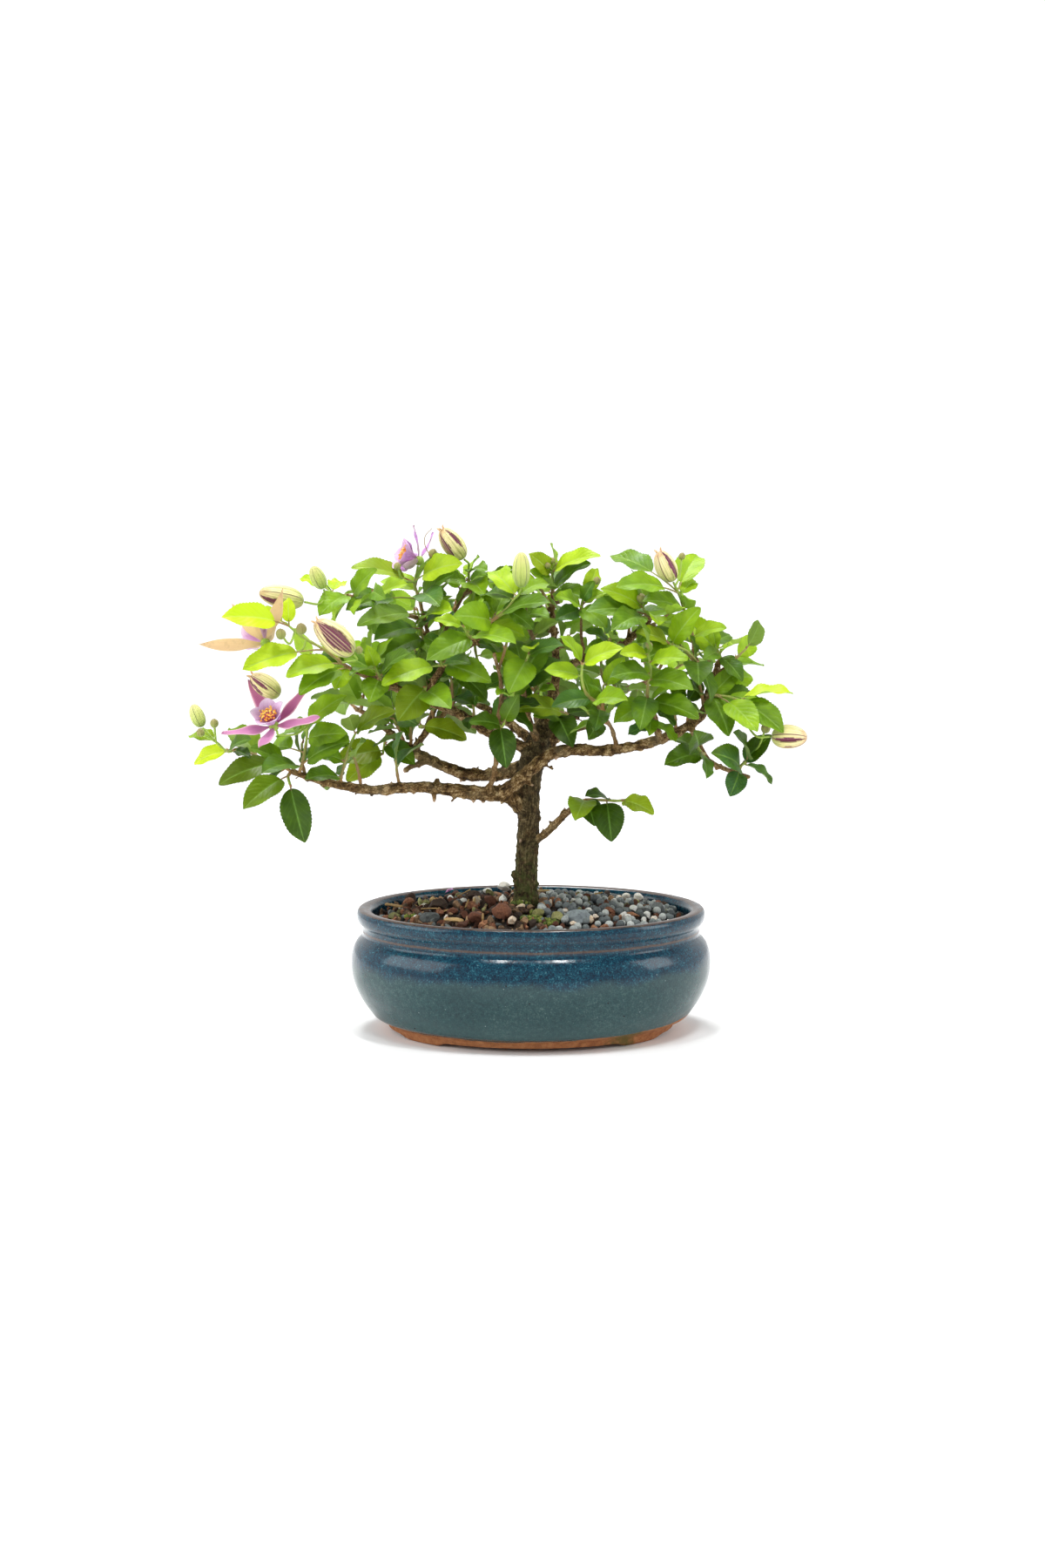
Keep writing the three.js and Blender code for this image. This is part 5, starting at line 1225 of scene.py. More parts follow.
def add_small_bud(clay, at, radius, number):
    """A round downy bud with five faint ribs."""
    axis = unit(vec([draw(number, 9, 1) - 0.5, draw(number, 9, 2) - 0.5, 1.2]))
    turns = ring_turns(20)
    heights = -np.cos(np.linspace(0.25, math.pi - 0.2, 9))
    rounds = np.sqrt(1 - heights**2)
    ribs = 1 + 0.06 * np.cos(5 * turns)
    spread = (rounds[:, None] * ribs * radius)[..., None] * ring_ways(square_to(axis, [1, 0, 0]), turns)
    rings = at + axis * (heights * radius * 1.12)[:, None, None] + spread
    clay.skin(rings, at - axis * radius * 1.1, at + axis * radius * 1.25, KNOB,
              along=(heights + 1) / 2, around=turns / (2 * math.pi))


def spray_piece(spray, number, form, finishes):
    """A spray with its stem, stalks, leaves and small buds."""
    clay = Clay()
    at = np.vstack([spray.root, spray.stem.at])
    stem = fine_stem(at, np.concatenate([[STEM_ROOT_RADIUS * 1.15], spray.stem.radius]))
    clay.tube(stem, 8, SHOOT, 0.6, ripe=np.linspace(1.0, 0.15, len(stem.at)))
    for stalk in spray.stalks:
        at = np.array([on_curve(stalk.at, s) for s in np.linspace(0, 1, 4 * len(stalk.at))])
        clay.tube(with_directions(at, np.full(len(at), PEDICEL_RADIUS)), 8, SHOOT, 0.5, ripe=0.12)
    for k, (pose, share, index) in enumerate(spray.leaves):
        youth = YOUNG_LEAVES.get(spray.name, {}).get(index) if index is not None else None
        add_leaf(clay, pose, share, number * 40 + k, form, youth)
    for k, (at, radius) in enumerate(spray.small_buds):
        add_small_bud(clay, at, radius, number * 40 + k)
    piece = make_piece("leaves_" + spray.name, clay, finishes)
    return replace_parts(piece, "spray_" + spray.name)


# Inner shoots: twigs and leaves that fill the middle and the back of the crown


def inside_crown(pose):
    """True for a leaf that stays in the space that the placed leaves take."""
    for share in [0.5, 1]:
        x, y, z = on_blade(pose, share, 0, 0)
        low = INNER_LOW + 0.00085 * (x + 5) ** 2 + 6 * (abs(y) > 25)
        high = INNER_HIGH - 0.0022 * x * x - 0.004 * y * y
        if not (low < z < high and (x / INNER_REACH[0]) ** 2 + (y / INNER_REACH[1]) ** 2 < 1):
            return False
    return True


def inner_shoots(thicket, limbs):
    """Twigs on the limbs, each with a few leaves, set clear of everything placed before."""
    shoots = []
    for number, (limb, low, high, count) in enumerate(INNER_SHOOTS):
        samples = limbs[limb]
        for k in range(count):
            seed = 200 + number * 12 + k
            share = low + (high - low) * (k + 0.2 + 0.6 * draw(seed, 1, 1)) / count
            at, along = point_on_stem(samples, share)
            radial = turned_way(square_to(along), draw(seed, 1, 2) * math.pi * 2)
            way = unit(radial + along * 0.35 + vec([0, 0, 0.75]))
            reach = 7 + 12 * draw(seed, 1, 3)
            bend = vec([draw(seed, 1, 4) - 0.5, draw(seed, 1, 5) - 0.5, 0.5]) * reach * 0.5
            points = [at, at + way * reach * 0.5, at + way * reach + bend * 0.5]
            stem = samples_along(points, [0.8, 0.5], 3)
            owner = "inner_" + str(seed)
            leaves = []
            wanted = 4 + int(3 * draw(seed, 1, 6))
            size = 15 + 6 * draw(seed, 1, 7)
            rods = [rod_of(stem.at[i], stem.at[i + 1], 0.6, owner) for i in range(3)]
            for leaf in range(wanted):
                pose = thicket.set_leaf(
                    owner,
                    lambda attempt, leaf=leaf: ruled_leaf(stem, seed, leaf, wanted, size, attempt),
                    inside_crown,
                )
                if pose:
                    leaves.append([pose, ruled_share(leaf, wanted)])
            if leaves:
                thicket.rods += rods
                shoots.append([at, stem, leaves, seed])
    return shoots


def inner_pieces(shoots, form, finishes):
    """The inner shoots in a few pieces, by the side of the tree."""
    sides = {"left": Clay(), "middle": Clay(), "right": Clay()}
    for at, stem, leaves, seed in shoots:
        side = "left" if at[0] < -22 else "right" if at[0] > 26 else "middle"
        clay = sides[side]
        fine = fine_stem(stem.at, stem.radius)
        clay.tube(fine, 7, SHOOT, 0.6, ripe=np.linspace(1, 0.4, len(fine.at)))
        for k, (pose, share) in enumerate(leaves):
            add_leaf(clay, pose, share, seed * 8 + k, form, 0.0)
    for side, clay in sides.items():
        make_piece("inner_leaves_" + side, clay, finishes)


# Large buds and flowers


def bud_piece(name, base, tip, half_width, finishes, look):
    """A bud of five sepals, closed along their edges or parted along a slit that shows the inside."""
    stripe, slits, tails = look
    base, tip = vec(base), vec(tip)
    along = unit(tip - base)
    cross_ways = square_to(along)
    half = size_of(tip - base) / 2
    middle = base + along * half
    rows, sides = 40, 80
    t = (1 - np.cos(np.linspace(0.16, math.pi - 0.1, rows))) / 2
    y = t * 2 - 1
    turns = ring_turns(sides)
    rounds = np.sqrt(1 - y * y) ** 0.9 * (1 - 0.1 * y)
    lobe = np.abs(((turns * 5 / (2 * math.pi)) % 1) - 0.5) * 2
    seam = np.outer(np.ones(rows), step_up(0.84, 1.0, 1 - lobe))
    ribs = 1 + 0.05 * np.cos(5 * turns) + 0.02 * np.cos(15 * turns)
    parted = np.zeros((rows, sides))
    for angle, wide, low, high in slits:
        gap = np.abs((turns - math.radians(angle) + math.pi) % (2 * math.pi) - math.pi)
        mouth = np.sin(np.clip((t - low) / (high - low), 0, 1) * math.pi) ** 0.75
        open_to = math.radians(wide) * mouth
        rib = 0.55 * (np.abs((gap / math.radians(17)) % 1 - 0.5) < 0.12) * (wide > 26)
        inside = gap[None] < open_to[:, None]
        parted = np.maximum(parted, inside * (1 - rib[None]) * np.minimum(1, 4 * mouth)[:, None])
    radius = half_width * rounds[:, None] * ribs[None] * (1 - 0.05 * seam - 0.16 * parted)
    rings = middle + along * (y * half)[:, None, None] + radius[..., None] * ring_ways(cross_ways, turns)
    clay = Clay()
    clay.skin(rings, base, tip, 0, along=t, around=np.broadcast_to(turns / (2 * math.pi), (rows, sides)),
              parted=parted, stripe=stripe)
    for k in range(tails):
        radial = turned_way(cross_ways, k * 2.1)
        start = tip - along * 0.8 + radial * 0.7
        end = start + along * 2.2 + radial * 1.1
        points = np.array([start, (start + end) / 2 + along * 0.4, end])
        clay.tube(with_directions(points, vec([0.5, 0.4, 0.1])), 6, 0, 0.5,
                  along=1.0, around=0.3, stripe=1.0)
    piece = make_piece(name + "_ribbed", clay, finishes)
    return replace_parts(piece, name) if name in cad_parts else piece


SEPAL, PETAL, HEART = 0, 1, 2


def flower_piece(name, flower, finishes, sepal_tint, petal_tint):
    """Five sepals and five petals on a round base. The tints make them paler than their finish."""
    clay = Clay()
    sepal_form = smooth_form(sepal_width, 22, 0.42, 0.5)
    petal_form = smooth_form(petal_width, 20, 0.34, 0.55)
    for k, pose in enumerate(flower["sepals"]):
        fine = replace(pose, petiole=PETAL_START, chord=pose.chord * 0.985)
        pale = min(max(0.75 - pose.e[2], 0), 1) * sepal_tint
        add_blade(clay, fine, sepal_form, SEPAL, 500 + k, 0.12, tint=pale)
    for k, pose in enumerate(flower["petals"]):
        fine = replace(pose, petiole=PETAL_START, width=pose.width * (1.04 + 0.18 * draw(k, 8, 8)))
        add_blade(clay, fine, petal_form, PETAL, 520 + k, 0.3, tint=petal_tint)
    axis = unit(flower["heart"] - flower["middle"])
    at = flower["middle"] + np.outer(vec([-1, -0.7, -0.2, 0.4, 0.85]), axis) * RECEPTACLE_RADIUS
    radii = vec([0.7, 1.5, 2.15, 1.9, 1.1])
    clay.tube(with_directions(at, radii), 20, HEART, 0.35, ripe=0.15)
    piece = make_piece(name + "_petals", clay, finishes)
    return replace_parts(piece, name)


def stamen_piece(name, flower, finishes):
    """A tuft of stamens: thin filaments with a split anther on each."""
    axis = unit(flower["heart"] - flower["middle"])
    sides = square_to(axis)
    foot = flower["middle"] + axis * (RECEPTACLE_RADIUS - 0.4)
    clay = Clay()
    column = np.array([foot, foot + axis * 1.6, foot + axis * 3.4])
    clay.tube(with_directions(column, vec([1.1, 0.95, 0.8])), 10, 0, 0.4, along=0.1)
    ball, ball_faces = round_ball(2)
    for i in range(STAMEN_COUNT):
        share = math.sqrt((i + 0.3) / STAMEN_COUNT)
        radial = turned_way(sides, i * GOLDEN_TURN + 0.3 * draw(i, 6, 1))
        way = turned_way([axis, radial], STAMEN_SPREAD * share * (0.85 + 0.3 * draw(i, 6, 2)))
        long = STAMEN_HEIGHT - 0.6 - 1.9 * share * draw(i, 6, 3)
        start = foot + radial * 0.55 * share + axis * 0.9
        shares = np.linspace(0, 1, 5)
        swing = radial * (0.5 * (draw(i, 6, 4) - 0.3))
        at = start + np.outer(shares * (long - 0.9), way) + np.outer(shares * shares, swing)
        clay.tube(with_directions(at, np.linspace(0.17, 0.1, 5)), 5, 0, 0.4, along=shares * 0.8)
        lie = unit(np.cross(way, vec([draw(i, 6, 5), draw(i, 6, 6), 0.3])))
        cross_way = np.cross(way, lie)
        for lobe in [-1, 1]:
            shaped = (
                np.outer(ball[:, 0] * 0.46, lie)
                + np.outer(ball[:, 1] * 0.22, cross_way)
                + np.outer(ball[:, 2] * 0.25, way)
            )
            clay.add(shaped + at[-1] + cross_way * 0.18 * lobe, ball_faces, 1,
                     tone=draw(i, 6, 7))
    piece = make_piece(name + "_stamens_fine", clay, finishes)
    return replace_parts(piece, name + "_stamens")


# Wood


def lumpy_limb(name, radii, points, number):
    """A limb with fine samples, knots and slight bends."""
    route = [vec(p) for p in points]
    reach = float(np.sum([size_of(b - a) for a, b in zip(route, route[1:], strict=False)]))
    steps = max(6, round(reach / 1.3))
    samples = samples_along(points, radii, steps)
    knots = np.zeros(steps + 1)
    for k in range(int(reach / KNOT_SPACING)):
        knot = (k + 0.2 + 0.6 * draw(number, k, 11)) * KNOT_SPACING / reach * steps
        tall = 0.05 + 0.13 * draw(number, k, 12)
        knots += tall * np.exp(-(((np.arange(steps + 1) - knot) / 1.4) ** 2))
    quiet = 0.4 if name == "trunk" else 1
    return replace(samples, radius=samples.radius * (1 + knots * quiet))


def add_spur(clay, at, way, radius, length, number):
    """A broken side twig: a short knobby stub."""
    bend = vec([draw(number, 4, 1) - 0.5, draw(number, 4, 2) - 0.5, draw(number, 4, 3) - 0.5])
    shares = np.linspace(0, 1, 5)
    points = at + np.outer(shares, way) * length + np.outer(shares**2, bend) * length * 0.5
    radii = radius * vec([1.5, 1.0, 0.75, 0.95, 0.55])
    clay.tube(with_directions(points, radii), 8, 0, 0.5)
    ball, faces = round_ball(2)
    for k in range(3):
        off = vec([draw(number, 5 + k, j) - 0.5 for j in range(3)]) * radius * 2.2
        clay.add(ball * radius * (0.5 + 0.5 * draw(number, 5 + k, 4)) + points[1 + k] + off, faces)
    return points[-1]


def on_limb(fine, share, turn):
    """The sample at that share of a limb, and the way out of the limb there at that turn."""
    i = min(int(share * len(fine.at)), len(fine.at) - 2)
    return i, turned_way(square_to(fine.along[i], [0, 0.3, 1]), turn)


def lumpy(points, depth, fineness, shift):
    """Points of a ball with rounded lumps of that depth, as a share of its radius."""
    lumps = [1 + depth * noise.noise(Vector(p * fineness) + Vector(shift)) for p in points]
    return points * np.array(lumps)[:, None]


def add_knobs(clay, name, fine, number):
    """Small knobs all over an old limb, where twigs once grew."""
    ball, faces = round_ball(2)
    reach = float(np.sum(lengths_of(fine.at)))
    count = round(reach * (2.6 if name == "trunk" else 0.7)) if fine.radius[0] > 1.15 else 0
    for k in range(count):
        seed = number * 300 + k
        i, radial = on_limb(fine, draw(seed, 14, 1), draw(seed, 14, 2) * math.pi * 2)
        knob = lumpy(ball, 0.5, 2.5, (seed, 0, 0)) * (0.42 + 0.6 * draw(seed, 14, 3) ** 3)
        clay.add(knob + fine.at[i] + radial * (fine.radius[i] - 0.1), faces)


def wood_piece(finish):
    """Limbs, knobs and broken twigs in one closed skin, which is then carved."""
    clay = Clay()
    limbs, ends = [], []
    for number, (name, radii, points) in enumerate(LIMBS):
        fine = lumpy_limb(name, radii, points, number)
        limbs.append([name, fine])
        clay.tube(fine, 16 if name == "trunk" else 12, 0, 0.35)
        if name in CUT_ENDS:
            ends.append(fine.at[-1])
    for number, (name, fine) in enumerate(limbs):
        add_knobs(clay, name, fine, number)
        count = SPURS.get(name, 0)
        for k in range(count):
            seed = number * 20 + k
            share = 0.12 + 0.84 * (k + draw(seed, 13, 1)) / count
            i, radial = on_limb(fine, share, draw(seed, 13, 2) * math.pi * 2)
            long = 1.2 + 3.4 * draw(seed, 13, 3) ** 2
            wide = 0.42 + 0.4 * draw(seed, 13, 4)
            start = fine.at[i] + radial * (fine.radius[i] - 0.4)
            end = add_spur(clay, start, unit(radial + fine.along[i] * 0.4), wide, long, seed)
            if draw(seed, 13, 5) < 0.4:
                ends.append(end)
    ball, faces = round_ball(3)
    for at, radius in KNOTS:
        clay.add(lumpy(ball, 0.5, 1.6, at) * radius + vec(at), faces)
    rough = make_piece("rough_wood", clay, [], crease=0)
    remesh = rough.modifiers.new("skin", "REMESH")
    remesh.mode = "VOXEL"
    remesh.voxel_size = WOOD_VOXEL * MM
    remesh.use_smooth_shade = True
    mesh = mesh_of(rough)
    mesh.name = "bark"
    bpy.data.objects.remove(rough)
    carve_bark(mesh, limbs, ends)
    mesh.materials.clear()
    mesh.materials.append(finish)
    piece = show_piece("bark_trunk_and_limbs", mesh)
    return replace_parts(piece, "trunk_and_branches")


def points_of(mesh):
    flat = np.zeros(len(mesh.vertices) * 3, np.float32)
    mesh.vertices.foreach_get("co", flat)
    return flat.reshape(-1, 3).astype(float)


def edge_means(points, edges):
    """The mean place of each point's neighbours."""
    total = np.zeros_like(points)
    ways = np.zeros(len(points))
    for a, b in [(0, 1), (1, 0)]:
        np.add.at(total, edges[:, a], points[edges[:, b]])
        np.add.at(ways, edges[:, a], 1)
    return total / np.maximum(ways, 1)[:, None]


def tree_of(places):
    """A search tree that finds the nearest of the places."""
    tree = kdtree.KDTree(len(places))
    for i, at in enumerate(places):
        tree.insert(at, i)
    tree.balance()
    return tree


def carve_bark(mesh, limbs, ends):
    """Smooths the steps of the skin, then cuts fissures and flakes that run along each limb."""
    edges = np.zeros(len(mesh.edges) * 2, np.int32)
    mesh.edges.foreach_get("vertices", edges)
    edges = edges.reshape(-1, 2)
    points = (points_of(mesh) - POT_MIDDLE) / MM
    for weight in [0.6, -0.3, 0.6, -0.3, 0.5]:
        points = points + (edge_means(points, edges) - points) * weight
    mesh.vertices.foreach_set("co", place(points).astype(np.float32).ravel())
    mesh.update()
    normals = np.zeros(len(points) * 3, np.float32)
    mesh.vertex_normals.foreach_get("vector", normals)
    normals = normals.reshape(-1, 3)
    places = []
    for number, (_, fine) in enumerate(limbs):
        run = run_along(fine.at) + number * 37.0
        places += zip(fine.at, fine.along, fine.radius, run, strict=True)
    tree, tips = tree_of([row[0] for row in places]), tree_of(ends)
    push, girth, cut = np.zeros((3, len(points)))
    strands = np.zeros((len(points), 3))
    for i, point in enumerate(points):
        _, nearest, _ = tree.find(point)
        at, along, radius, run = places[nearest]
        offset = point - at
        run = run + float(offset @ along)
        side = offset - along * float(offset @ along)
        wide = min(radius, 6)
        where = Vector((side[0] * 0.9, side[1] * 0.9, run * 0.16))
        cracks = abs(noise.noise(where * 0.9)) * 2
        flakes = noise.fractal(Vector((side[0] * 0.8, side[1] * 0.8, run * 0.42)), 0.9, 2.1, 4)
        knobs = noise.noise(Vector(point) * 0.36)
        grain = noise.noise(Vector(point) * 1.6)
        stout = min(max(wide - 0.8, 0), 1.4) / 1.4
        push[i] = (0.04 + 0.055 * wide) * (min(cracks, 0.7) - 0.42) + 0.16 * flakes
        push[i] += stout * ((0.18 if wide > 4 else 0.5) * knobs + 0.28 * grain)
        girth[i] = max(places[k][2] for _, k, far in tree.find_n(point, 10)
                       if far < places[k][2] * 1.3 or k == nearest)
        cut[i] = tips.find(point)[2]
        strands[i] = (side + along * run * STRAND_SQUEEZE) * MM
    points = points + normals * push[:, None]
    mesh.vertices.foreach_set("co", place(points).astype(np.float32).ravel())
    marks = {"girth": girth, "cut": 1 - step_up(0.6, 1.5, cut), "relief": push}
    marks.update({"strand_" + axis: strands[:, k] for k, axis in enumerate("xyz")})
    set_marks(mesh, marks)
    mesh.update()


# Finishes


class Value:
    """A socket that can be used in sums."""

    def __init__(self, finish, socket):
        self.finish = finish
        self.socket = socket

    def sum(self, operation, *others):
        sockets = dict(enumerate([self, *others]))
        return self.finish.node("Math", {"operation": operation}, sockets)

    def __add__(self, other):
        return self.sum("ADD", other)

    def __radd__(self, other):
        return self.sum("ADD", other)

    def __sub__(self, other):
        return self.sum("SUBTRACT", other)

    def __rsub__(self, other):
        return self.finish.node("Math", {"operation": "SUBTRACT"}, {0: other, 1: self})

    def __mul__(self, other):
        return self.sum("MULTIPLY", other)

    def __rmul__(self, other):
        return self.sum("MULTIPLY", other)

    def __abs__(self):
        return self.sum("ABSOLUTE")

    def clamped(self):
        return self.finish.node("Clamp", {}, {"Value": self})

    def above(self, low, high):
        """From 0 at low to 1 at high. With low over high it falls instead."""
        settings = {"interpolation_type": "SMOOTHSTEP"}
        return self.finish.node("MapRange", settings, {"Value": self, "From Min": low, "From Max": high})

    def part(self):
        return self.sum("FRACT")


class Nodes:
    """The nodes of a material or of the studio's light."""

    def __init__(self, tree):
        self.tree = tree
        tree.nodes.clear()

    def node(self, kind, settings, sockets, output=0):
        """A node of the kind: its settings first, then the values or links of its sockets."""
        made = self.tree.nodes.new("ShaderNode" + kind)
        for name, value in settings.items():
            if name == "stops":
                ramp = made.color_ramp
                while len(ramp.elements) < len(value):
                    ramp.elements.new(1)
                for element, (at, colour) in zip(ramp.elements, value, strict=True):
                    element.position = at
                    element.color = [*colour, 1]
            else:
                setattr(made, name, value)
        for name, value in sockets.items():
            if isinstance(value, Value):
                self.tree.links.new(value.socket, made.inputs[name])
            elif isinstance(value, tuple) and made.inputs[name].type == "RGBA":
                made.inputs[name].default_value = [*value, 1]
            else:
                made.inputs[name].default_value = value
        return Value(self, made.outputs[output])


class Finish(Nodes):
    """A material while it is put together."""

    def __init__(self, name):
        self.material = bpy.data.materials.new(name)
        self.material.use_nodes = True
        super().__init__(self.material.node_tree)
        self.place = self.node("TexCoord", {}, {}, "Object")

    def mark(self, name):
        """A mark that the mesh carries."""
        settings = {"attribute_type": "GEOMETRY", "attribute_name": name}
        return self.node("Attribute", settings, {}, "Fac")

    def grain(self, size, detail=3.0, rough=0.55, at=None):
        """Noise between 0 and 1 with features of the size in millimetres."""
        sockets = {"Vector": at or self.place, "Scale": 1 / (size * MM)}
        return self.node("TexNoise", {}, {**sockets, "Detail": detail, "Roughness": rough})

    def cells(self, size):
        """Distance to the nearest of scattered points, as a share of the size in millimetres."""
        return self.node("TexVoronoi", {}, {"Vector": self.place, "Scale": 1 / (size * MM)}, "Distance")

    def height(self):
        """Height over the table in millimetres."""
        return self.node("SeparateXYZ", {}, {"Vector": self.place}, "Z") * (1 / MM)

    def ramp(self, value, stops):
        return self.node("ValToRGB", {"stops": stops}, {"Fac": value})

    def mix(self, share, first, second):
        """The first colour where share is 0, the second where it is 1."""
        return self.node("Mix", {"data_type": "RGBA"}, {0: share, 6: first, 7: second}, 2)

    def shade(self, share, first, second):
        """Multiplies the first colour by the second as far as the share goes."""
        return self.node("Mix", {"data_type": "RGBA", "blend_type": "MULTIPLY"},
                         {0: share, 6: first, 7: second}, 2)

    def body(self, colour, roughness, relief, depth, more=None):
        """The main shader, with relief of the depth in millimetres."""
        bump = self.node("Bump", {}, {"Height": relief, "Distance": depth * MM, "Strength": 1.0})
        sockets = {"Base Color": colour, "Roughness": roughness, "Normal": bump}
        return self.node("BsdfPrincipled", {}, {**sockets, **(more or {})})

    def done(self, surface):
        output = self.tree.nodes.new("ShaderNodeOutputMaterial")
        self.tree.links.new(surface.socket, output.inputs["Surface"])
        return self.material

    def solid(self, *body):
        """The finished material of a solid thing. The values are those of its body."""
        return self.done(self.body(*body))

    def sheer(self, share, tint, *body):
        """The finished material of a thin thing that lets a share of the light through, tinted."""
        through = self.node("BsdfTranslucent", {}, {"Color": tint})
        return self.done(self.node("MixShader", {}, {0: share, 1: self.body(*body), 2: through}))


def leaf_finish():
    """Leaves: the mark tone makes one darker or lighter, as painted shade inside the crown and painted light
    at its outside, with a random share; youth makes it yellow, and a painted bluish sheen lies on the darker
    ones.
    """
    f = Finish("leaf green")
    tone, youth, under = f.mark("tone"), f.mark("youth"), f.mark("under")
    rib, run = abs(f.mark("across")), f.mark("along")
    patch = f.grain(5.5, 3)
    mottle = f.grain(0.9, 2)
    # The tone paints shade and light by the leaf's place in the crown, with a random share.
    level = tone + (patch - 0.5) * 0.5 + (mottle - 0.5) * 0.12
    green = f.ramp(level, [
        (0.0, (0.024, 0.062, 0.001)), (0.3, (0.09, 0.185, 0.002)), (0.55, (0.215, 0.37, 0.004)),
        (0.8, (0.42, 0.59, 0.012)), (1.0, (0.62, 0.76, 0.03)),
    ])
    # Painted bluish sheen, in broad patches on the darker leaves.
    bluish_sheen = f.grain(30, 1).above(0.54, 0.64) * (1 - tone)
    green = f.mix(bluish_sheen * 0.35, green, (0.045, 0.18, 0.075))
    green = f.mix(youth, green, (0.66, 0.78, 0.015))
    veins = (run * 1.2 - rib * 0.4) * 6.5
    between = abs(veins.part() - 0.5) * 2
    vein = between.above(0.84, 1.0) * rib.above(1.0, 0.6)
    midrib = rib.above(0.1, 0.02)
    pale = f.mix(youth, f.mix(tone, (0.16, 0.32, 0.05), (0.46, 0.6, 0.12)), (0.78, 0.86, 0.18))
    green = f.mix(vein * 0.28 + midrib * 0.7, green, pale)
    green = f.shade(rib.above(0.9, 1.0) * 0.3, green, (0.55, 0.65, 0.3))
    tired = f.grain(2.6, 2).above(0.69, 0.76) * (1 - youth) * 0.5
    green = f.mix(tired * 0.5, green, (0.2, 0.2, 0.03))
    colour = f.mix(under * 0.45, green, (0.36, 0.48, 0.14))
    relief = mottle * 0.25 + patch * 0.5 - between * between * 0.35
    roughness = 0.47 + (mottle - 0.5) * 0.2 + under * 0.2
    return f.sheer(0.16 + tone * 0.18 + youth * 0.1, (0.6, 0.86, 0.02),
                   colour, roughness, relief, 0.2, {"Specular IOR Level": 0.26})


def shoot_finish():
    """Young stems, stalks and scales: green at the tip, brown where they have ripened."""
    f = Finish("shoot")
    ripe = f.mark("ripe")
    speck = f.grain(0.5, 3)
    level = ripe + (f.grain(2.2, 2) - 0.5) * 0.5
    colour = f.ramp(level, [
        (0.0, (0.28, 0.45, 0.05)), (0.35, (0.28, 0.35, 0.06)), (0.62, (0.3, 0.2, 0.075)),
        (0.85, (0.32, 0.16, 0.05)), (1.0, (0.24, 0.155, 0.08)),
    ])
    colour = f.mix(speck.above(0.6, 0.72) * 0.35, colour, (0.42, 0.33, 0.2))
    return f.solid(colour, 0.5 + speck * 0.3, speck, 0.12)


def knob_finish():
    """Small downy buds."""
    f = Finish("downy bud")
    down = f.grain(0.32, 3)
    turn = abs((f.mark("around") * 5).part() - 0.5)
    colour = f.ramp(f.mark("along") * 0.75 + down * 0.3, [
        (0.0, (0.2, 0.27, 0.05)), (0.5, (0.27, 0.27, 0.075)), (1.0, (0.2, 0.15, 0.055)),
    ])
    colour = f.mix(down.above(0.58, 0.78) * 0.4, colour, (0.4, 0.36, 0.18))
    colour = f.shade(turn.above(0.42, 0.5) * 0.5, colour, (0.4, 0.3, 0.25))
    return f.solid(colour, 0.82, down, 0.14, {"Sheen Weight": 0.15})


def bud_finish():
    """Large buds: plain green or striped cream, and wine red where they are parted."""
    f = Finish("ribbed bud")
    run, turn, striped = f.mark("along"), f.mark("around"), f.mark("stripe")
    parted = f.mark("parted")
    down = f.grain(0.4, 3)
    line = abs((turn * 5).part() - 0.5)
    fine = abs((turn * 25 + (f.grain(3.0, 1) - 0.5) * 0.5).part() - 0.5)
    green = f.ramp(run + (f.grain(2.5, 2) - 0.5) * 0.4, [
        (0.0, (0.23, 0.36, 0.045)), (0.5, (0.42, 0.52, 0.1)), (1.0, (0.6, 0.6, 0.2)),
    ])
    cream = f.ramp(run + (f.grain(2.5, 2) - 0.5) * 0.5, [
        (0.0, (0.34, 0.37, 0.08)), (0.35, (0.7, 0.64, 0.26)), (0.8, (0.78, 0.66, 0.36)),
        (1.0, (0.58, 0.36, 0.17)),
    ])
    colour = f.mix(striped, green, cream)
    colour = f.mix(fine.above(0.34, 0.5) * (0.3 + striped * 0.3), colour, (0.2, 0.26, 0.04))
    seam = line.above(0.44, 0.5)
    colour = f.mix(seam * striped * 0.85, colour, (0.15, 0.02, 0.06))
    colour = f.mix(seam * (1 - striped) * 0.35, colour, (0.14, 0.22, 0.03))
    inner = f.ramp(fine * 1.2 + f.grain(1.2, 2) * 0.5, [
        (0.0, (0.24, 0.035, 0.1)), (0.6, (0.15, 0.018, 0.05)), (1.0, (0.055, 0.007, 0.02)),
    ])
    colour = f.mix(parted, colour, inner)
    colour = f.mix(down.above(0.58, 0.74) * 0.3, colour, (0.75, 0.68, 0.45))
    relief = down * 0.5 - seam * 1.2 - fine * 0.5
    return f.solid(colour, 0.7 - parted * 0.2, relief, 0.22, {"Sheen Weight": 0.25})


def sepal_finish(name, ribbon, edge, back):
    """The long outer flower leaves: streaks from base to tip, a pale edge and a downy back."""
    f = Finish(name)
    side, run, under = f.mark("across"), f.mark("along"), f.mark("under")
    rim = abs(side)
    streak = abs((side * 5 + (f.grain(3.4, 2) - 0.5) * 0.7).part() - 0.5)
    down = f.grain(0.45, 3)
    face = f.mix(run.above(0.1, 0.9) * 0.16 + streak * 0.2, ribbon, edge)
    face = f.shade(streak.above(0.32, 0.5) * 0.35, face, ribbon)
    face = f.mix(f.mark("tint") * 0.7, face, (0.68, 0.28, 0.57))
    face = f.mix(rim.above(0.66, 0.95), face, edge)
    outer = f.mix(streak.above(0.2, 0.5) * 0.55, back, edge)
    outer = f.mix(f.grain(2.2, 2).above(0.52, 0.68) * 0.35, outer, (0.5, 0.34, 0.15))
    colour = f.mix(under, face, outer)
    relief = streak * 0.8 + down * 0.35
    return f.sheer(0.2, edge, colour, 0.58 + down * 0.15, relief, 0.16, {"Sheen Weight": 0.2})


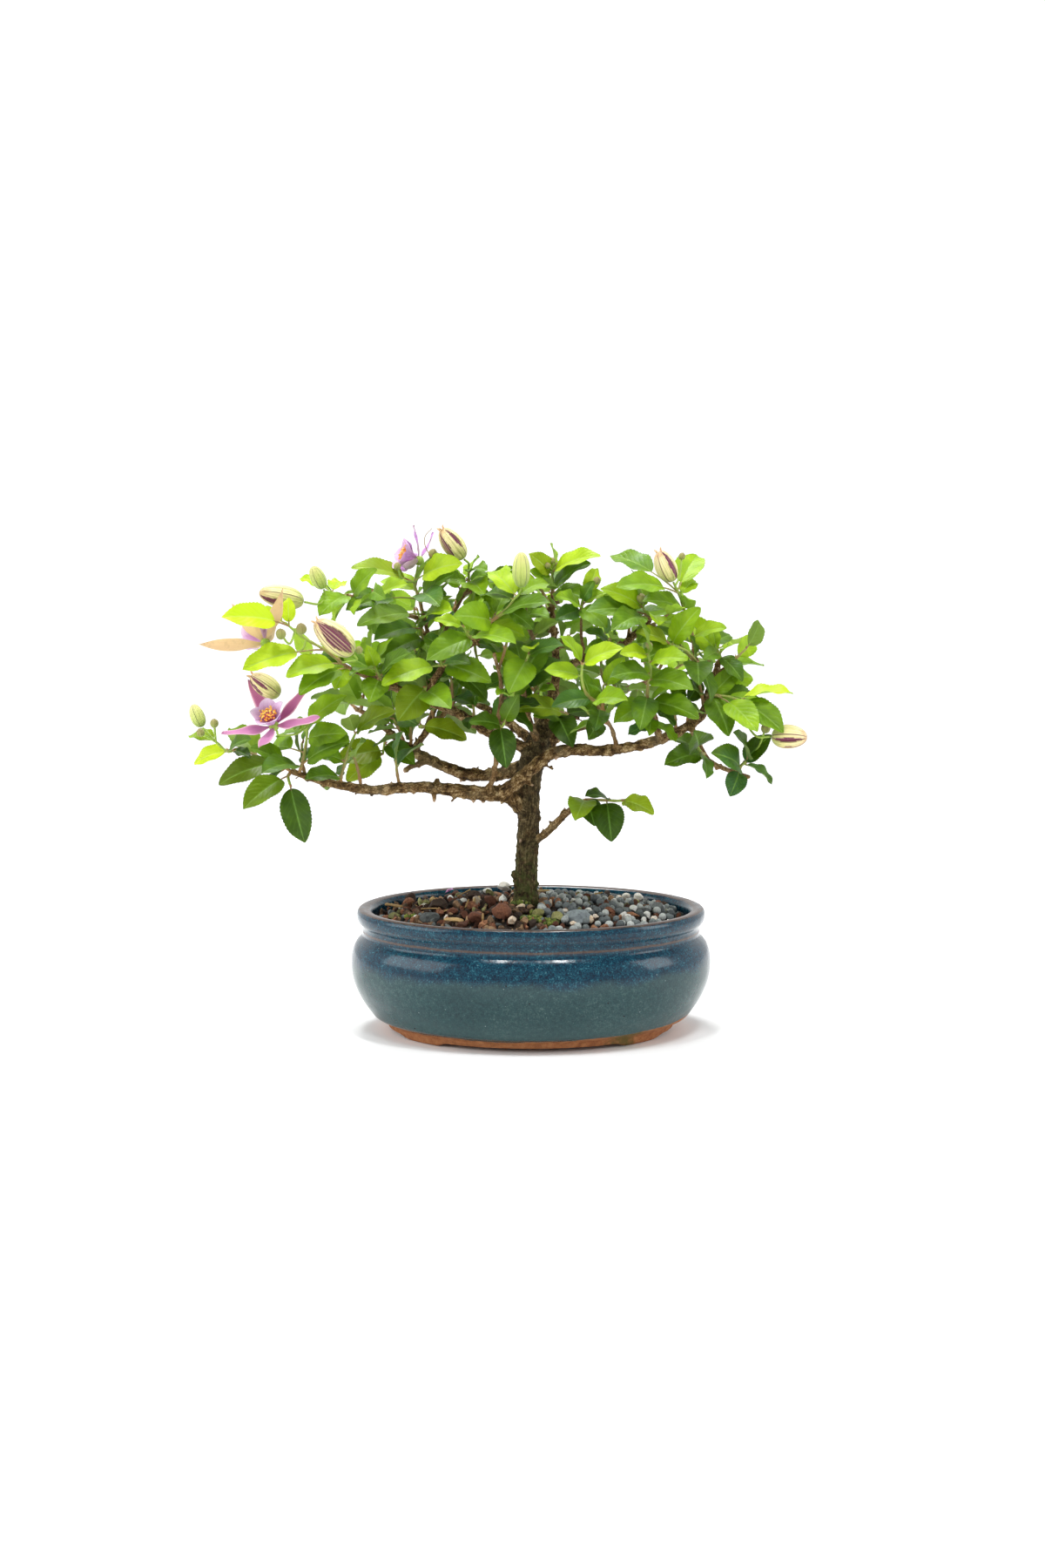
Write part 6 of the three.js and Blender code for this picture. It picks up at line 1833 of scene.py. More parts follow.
def petal_finish():
    f = Finish("lavender petal")
    side, run = f.mark("across"), f.mark("along")
    streak = abs((side * 4 + (f.grain(3.0, 2) - 0.5) * 0.8).part() - 0.5)
    colour = f.ramp(run * 0.9 + (f.grain(2.4, 2) - 0.5) * 0.5 + f.mark("tint") * 0.3, [
        (0.0, (0.6, 0.24, 0.48)), (0.35, (0.72, 0.41, 0.76)), (0.75, (0.83, 0.6, 0.87)),
        (1.0, (0.92, 0.83, 0.94)),
    ])
    colour = f.mix(streak.above(0.34, 0.5) * 0.35, colour, (0.48, 0.2, 0.52))
    relief = f.grain(0.8, 3) * 0.6 + streak
    return f.sheer(0.28, (0.8, 0.55, 0.75), colour, 0.55, relief, 0.14, {"Sheen Weight": 0.2})


def filament_finish():
    f = Finish("stamen thread")
    colour = f.ramp(f.mark("along") + (f.grain(1.5, 2) - 0.5) * 0.4, [
        (0.0, (0.62, 0.12, 0.24)), (0.6, (0.8, 0.2, 0.26)), (1.0, (0.85, 0.42, 0.2)),
    ])
    grain = f.grain(0.3, 2)
    return f.solid(colour, 0.5 + grain * 0.2, grain, 0.05)


def anther_finish():
    f = Finish("stamen head")
    grain = f.grain(0.22, 3)
    colour = f.ramp(f.mark("tone") * 0.7 + grain * 0.4, [
        (0.0, (0.75, 0.22, 0.03)), (0.5, (0.86, 0.42, 0.045)), (1.0, (0.9, 0.66, 0.14)),
    ])
    return f.solid(colour, 0.72, grain, 0.1)


def bark_finish():
    """Bark: dark on the trunk, browner on limbs and twigs, with moss low down and bare wood at cuts."""
    f = Finish("bark")
    girth, cut, relief = f.mark("girth"), f.mark("cut"), f.mark("relief")
    height = f.height()
    coarse = f.grain(5.5, 4, 0.6)
    blotch = f.grain(13, 2)
    fine = f.grain(0.8, 4, 0.7)
    dust = f.grain(0.28, 2)
    strands = {k: f.mark("strand_" + axis) for k, axis in enumerate("xyz")}
    strand = f.grain(0.75, 3, 0.6, f.node("CombineXYZ", {}, strands))
    # The carved relief darkens the bark in its hollows and lightens it on its ridges: painted shade and
    # light, over the bark's own grain from the other terms.
    depth = relief * 0.8 + 0.52 + (strand - 0.5) * 1.2 + (fine - 0.5) * 0.9 + (dust - 0.5) * 0.5
    trunk = f.ramp(depth, [
        (0.0, (0.007, 0.005, 0.002)), (0.35, (0.034, 0.024, 0.01)), (0.62, (0.09, 0.066, 0.028)),
        (1.0, (0.28, 0.22, 0.115)),
    ])
    limb = f.ramp(depth + (coarse - 0.5) * 0.2, [
        (0.0, (0.014, 0.007, 0.002)), (0.34, (0.066, 0.036, 0.013)), (0.6, (0.21, 0.125, 0.045)),
        (0.95, (0.64, 0.47, 0.25)),
    ])
    colour = f.mix(girth.above(5.0, 3.2), trunk, limb)
    twig = f.ramp(depth, [
        (0.0, (0.07, 0.036, 0.012)), (0.5, (0.22, 0.125, 0.048)), (1.0, (0.5, 0.36, 0.19)),
    ])
    colour = f.mix(girth.above(1.5, 0.95), colour, twig)
    weathered = (blotch + (fine - 0.5) * 0.4).above(0.5, 0.62) * girth.above(4.4, 3.2)
    colour = f.mix(weathered * 0.25, colour, (0.36, 0.29, 0.16))
    rusty = (coarse + (dust - 0.5) * 0.3).above(0.56, 0.66)
    colour = f.mix(rusty * 0.25, colour, (0.16, 0.075, 0.03))
    moss = height.above(90, 58) * (f.grain(1.9, 4) * 0.8 + depth * 0.25).above(0.45, 0.62)
    colour = f.mix(moss * 0.75, colour, (0.045, 0.065, 0.012))
    bright_moss = height.above(62, 50) * f.grain(0.9, 3).above(0.5, 0.62)
    colour = f.mix(bright_moss * 0.6, colour, (0.11, 0.14, 0.02))
    wood = f.ramp(f.grain(0.5, 3) + coarse * 0.4, [
        (0.3, (0.24, 0.13, 0.08)), (0.6, (0.5, 0.33, 0.21)), (1.0, (0.66, 0.5, 0.35)),
    ])
    colour = f.mix(cut * 0.85, colour, wood)
    relief = strand * 0.8 + fine * 0.6 + dust * 0.3 + coarse * 0.3
    roughness = 0.78 + (dust - 0.5) * 0.25 - moss * 0.05
    return f.solid(colour, roughness, relief, 0.9, {"Specular IOR Level": 0.15})


def glaze_finish():
    """Blue glaze, dark where it runs over the shoulder, with the belly below painted lighter and greyer as a
    painted reflection of the table; it breaks to brown on the edges, over bare clay.
    """
    f = Finish("blue glaze")
    height = f.height()
    slow = f.grain(34, 2)
    flow = f.grain(9, 3)
    speck = f.grain(0.55, 2, 0.6)
    mottle = f.grain(1.8, 3, 0.6)
    run = (slow - 0.5) * 13 + (flow - 0.5) * 3.5
    # Painted reflection of the table: below this wavy edge the belly is lighter and greyer than the
    # shoulder.
    shoulder = (height + run).above(SHOULDER_HEIGHT, SHOULDER_HEIGHT + 4)
    deep = f.ramp(mottle * 0.35 + speck * 0.65 + (flow - 0.5) * 0.15, [
        (0.32, (0.0, 0.004, 0.012)), (0.47, (0.0, 0.018, 0.039)), (0.6, (0.003, 0.058, 0.09)),
        (0.74, (0.08, 0.21, 0.235)),
    ])
    belly = f.ramp(mottle * 0.4 + speck * 0.5 + (slow - 0.5) * 0.35, [
        (0.3, (0.006, 0.028, 0.034)), (0.5, (0.018, 0.056, 0.06)), (0.7, (0.075, 0.13, 0.12)),
    ])
    colour = f.mix(shoulder, belly, deep)
    # Painted reflection of the table: the glaze turns lighter and greyer still towards the foot.
    low = (height + run * 0.35).above(18, 7)
    colour = f.mix(low * 0.4, colour, (0.03, 0.075, 0.075))
    pale = f.cells(3.4).above(0.09, 0.03) * f.grain(8, 1).above(0.5, 0.6)
    colour = f.mix(pale * 0.5, colour, (0.4, 0.52, 0.5))
    line = abs(height + (flow - 0.5) * 0.8 - NECK_LINE_HEIGHT).above(0.75, 0.15)
    lip = abs(height + (flow - 0.5) * 1.0 - LIP_HEIGHT).above(0.6, 0.1)
    edge = abs(height + (flow - 0.5) * 0.6 - RIM_LINE_HEIGHT).above(0.5, 0.1) * 0.25
    broken = ((line + lip + edge) * (0.35 + mottle)).clamped()
    colour = f.mix(broken * 0.65, colour, (0.13, 0.062, 0.026))
    pit = f.cells(7.5).above(0.055, 0.035)
    colour = f.shade(pit, colour, (0.05, 0.05, 0.06))
    across = f.node("SeparateXYZ", {}, {"Vector": f.place}, "X") * (1 / MM / FOOT_RADIUS)
    bare = (height - across * across * 2.0 + (f.grain(12, 3) - 0.5) * 3.0).above(4.9, 4.5)
    dirt = f.grain(2.4, 3)
    clay = f.ramp(dirt * 0.7 + f.grain(0.4, 2) * 0.4, [
        (0.3, (0.14, 0.048, 0.016)), (0.55, (0.31, 0.12, 0.045)), (0.85, (0.46, 0.21, 0.09)),
    ])
    spot = f.node("VectorMath", {"operation": "DISTANCE"},
                  {0: f.place, 1: tuple(place(MOSS_ON_FOOT))}, "Value") * (1 / MM)
    mossy = (spot + (dirt - 0.5) * 12).above(11, 4) * bare
    clay = f.mix(mossy * 0.8, clay, (0.09, 0.085, 0.02))
    colour = f.mix(bare, colour, clay)
    relief = (1 - bare) * (flow * 1.2 + speck * 0.1 - pit * 1.5) + bare * (dirt + speck) * 0.5
    roughness = 0.14 + mottle * 0.12 + broken * 0.15 + bare * 0.6
    gloss = {"Coat Weight": (1 - bare) * 0.15, "Coat Roughness": 0.04, "IOR": 1.33}
    return f.solid(colour, roughness, relief, 0.22, gloss)


def grit_finish(name, stops, rough, size=1.2, pits=0.4):
    """Loose pieces of one kind; the mark tone makes each piece lighter or darker."""
    f = Finish(name)
    grain = f.grain(size, 4, 0.65)
    fine = f.grain(size / 4, 3)
    hollow = f.cells(size * 0.7).above(0.4, 0.1)
    level = f.mark("tone") * 0.75 + (grain - 0.5) * 0.7 + (fine - 0.5) * 0.3 + 0.12
    colour = f.ramp(level, stops)
    # Painted shade: the hollows of the pits are darkened.
    colour = f.shade(hollow * pits, colour, (0.35, 0.32, 0.3))
    relief = grain + fine * 0.4 - hollow * pits
    return f.solid(colour, rough + (fine - 0.5) * 0.2, relief, 0.35, {"Specular IOR Level": 0.4})


def floor_finish():
    f = Finish("pale table")
    grain = f.grain(40, 2)
    colour = f.ramp(grain, [(0.0, (0.93, 0.93, 0.935)), (1.0, (0.955, 0.955, 0.955))])
    return f.solid(colour, 0.55, grain, 0.1, {"Specular IOR Level": 0.2})


# Pot


def curve_points(a, b, c, d, count):
    """Points from a to d on the smooth curve that b and c pull, without a itself."""
    t = np.linspace(0, 1, count)[1:, None]
    a, b, c, d = vec(a), vec(b), vec(c), vec(d)
    return (1 - t) ** 3 * a + 3 * t * (1 - t) ** 2 * b + 3 * t * t * (1 - t) * c + t**3 * d


def pot_profile():
    """Radius and height of the wall, from the middle underneath round to the middle of the floor."""
    under = [[0.5, FOOT_HEIGHT], [FOOT_INNER_RADIUS, FOOT_HEIGHT], [FOOT_INNER_RADIUS + 0.5, 0]]
    under += [[FOOT_RADIUS, 0], [FOOT_RADIUS + 1.5, FOOT_HEIGHT], [66.8, 6.4], [70.2, 11]]
    belly = curve_points(under[-1], [73.6, 16], [BELLY_RADIUS, 22], [BELLY_RADIUS, 29], 24)
    shoulder = curve_points([BELLY_RADIUS, 29], [BELLY_RADIUS, 35], [74.6, 39], [71.2, 40.6], 20)
    neck = [[71.9, 42.6], [71.2, 44.2], [73.6, 46.6], [RIM_RADIUS, 49.6], [73.4, 52], [71.8, RIM_HEIGHT]]
    inside = [[68.2, 51.8], [MOUTH_RADIUS, 49.9], [MOUTH_RADIUS, 30]]
    bowl = curve_points(inside[-1], [MOUTH_RADIUS, 18], [62, FLOOR_TOP], [50, FLOOR_TOP], 12)
    points = np.vstack([under, belly, shoulder, neck, inside, bowl, [[0.5, FLOOR_TOP]]])
    run = run_along(points)
    steps = [np.linspace(0, run[1], 8)[:-1], np.arange(run[1], run[-8], POT_STEP)]
    even = np.unique(np.concatenate([*steps, np.linspace(run[-8], run[-1], 20)]))
    fine = np.stack([np.interp(even, run, points[:, k]) for k in range(2)], axis=1)
    for _ in range(3):
        fine[1:-1] = fine[1:-1] * 0.5 + (fine[:-2] + fine[2:]) * 0.25
    return fine


def pot_piece(finish):
    """The oval pot, slightly uneven as a thrown pot is, with gaps between its feet and two drain holes."""
    profile = pot_profile()
    turns = ring_turns(POT_SIDES)
    radius, height = profile[:, :1], profile[:, 1:]
    x = radius * np.cos(turns)
    y = radius * np.sin(turns) * POT_DEPTH_SHARE
    z = np.broadcast_to(height, x.shape).copy()
    lift = np.zeros_like(x)
    for way, gap in [(x, FOOT_GAP_ALONG / 2), (y, FOOT_GAP_ACROSS / 2)]:
        raised = 1 - step_up(gap - FOOT_BLEND, gap + FOOT_BLEND, np.abs(way))
        lift = np.maximum(lift, raised * FOOT_LIFT)
    low = z < FOOT_HEIGHT - 0.05
    z = np.where(low & (radius > 45), np.maximum(z, lift), z)
    thin = 1 + 0.0022 * np.sin(turns * 2 + 0.6) + 0.0014 * np.sin(turns * 5 + 1.9)
    uneven = step_up(12, 30, z)
    x, y = x * (1 - uneven * (1.0036 - thin)), y * (1 - uneven * (1.0036 - thin))
    clay = Clay()
    clay.skin(np.stack([x, y, z], axis=-1), [0, 0, FOOT_HEIGHT], [0, 0, FLOOR_TOP], 0)
    piece = make_piece("glazed_pot", clay, [finish], crease=60)
    plugs = Clay()
    for x in [-DRAIN_SPACING / 2, DRAIN_SPACING / 2]:
        at = np.array([[x, 0, z] for z in [0.5, 4, 8, 14]], float)
        plugs.tube(with_directions(at, np.full(4, float(DRAIN_RADIUS))), 40)
    plug = make_piece("drain_plugs", plugs, [finish], crease=0)
    cut = piece.modifiers.new("drains", "BOOLEAN")
    cut.operation = "DIFFERENCE"
    cut.solver = "EXACT"
    cut.object = plug
    mesh = mesh_of(piece)
    piece.modifiers.clear()
    piece.data = mesh
    bpy.data.objects.remove(plug)
    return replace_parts(piece, "pot")


# Soil, gravel and moss


def soil_height(x, y):
    share = (x / (MOUTH_RADIUS - SOIL_GAP)) ** 2 + (y / ((MOUTH_RADIUS - SOIL_GAP) * POT_DEPTH_SHARE)) ** 2
    return SOIL_EDGE + SOIL_CROWN * (1 - share)


def soil_skin(x, y):
    """Heights of the crumbly soil that the gravel lies on."""
    crumbs = [noise.fractal(Vector((a * 0.28, b * 0.28, 3)), 0.8, 2, 4) for a, b in zip(x, y, strict=True)]
    return soil_height(x, y) - GRAVEL_COVER + 1.1 * np.array(crumbs)


def soil_piece(finish):
    """The body of soil that fills the pot."""
    reach = MOUTH_RADIUS - SOIL_GAP
    turns = ring_turns(SOIL_SIDES)
    wall = [[12, SOIL_FLOOR], [30, SOIL_FLOOR], [48, 11.4], [55, 14], [61, 19], [64.4, 25]]
    wall += [[reach, 32], [reach, 40]]
    top = [[reach * k / SOIL_RINGS, None] for k in range(SOIL_RINGS, 0, -1)]
    rings = []
    for r, height in wall + top:
        x, y = r * np.cos(turns), r * POT_DEPTH_SHARE * np.sin(turns)
        z = np.full(SOIL_SIDES, float(height)) if height else soil_skin(x, y)
        rings.append(np.stack([x, y, z], axis=1))
    clay = Clay()
    clay.skin(np.array(rings), [0, 0, SOIL_FLOOR], [0, 0, rings[-1][:, 2].mean()], 0, tone=0.35)
    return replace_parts(make_piece("soil_bed", clay, [finish], crease=0), "soil")


BALLS = {}


def round_ball(level):
    """Points and faces of a ball made of even triangles."""
    if level not in BALLS:
        shape = bmesh.new()
        bmesh.ops.create_icosphere(shape, subdivisions=level, radius=1)
        shape.verts.index_update()
        points = np.array([list(v.co) for v in shape.verts])
        faces = [[v.index for v in face.verts] for face in shape.faces]
        shape.free()
        BALLS[level] = points, faces
    return BALLS[level]


def turned(points, seed):
    """Points turned by a repeatable random turn."""
    rx, ry, rz = [spin(axis, draw(seed, 21, axis) * math.pi * 2) for axis in range(3)]
    return points @ (rx @ ry @ rz).T


def chipped(level, seed, cuts, depth):
    """A ball with flat chips knocked off it."""
    points, faces = round_ball(level)
    points = points.copy()
    for k in range(cuts):
        way = unit(vec([draw(seed, 22, 3 * k + j) - 0.5 for j in range(3)]) + 1e-4)
        limit = 1 - depth * (0.4 + 0.9 * draw(seed, 23, k))
        over = np.maximum(points @ way - limit, 0)
        points -= over[:, None] * way
    return lumpy(points, 0.05, 2.3, (seed * 1.7, 0, 0)), faces


def add_grit(clay, seed, at, sizes, level, cuts, depth, tilt=None, tone=None):
    """A chipped stone. With no tilt it is turned any way; else it lies down, tilted by up to half of it."""
    points, faces = chipped(level, seed, cuts, depth)
    points = points * vec(sizes)
    if tilt is None:
        points = turned(points, seed)
    else:
        turn = spin(2, draw(seed, 24, 1) * math.pi * 2)
        points = points @ (turn @ spin(0, (draw(seed, 24, 2) - 0.5) * tilt)).T
    clay.add(points + at, faces, 0, tone=draw(seed, 24, 3) if tone is None else tone)


def scatter(count, spacing, side, seed):
    """Places on the soil that keep their distance: side is the range of x."""
    reach = MOUTH_RADIUS - SOIL_GAP - GRAVEL_EDGE
    kept = []
    for k in range(count * 6):
        x = side[0] + (side[1] - side[0]) * draw(seed, k, 31)
        y = (draw(seed, k, 32) * 2 - 1) * reach * POT_DEPTH_SHARE
        if (x / reach) ** 2 + (y / (reach * POT_DEPTH_SHARE)) ** 2 > 1:
            continue
        if math.hypot(x + 2, y) < TRUNK_KEEP_OFF:
            continue
        if any(math.hypot(x - a, y - b) < spacing for a, b in kept):
            continue
        kept.append((x, y))
        if len(kept) == count:
            break
    return kept


def on_soil(x, y, lift):
    return vec([x, y, float(soil_height(x, y)) + lift])


def is_taken(x, y, reach):
    """True where a single stone already lies."""
    return any(
        math.hypot((x - a) / (half[0] + reach * 0.6), (y - b) / (half[1] + reach * 0.6)) < 1
        for _, (a, b), _, _, half in NOTED_STONES
    )


def kind_at(share, kinds):
    """The first kind whose limit lies over the share."""
    return next(kind for kind, limit in kinds.items() if share < limit)


UNDER_LEFT = {"bark": 0.55, "lava": 0.85, "dark": 1}
UNDER_RIGHT = {"lava": 0.3, "dark": 0.55, "bead": 0.9, "white": 1}
OVER_RIGHT = {"bead": 0.56, "lava": 0.75, "white": 0.85, "dark": 0.92, "olive": 0.96, "bark": 1}
OVER_LEFT = {"bark": 0.46, "lava": 0.76, "dark": 0.86, "straw": 0.92, "olive": 0.96, "white": 1}


def gravel_pieces(finishes):
    """Gravel by kinds: a lower layer, beads at the right, chips at the left, single stones and straws."""
    kinds = {name: Clay() for name in ["bark", "lava", "bead", "white", "dark", "straw", "olive"]}
    for k, (x, y) in enumerate(scatter(210, 3.9, (-GRAVEL_REACH, GRAVEL_REACH), 1)):
        left = x + 8 * (draw(k, 33, 1) - 0.5) < 4
        kind = kind_at(draw(k, 33, 2), UNDER_LEFT if left else UNDER_RIGHT)
        size = 2.4 + 1.6 * draw(k, 33, 3)
        flat = [size, size * (0.6 + 0.3 * draw(k, 33, 4)), size * (0.45 + 0.2 * draw(k, 33, 5))]
        if kind == "bead":
            add_grit(kinds[kind], 1000 + k, on_soil(x, y, -0.6), [1.7, 1.6, 1.5], 2, 3, 0.14)
        else:
            add_grit(kinds[kind], 1000 + k, on_soil(x, y, -0.7), flat, 3, 9, 0.5)
    for k, (x, y) in enumerate(scatter(230, 3.15, (3, GRAVEL_REACH), 2)):
        wide = 1.3 + 0.65 * draw(k, 34, 1)
        if is_taken(x, y, wide):
            continue
        kind = kind_at(draw(k, 34, 2), OVER_RIGHT)
        if kind == "bead":
            add_grit(kinds[kind], 2000 + k, on_soil(x, y, 0.6 + 1.1 * draw(k, 34, 3)),
                     [wide * 1.1, wide, wide * 0.94], 2, 2, 0.12)
        else:
            add_grit(kinds[kind], 2000 + k, on_soil(x, y, 0.6), [wide * 1.2, wide, wide * 0.8],
                     2 if wide < 1.6 else 3, 9, 0.45)
    for k, (x, y) in enumerate(scatter(330, 2.8, (-GRAVEL_REACH, 6), 3)):
        if is_taken(x, y, 1.2):
            continue
        kind = kind_at(draw(k, 35, 2), OVER_LEFT)
        long = 1.2 + 2.4 * draw(k, 35, 1) ** 1.6
        slim = 0.3 if kind == "straw" else 0.55 + 0.35 * draw(k, 35, 3)
        add_grit(kinds[kind], 3000 + k, on_soil(x, y, 0.4 + 0.9 * draw(k, 35, 4)),
                 [long, long * slim, long * slim * 0.8], 2 if long < 2.2 else 3, 9, 0.5)
    for number, (kind, (x, y), lift, tone, half) in enumerate(NOTED_STONES):
        level = 4 if max(half) > 3 else 3
        add_grit(kinds[kind], 4000 + number, on_soil(x, y, lift), half, level, 9, 0.34, 0.25, tone)
    for start, end, half in STRAWS:
        shares = np.linspace(0, 1, 9)[:, None]
        at = vec(start) + shares * (vec(end) - vec(start)) + np.sin(shares * 5) * vec([0, 0.2, 0.1])
        radii = half * (0.9 + 0.2 * np.sin(np.arange(9) * 2.4))
        kinds["straw"].tube(with_directions(at, radii), 7, 0, 0.2, tone=0.3)
    for kind, clay in kinds.items():
        flat = () if kind in ("bead", "straw") else (0,)
        make_piece("gravel_" + kind, clay, [finishes[kind]], crease=0, flat=flat)


def big_stone(finish):
    """The loose grey stone, chipped all over."""
    middle, half = STONE
    points, faces = chipped(5, 77, 11, 0.26)
    rough = [1 + 0.05 * noise.fractal(Vector(p * 2.2), 0.8, 2, 5) for p in points]
    sized = points * np.array(rough)[:, None] * vec(half) * 1.02
    clay = Clay()
    clay.add(sized + vec(middle), faces, 0, tone=0.5)
    piece = make_piece("grey_stone", clay, [finish], crease=28)
    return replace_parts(piece, "stone")


def moss_piece(finish):
    """Low cushions of moss: many small tips close together."""
    clay = Clay()
    points, faces = round_ball(2)
    for number, (x, y, wide, count) in enumerate(MOSS):
        for k in range(count):
            seed = number * 90 + k
            turn = draw(seed, 41, 1) * math.pi * 2
            out = wide * math.sqrt(draw(seed, 41, 2))
            a, b = x + out * math.cos(turn), y + out * 0.7 * math.sin(turn)
            tall = 1.0 + 1.0 * draw(seed, 41, 3) * (1 - out / wide)
            sized = lumpy(points, 0.35, 3, (seed, 0, 0)) * vec([0.75, 0.75, tall])
            clay.add(sized + on_soil(a, b, 0.9), faces, 0, tone=draw(seed, 41, 4))
    return make_piece("moss", clay, [finish], crease=0)


# Dry thread


def thread_piece(finish):
    """The dry thread that stands beside the topmost bud."""
    clay = Clay()
    at = np.array([on_curve([vec(p) for p in THREAD], s) for s in np.linspace(0, 1, 16)])
    clay.tube(with_directions(at, np.linspace(0.22, 0.1, 16)), 6, 0, 0.5, ripe=0.7)
    return make_piece("dry_thread", clay, [finish])


def fallen_petal(finish):
    """A faded petal that lies on the soil behind the trunk."""
    start, end, wide = FALLEN_PETAL
    pose = blade_pose(on_soil(*start, 2.4), on_soil(*end, 4.4), 0, vec([0, 0, 1]), 0.5, wide)
    clay = Clay()
    add_blade(clay, pose, smooth_form(petal_width, 12, 0.34, 0.4), 0, 540, 0.3, tint=-1.2)
    return make_piece("fallen_petal", clay, [finish])


# Stage


def stage_floor(finish):
    bpy.ops.mesh.primitive_grid_add(x_subdivisions=2, y_subdivisions=2, size=TABLE_WIDTH)
    floor = bpy.context.object
    floor.name = "table"
    floor.data.materials.append(finish)


def soft_light(name, at, towards, size, power):
    """A rectangular lamp that shines at a place."""
    light = bpy.data.lights.new(name, "AREA")
    light.shape = "RECTANGLE"
    light.size, light.size_y = size
    light.energy = power
    lamp = bpy.data.objects.new(name, light)
    bpy.context.scene.collection.objects.link(lamp)
    lamp.location = Vector(place(at))
    lamp.rotation_euler = (Vector(place(towards)) - lamp.location).to_track_quat("-Z", "Y").to_euler()


def set_world():
    """A white studio that is darker overhead and where the viewer stands, so that gloss keeps its depth."""
    world = bpy.data.worlds.new("white studio")
    world.use_nodes = True
    nodes = Nodes(world.node_tree)
    way = nodes.node("TexCoord", {}, {}, "Generated")
    back = nodes.node("SeparateXYZ", {}, {"Vector": way}, "Y")
    up = nodes.node("SeparateXYZ", {}, {"Vector": way}, "Z")
    front = back.above(-0.25, -0.85) * up.above(0.85, 0.35)
    overhead = up.above(0.3, 0.75)
    dimmed = front * (1 - overhead) * (WORLD_LIGHT - VIEWER_SIDE_LIGHT)
    strength = WORLD_LIGHT - overhead * (WORLD_LIGHT - OVERHEAD_LIGHT) - dimmed
    background = nodes.node("Background", {}, {"Color": (1, 1, 1), "Strength": strength})
    output = world.node_tree.nodes.new("ShaderNodeOutputWorld")
    world.node_tree.links.new(background.socket, output.inputs["Surface"])
    bpy.context.scene.world = world


def set_camera():
    """The view of the photograph."""
    data = bpy.data.cameras.new("view")
    data.lens = FOCAL_LENGTH
    data.sensor_width = LONG_SIDE
    data.sensor_fit = "AUTO"
    data.clip_start = 0.05
    camera = bpy.data.objects.new("view", data)
    bpy.context.scene.collection.objects.link(camera)
    camera.location = Vector(place(EYE))
    camera.rotation_euler = (math.radians(90 - EYE_DIP), 0, 0)
    bpy.context.scene.camera = camera


# Everything together


thicket, limbs, sprays, flowers = place_plant()
leaf_look, shoot_look, knob_look = leaf_finish(), shoot_finish(), knob_finish()
spray_looks = [leaf_look, shoot_look, knob_look]
leaf_shape = leaf_form(16)
for number, spray in enumerate(sprays.values()):
    spray_piece(spray, number, leaf_shape, spray_looks)
inner_pieces(inner_shoots(thicket, limbs), leaf_form(10), spray_looks)

bud_look = bud_finish()
for name, _, base, tip, half_width, _ in BUDS:
    bud_piece(name, base, tip, half_width, [bud_look], BUD_LOOKS[name])

petal_look = petal_finish()
thread_looks = [filament_finish(), anther_finish()]
sepal_looks = {
    "flower_open": sepal_finish("magenta sepal", (0.36, 0.02, 0.2), (0.82, 0.52, 0.6), (0.7, 0.5, 0.26)),
    "flower_back": sepal_finish("peach sepal", (0.6, 0.2, 0.24), (0.86, 0.66, 0.42), (0.8, 0.57, 0.28)),
    "flower_top": sepal_finish("lilac sepal", (0.55, 0.2, 0.6), (0.75, 0.55, 0.8), (0.6, 0.4, 0.5)),
}
for name, flower in flowers.items():
    sepal_tint = 1 if name == "flower_open" else 0
    flower_looks = [sepal_looks[name], petal_look, shoot_look]
    flower_piece(name, flower, flower_looks, sepal_tint, FLOWER_TINTS[name])
    stamen_piece(name, flower, thread_looks)
bud_piece(*BUD_BEHIND, [bud_look], BUD_LOOKS["bud_behind"])
thread_piece(shoot_look)
fallen_petal(petal_look)

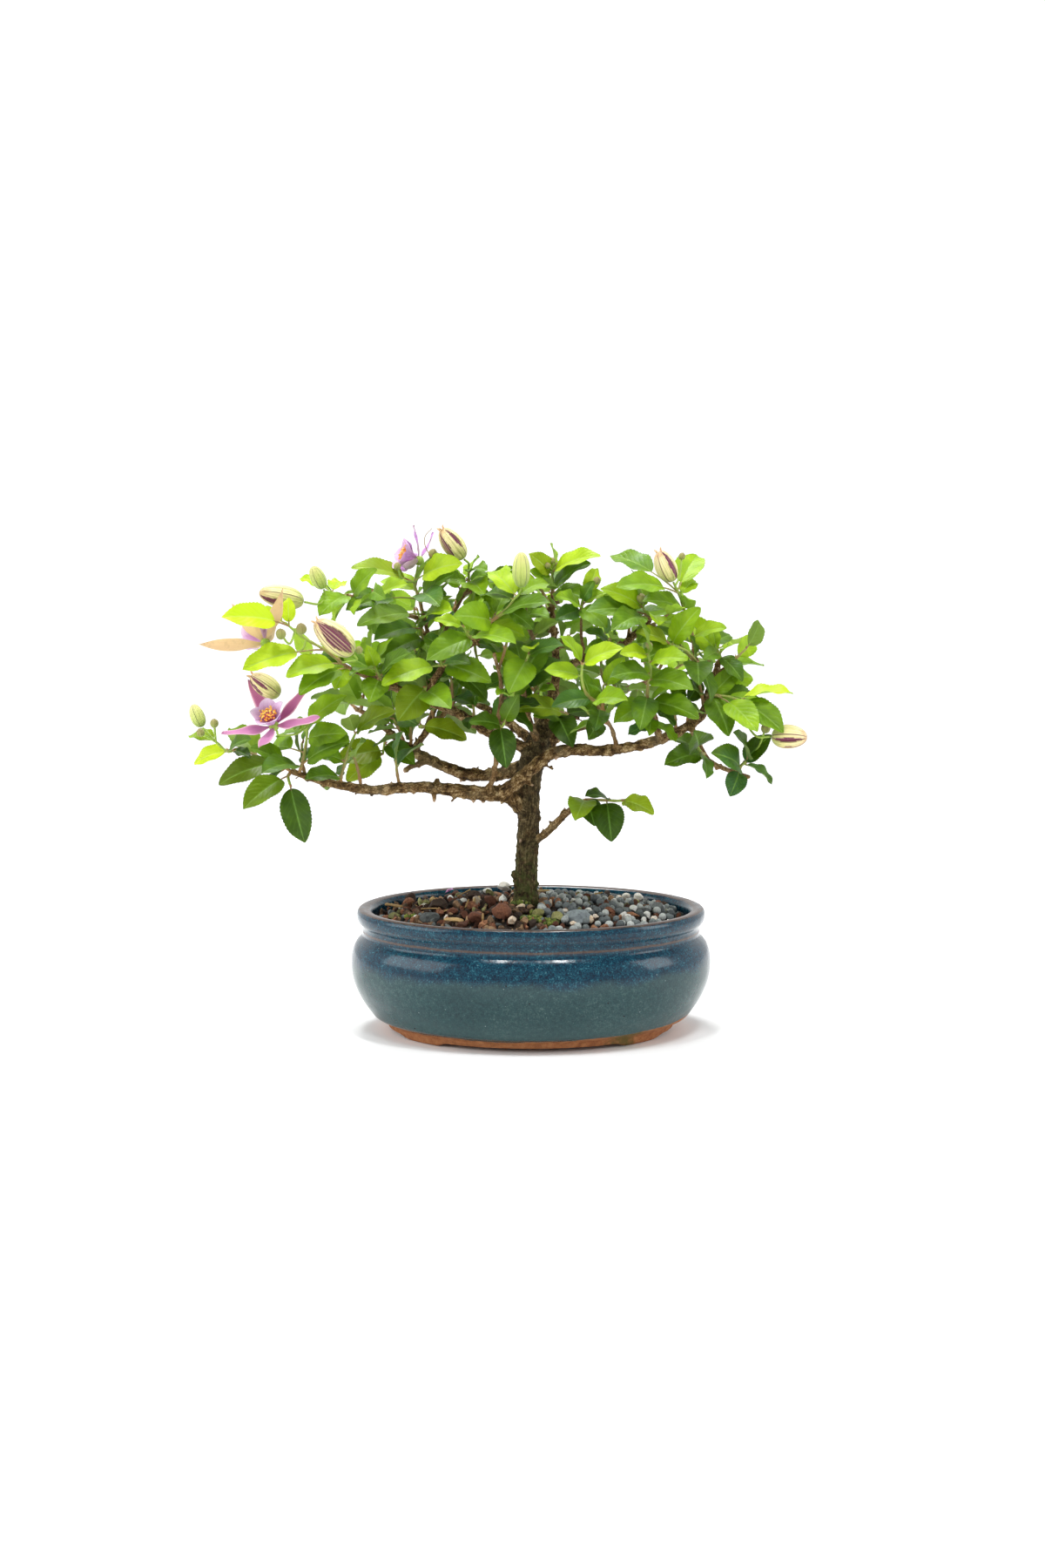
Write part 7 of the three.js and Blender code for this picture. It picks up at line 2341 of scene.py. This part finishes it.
wood_piece(bark_finish())
pot_piece(glaze_finish())
grit_looks = {
    "bark": grit_finish("bark chips", [
        (0.0, (0.006, 0.003, 0.001)), (0.5, (0.042, 0.02, 0.009)), (1.0, (0.33, 0.2, 0.1))], 0.8, 1.4),
    "lava": grit_finish("red lava", [
        (0.0, (0.022, 0.007, 0.003)), (0.5, (0.12, 0.038, 0.016)), (1.0, (0.42, 0.2, 0.1))], 0.85, 0.9, 0.7),
    "bead": grit_finish("grey beads", [
        (0.0, (0.035, 0.045, 0.05)), (0.5, (0.15, 0.175, 0.175)), (1.0, (0.58, 0.61, 0.58))], 0.6, 1.0, 0.2),
    "white": grit_finish("white grit", [
        (0.0, (0.55, 0.38, 0.22)), (0.3, (0.62, 0.53, 0.42)), (0.6, (0.6, 0.6, 0.56)),
        (1.0, (0.84, 0.84, 0.8))], 0.75, 1.2, 0.35),
    "olive": grit_finish("olive stones", [
        (0.0, (0.035, 0.035, 0.01)), (0.5, (0.15, 0.145, 0.045)),
        (1.0, (0.36, 0.36, 0.15))], 0.85, 1.6, 0.3),
    "dark": grit_finish("dark stones", [
        (0.0, (0.02, 0.024, 0.022)), (0.5, (0.07, 0.08, 0.078)), (1.0, (0.2, 0.22, 0.22))], 0.6, 1.5, 0.2),
    "straw": grit_finish("dry slivers", [
        (0.0, (0.13, 0.075, 0.025)), (0.5, (0.38, 0.24, 0.09)), (1.0, (0.7, 0.52, 0.26))], 0.8, 0.8, 0.35),
}
soil_piece(grit_finish("soil", [
    (0.0, (0.005, 0.003, 0.002)), (0.5, (0.03, 0.018, 0.011)), (1.0, (0.1, 0.062, 0.038))], 0.9, 1.3))
gravel_pieces(grit_looks)
big_stone(grit_finish("grey stone", [
    (0.0, (0.06, 0.075, 0.085)), (0.5, (0.16, 0.19, 0.2)), (1.0, (0.36, 0.4, 0.4))], 0.65, 2.2, 0.4))
moss_piece(grit_finish("moss green", [
    (0.0, (0.03, 0.045, 0.008)), (0.5, (0.1, 0.135, 0.02)), (1.0, (0.27, 0.3, 0.05))], 0.9, 0.6))

stage_floor(floor_finish())
set_world()
for lamp in LAMPS:
    soft_light(*lamp)
set_camera()
bpy.context.scene.view_settings.view_transform = "Standard"
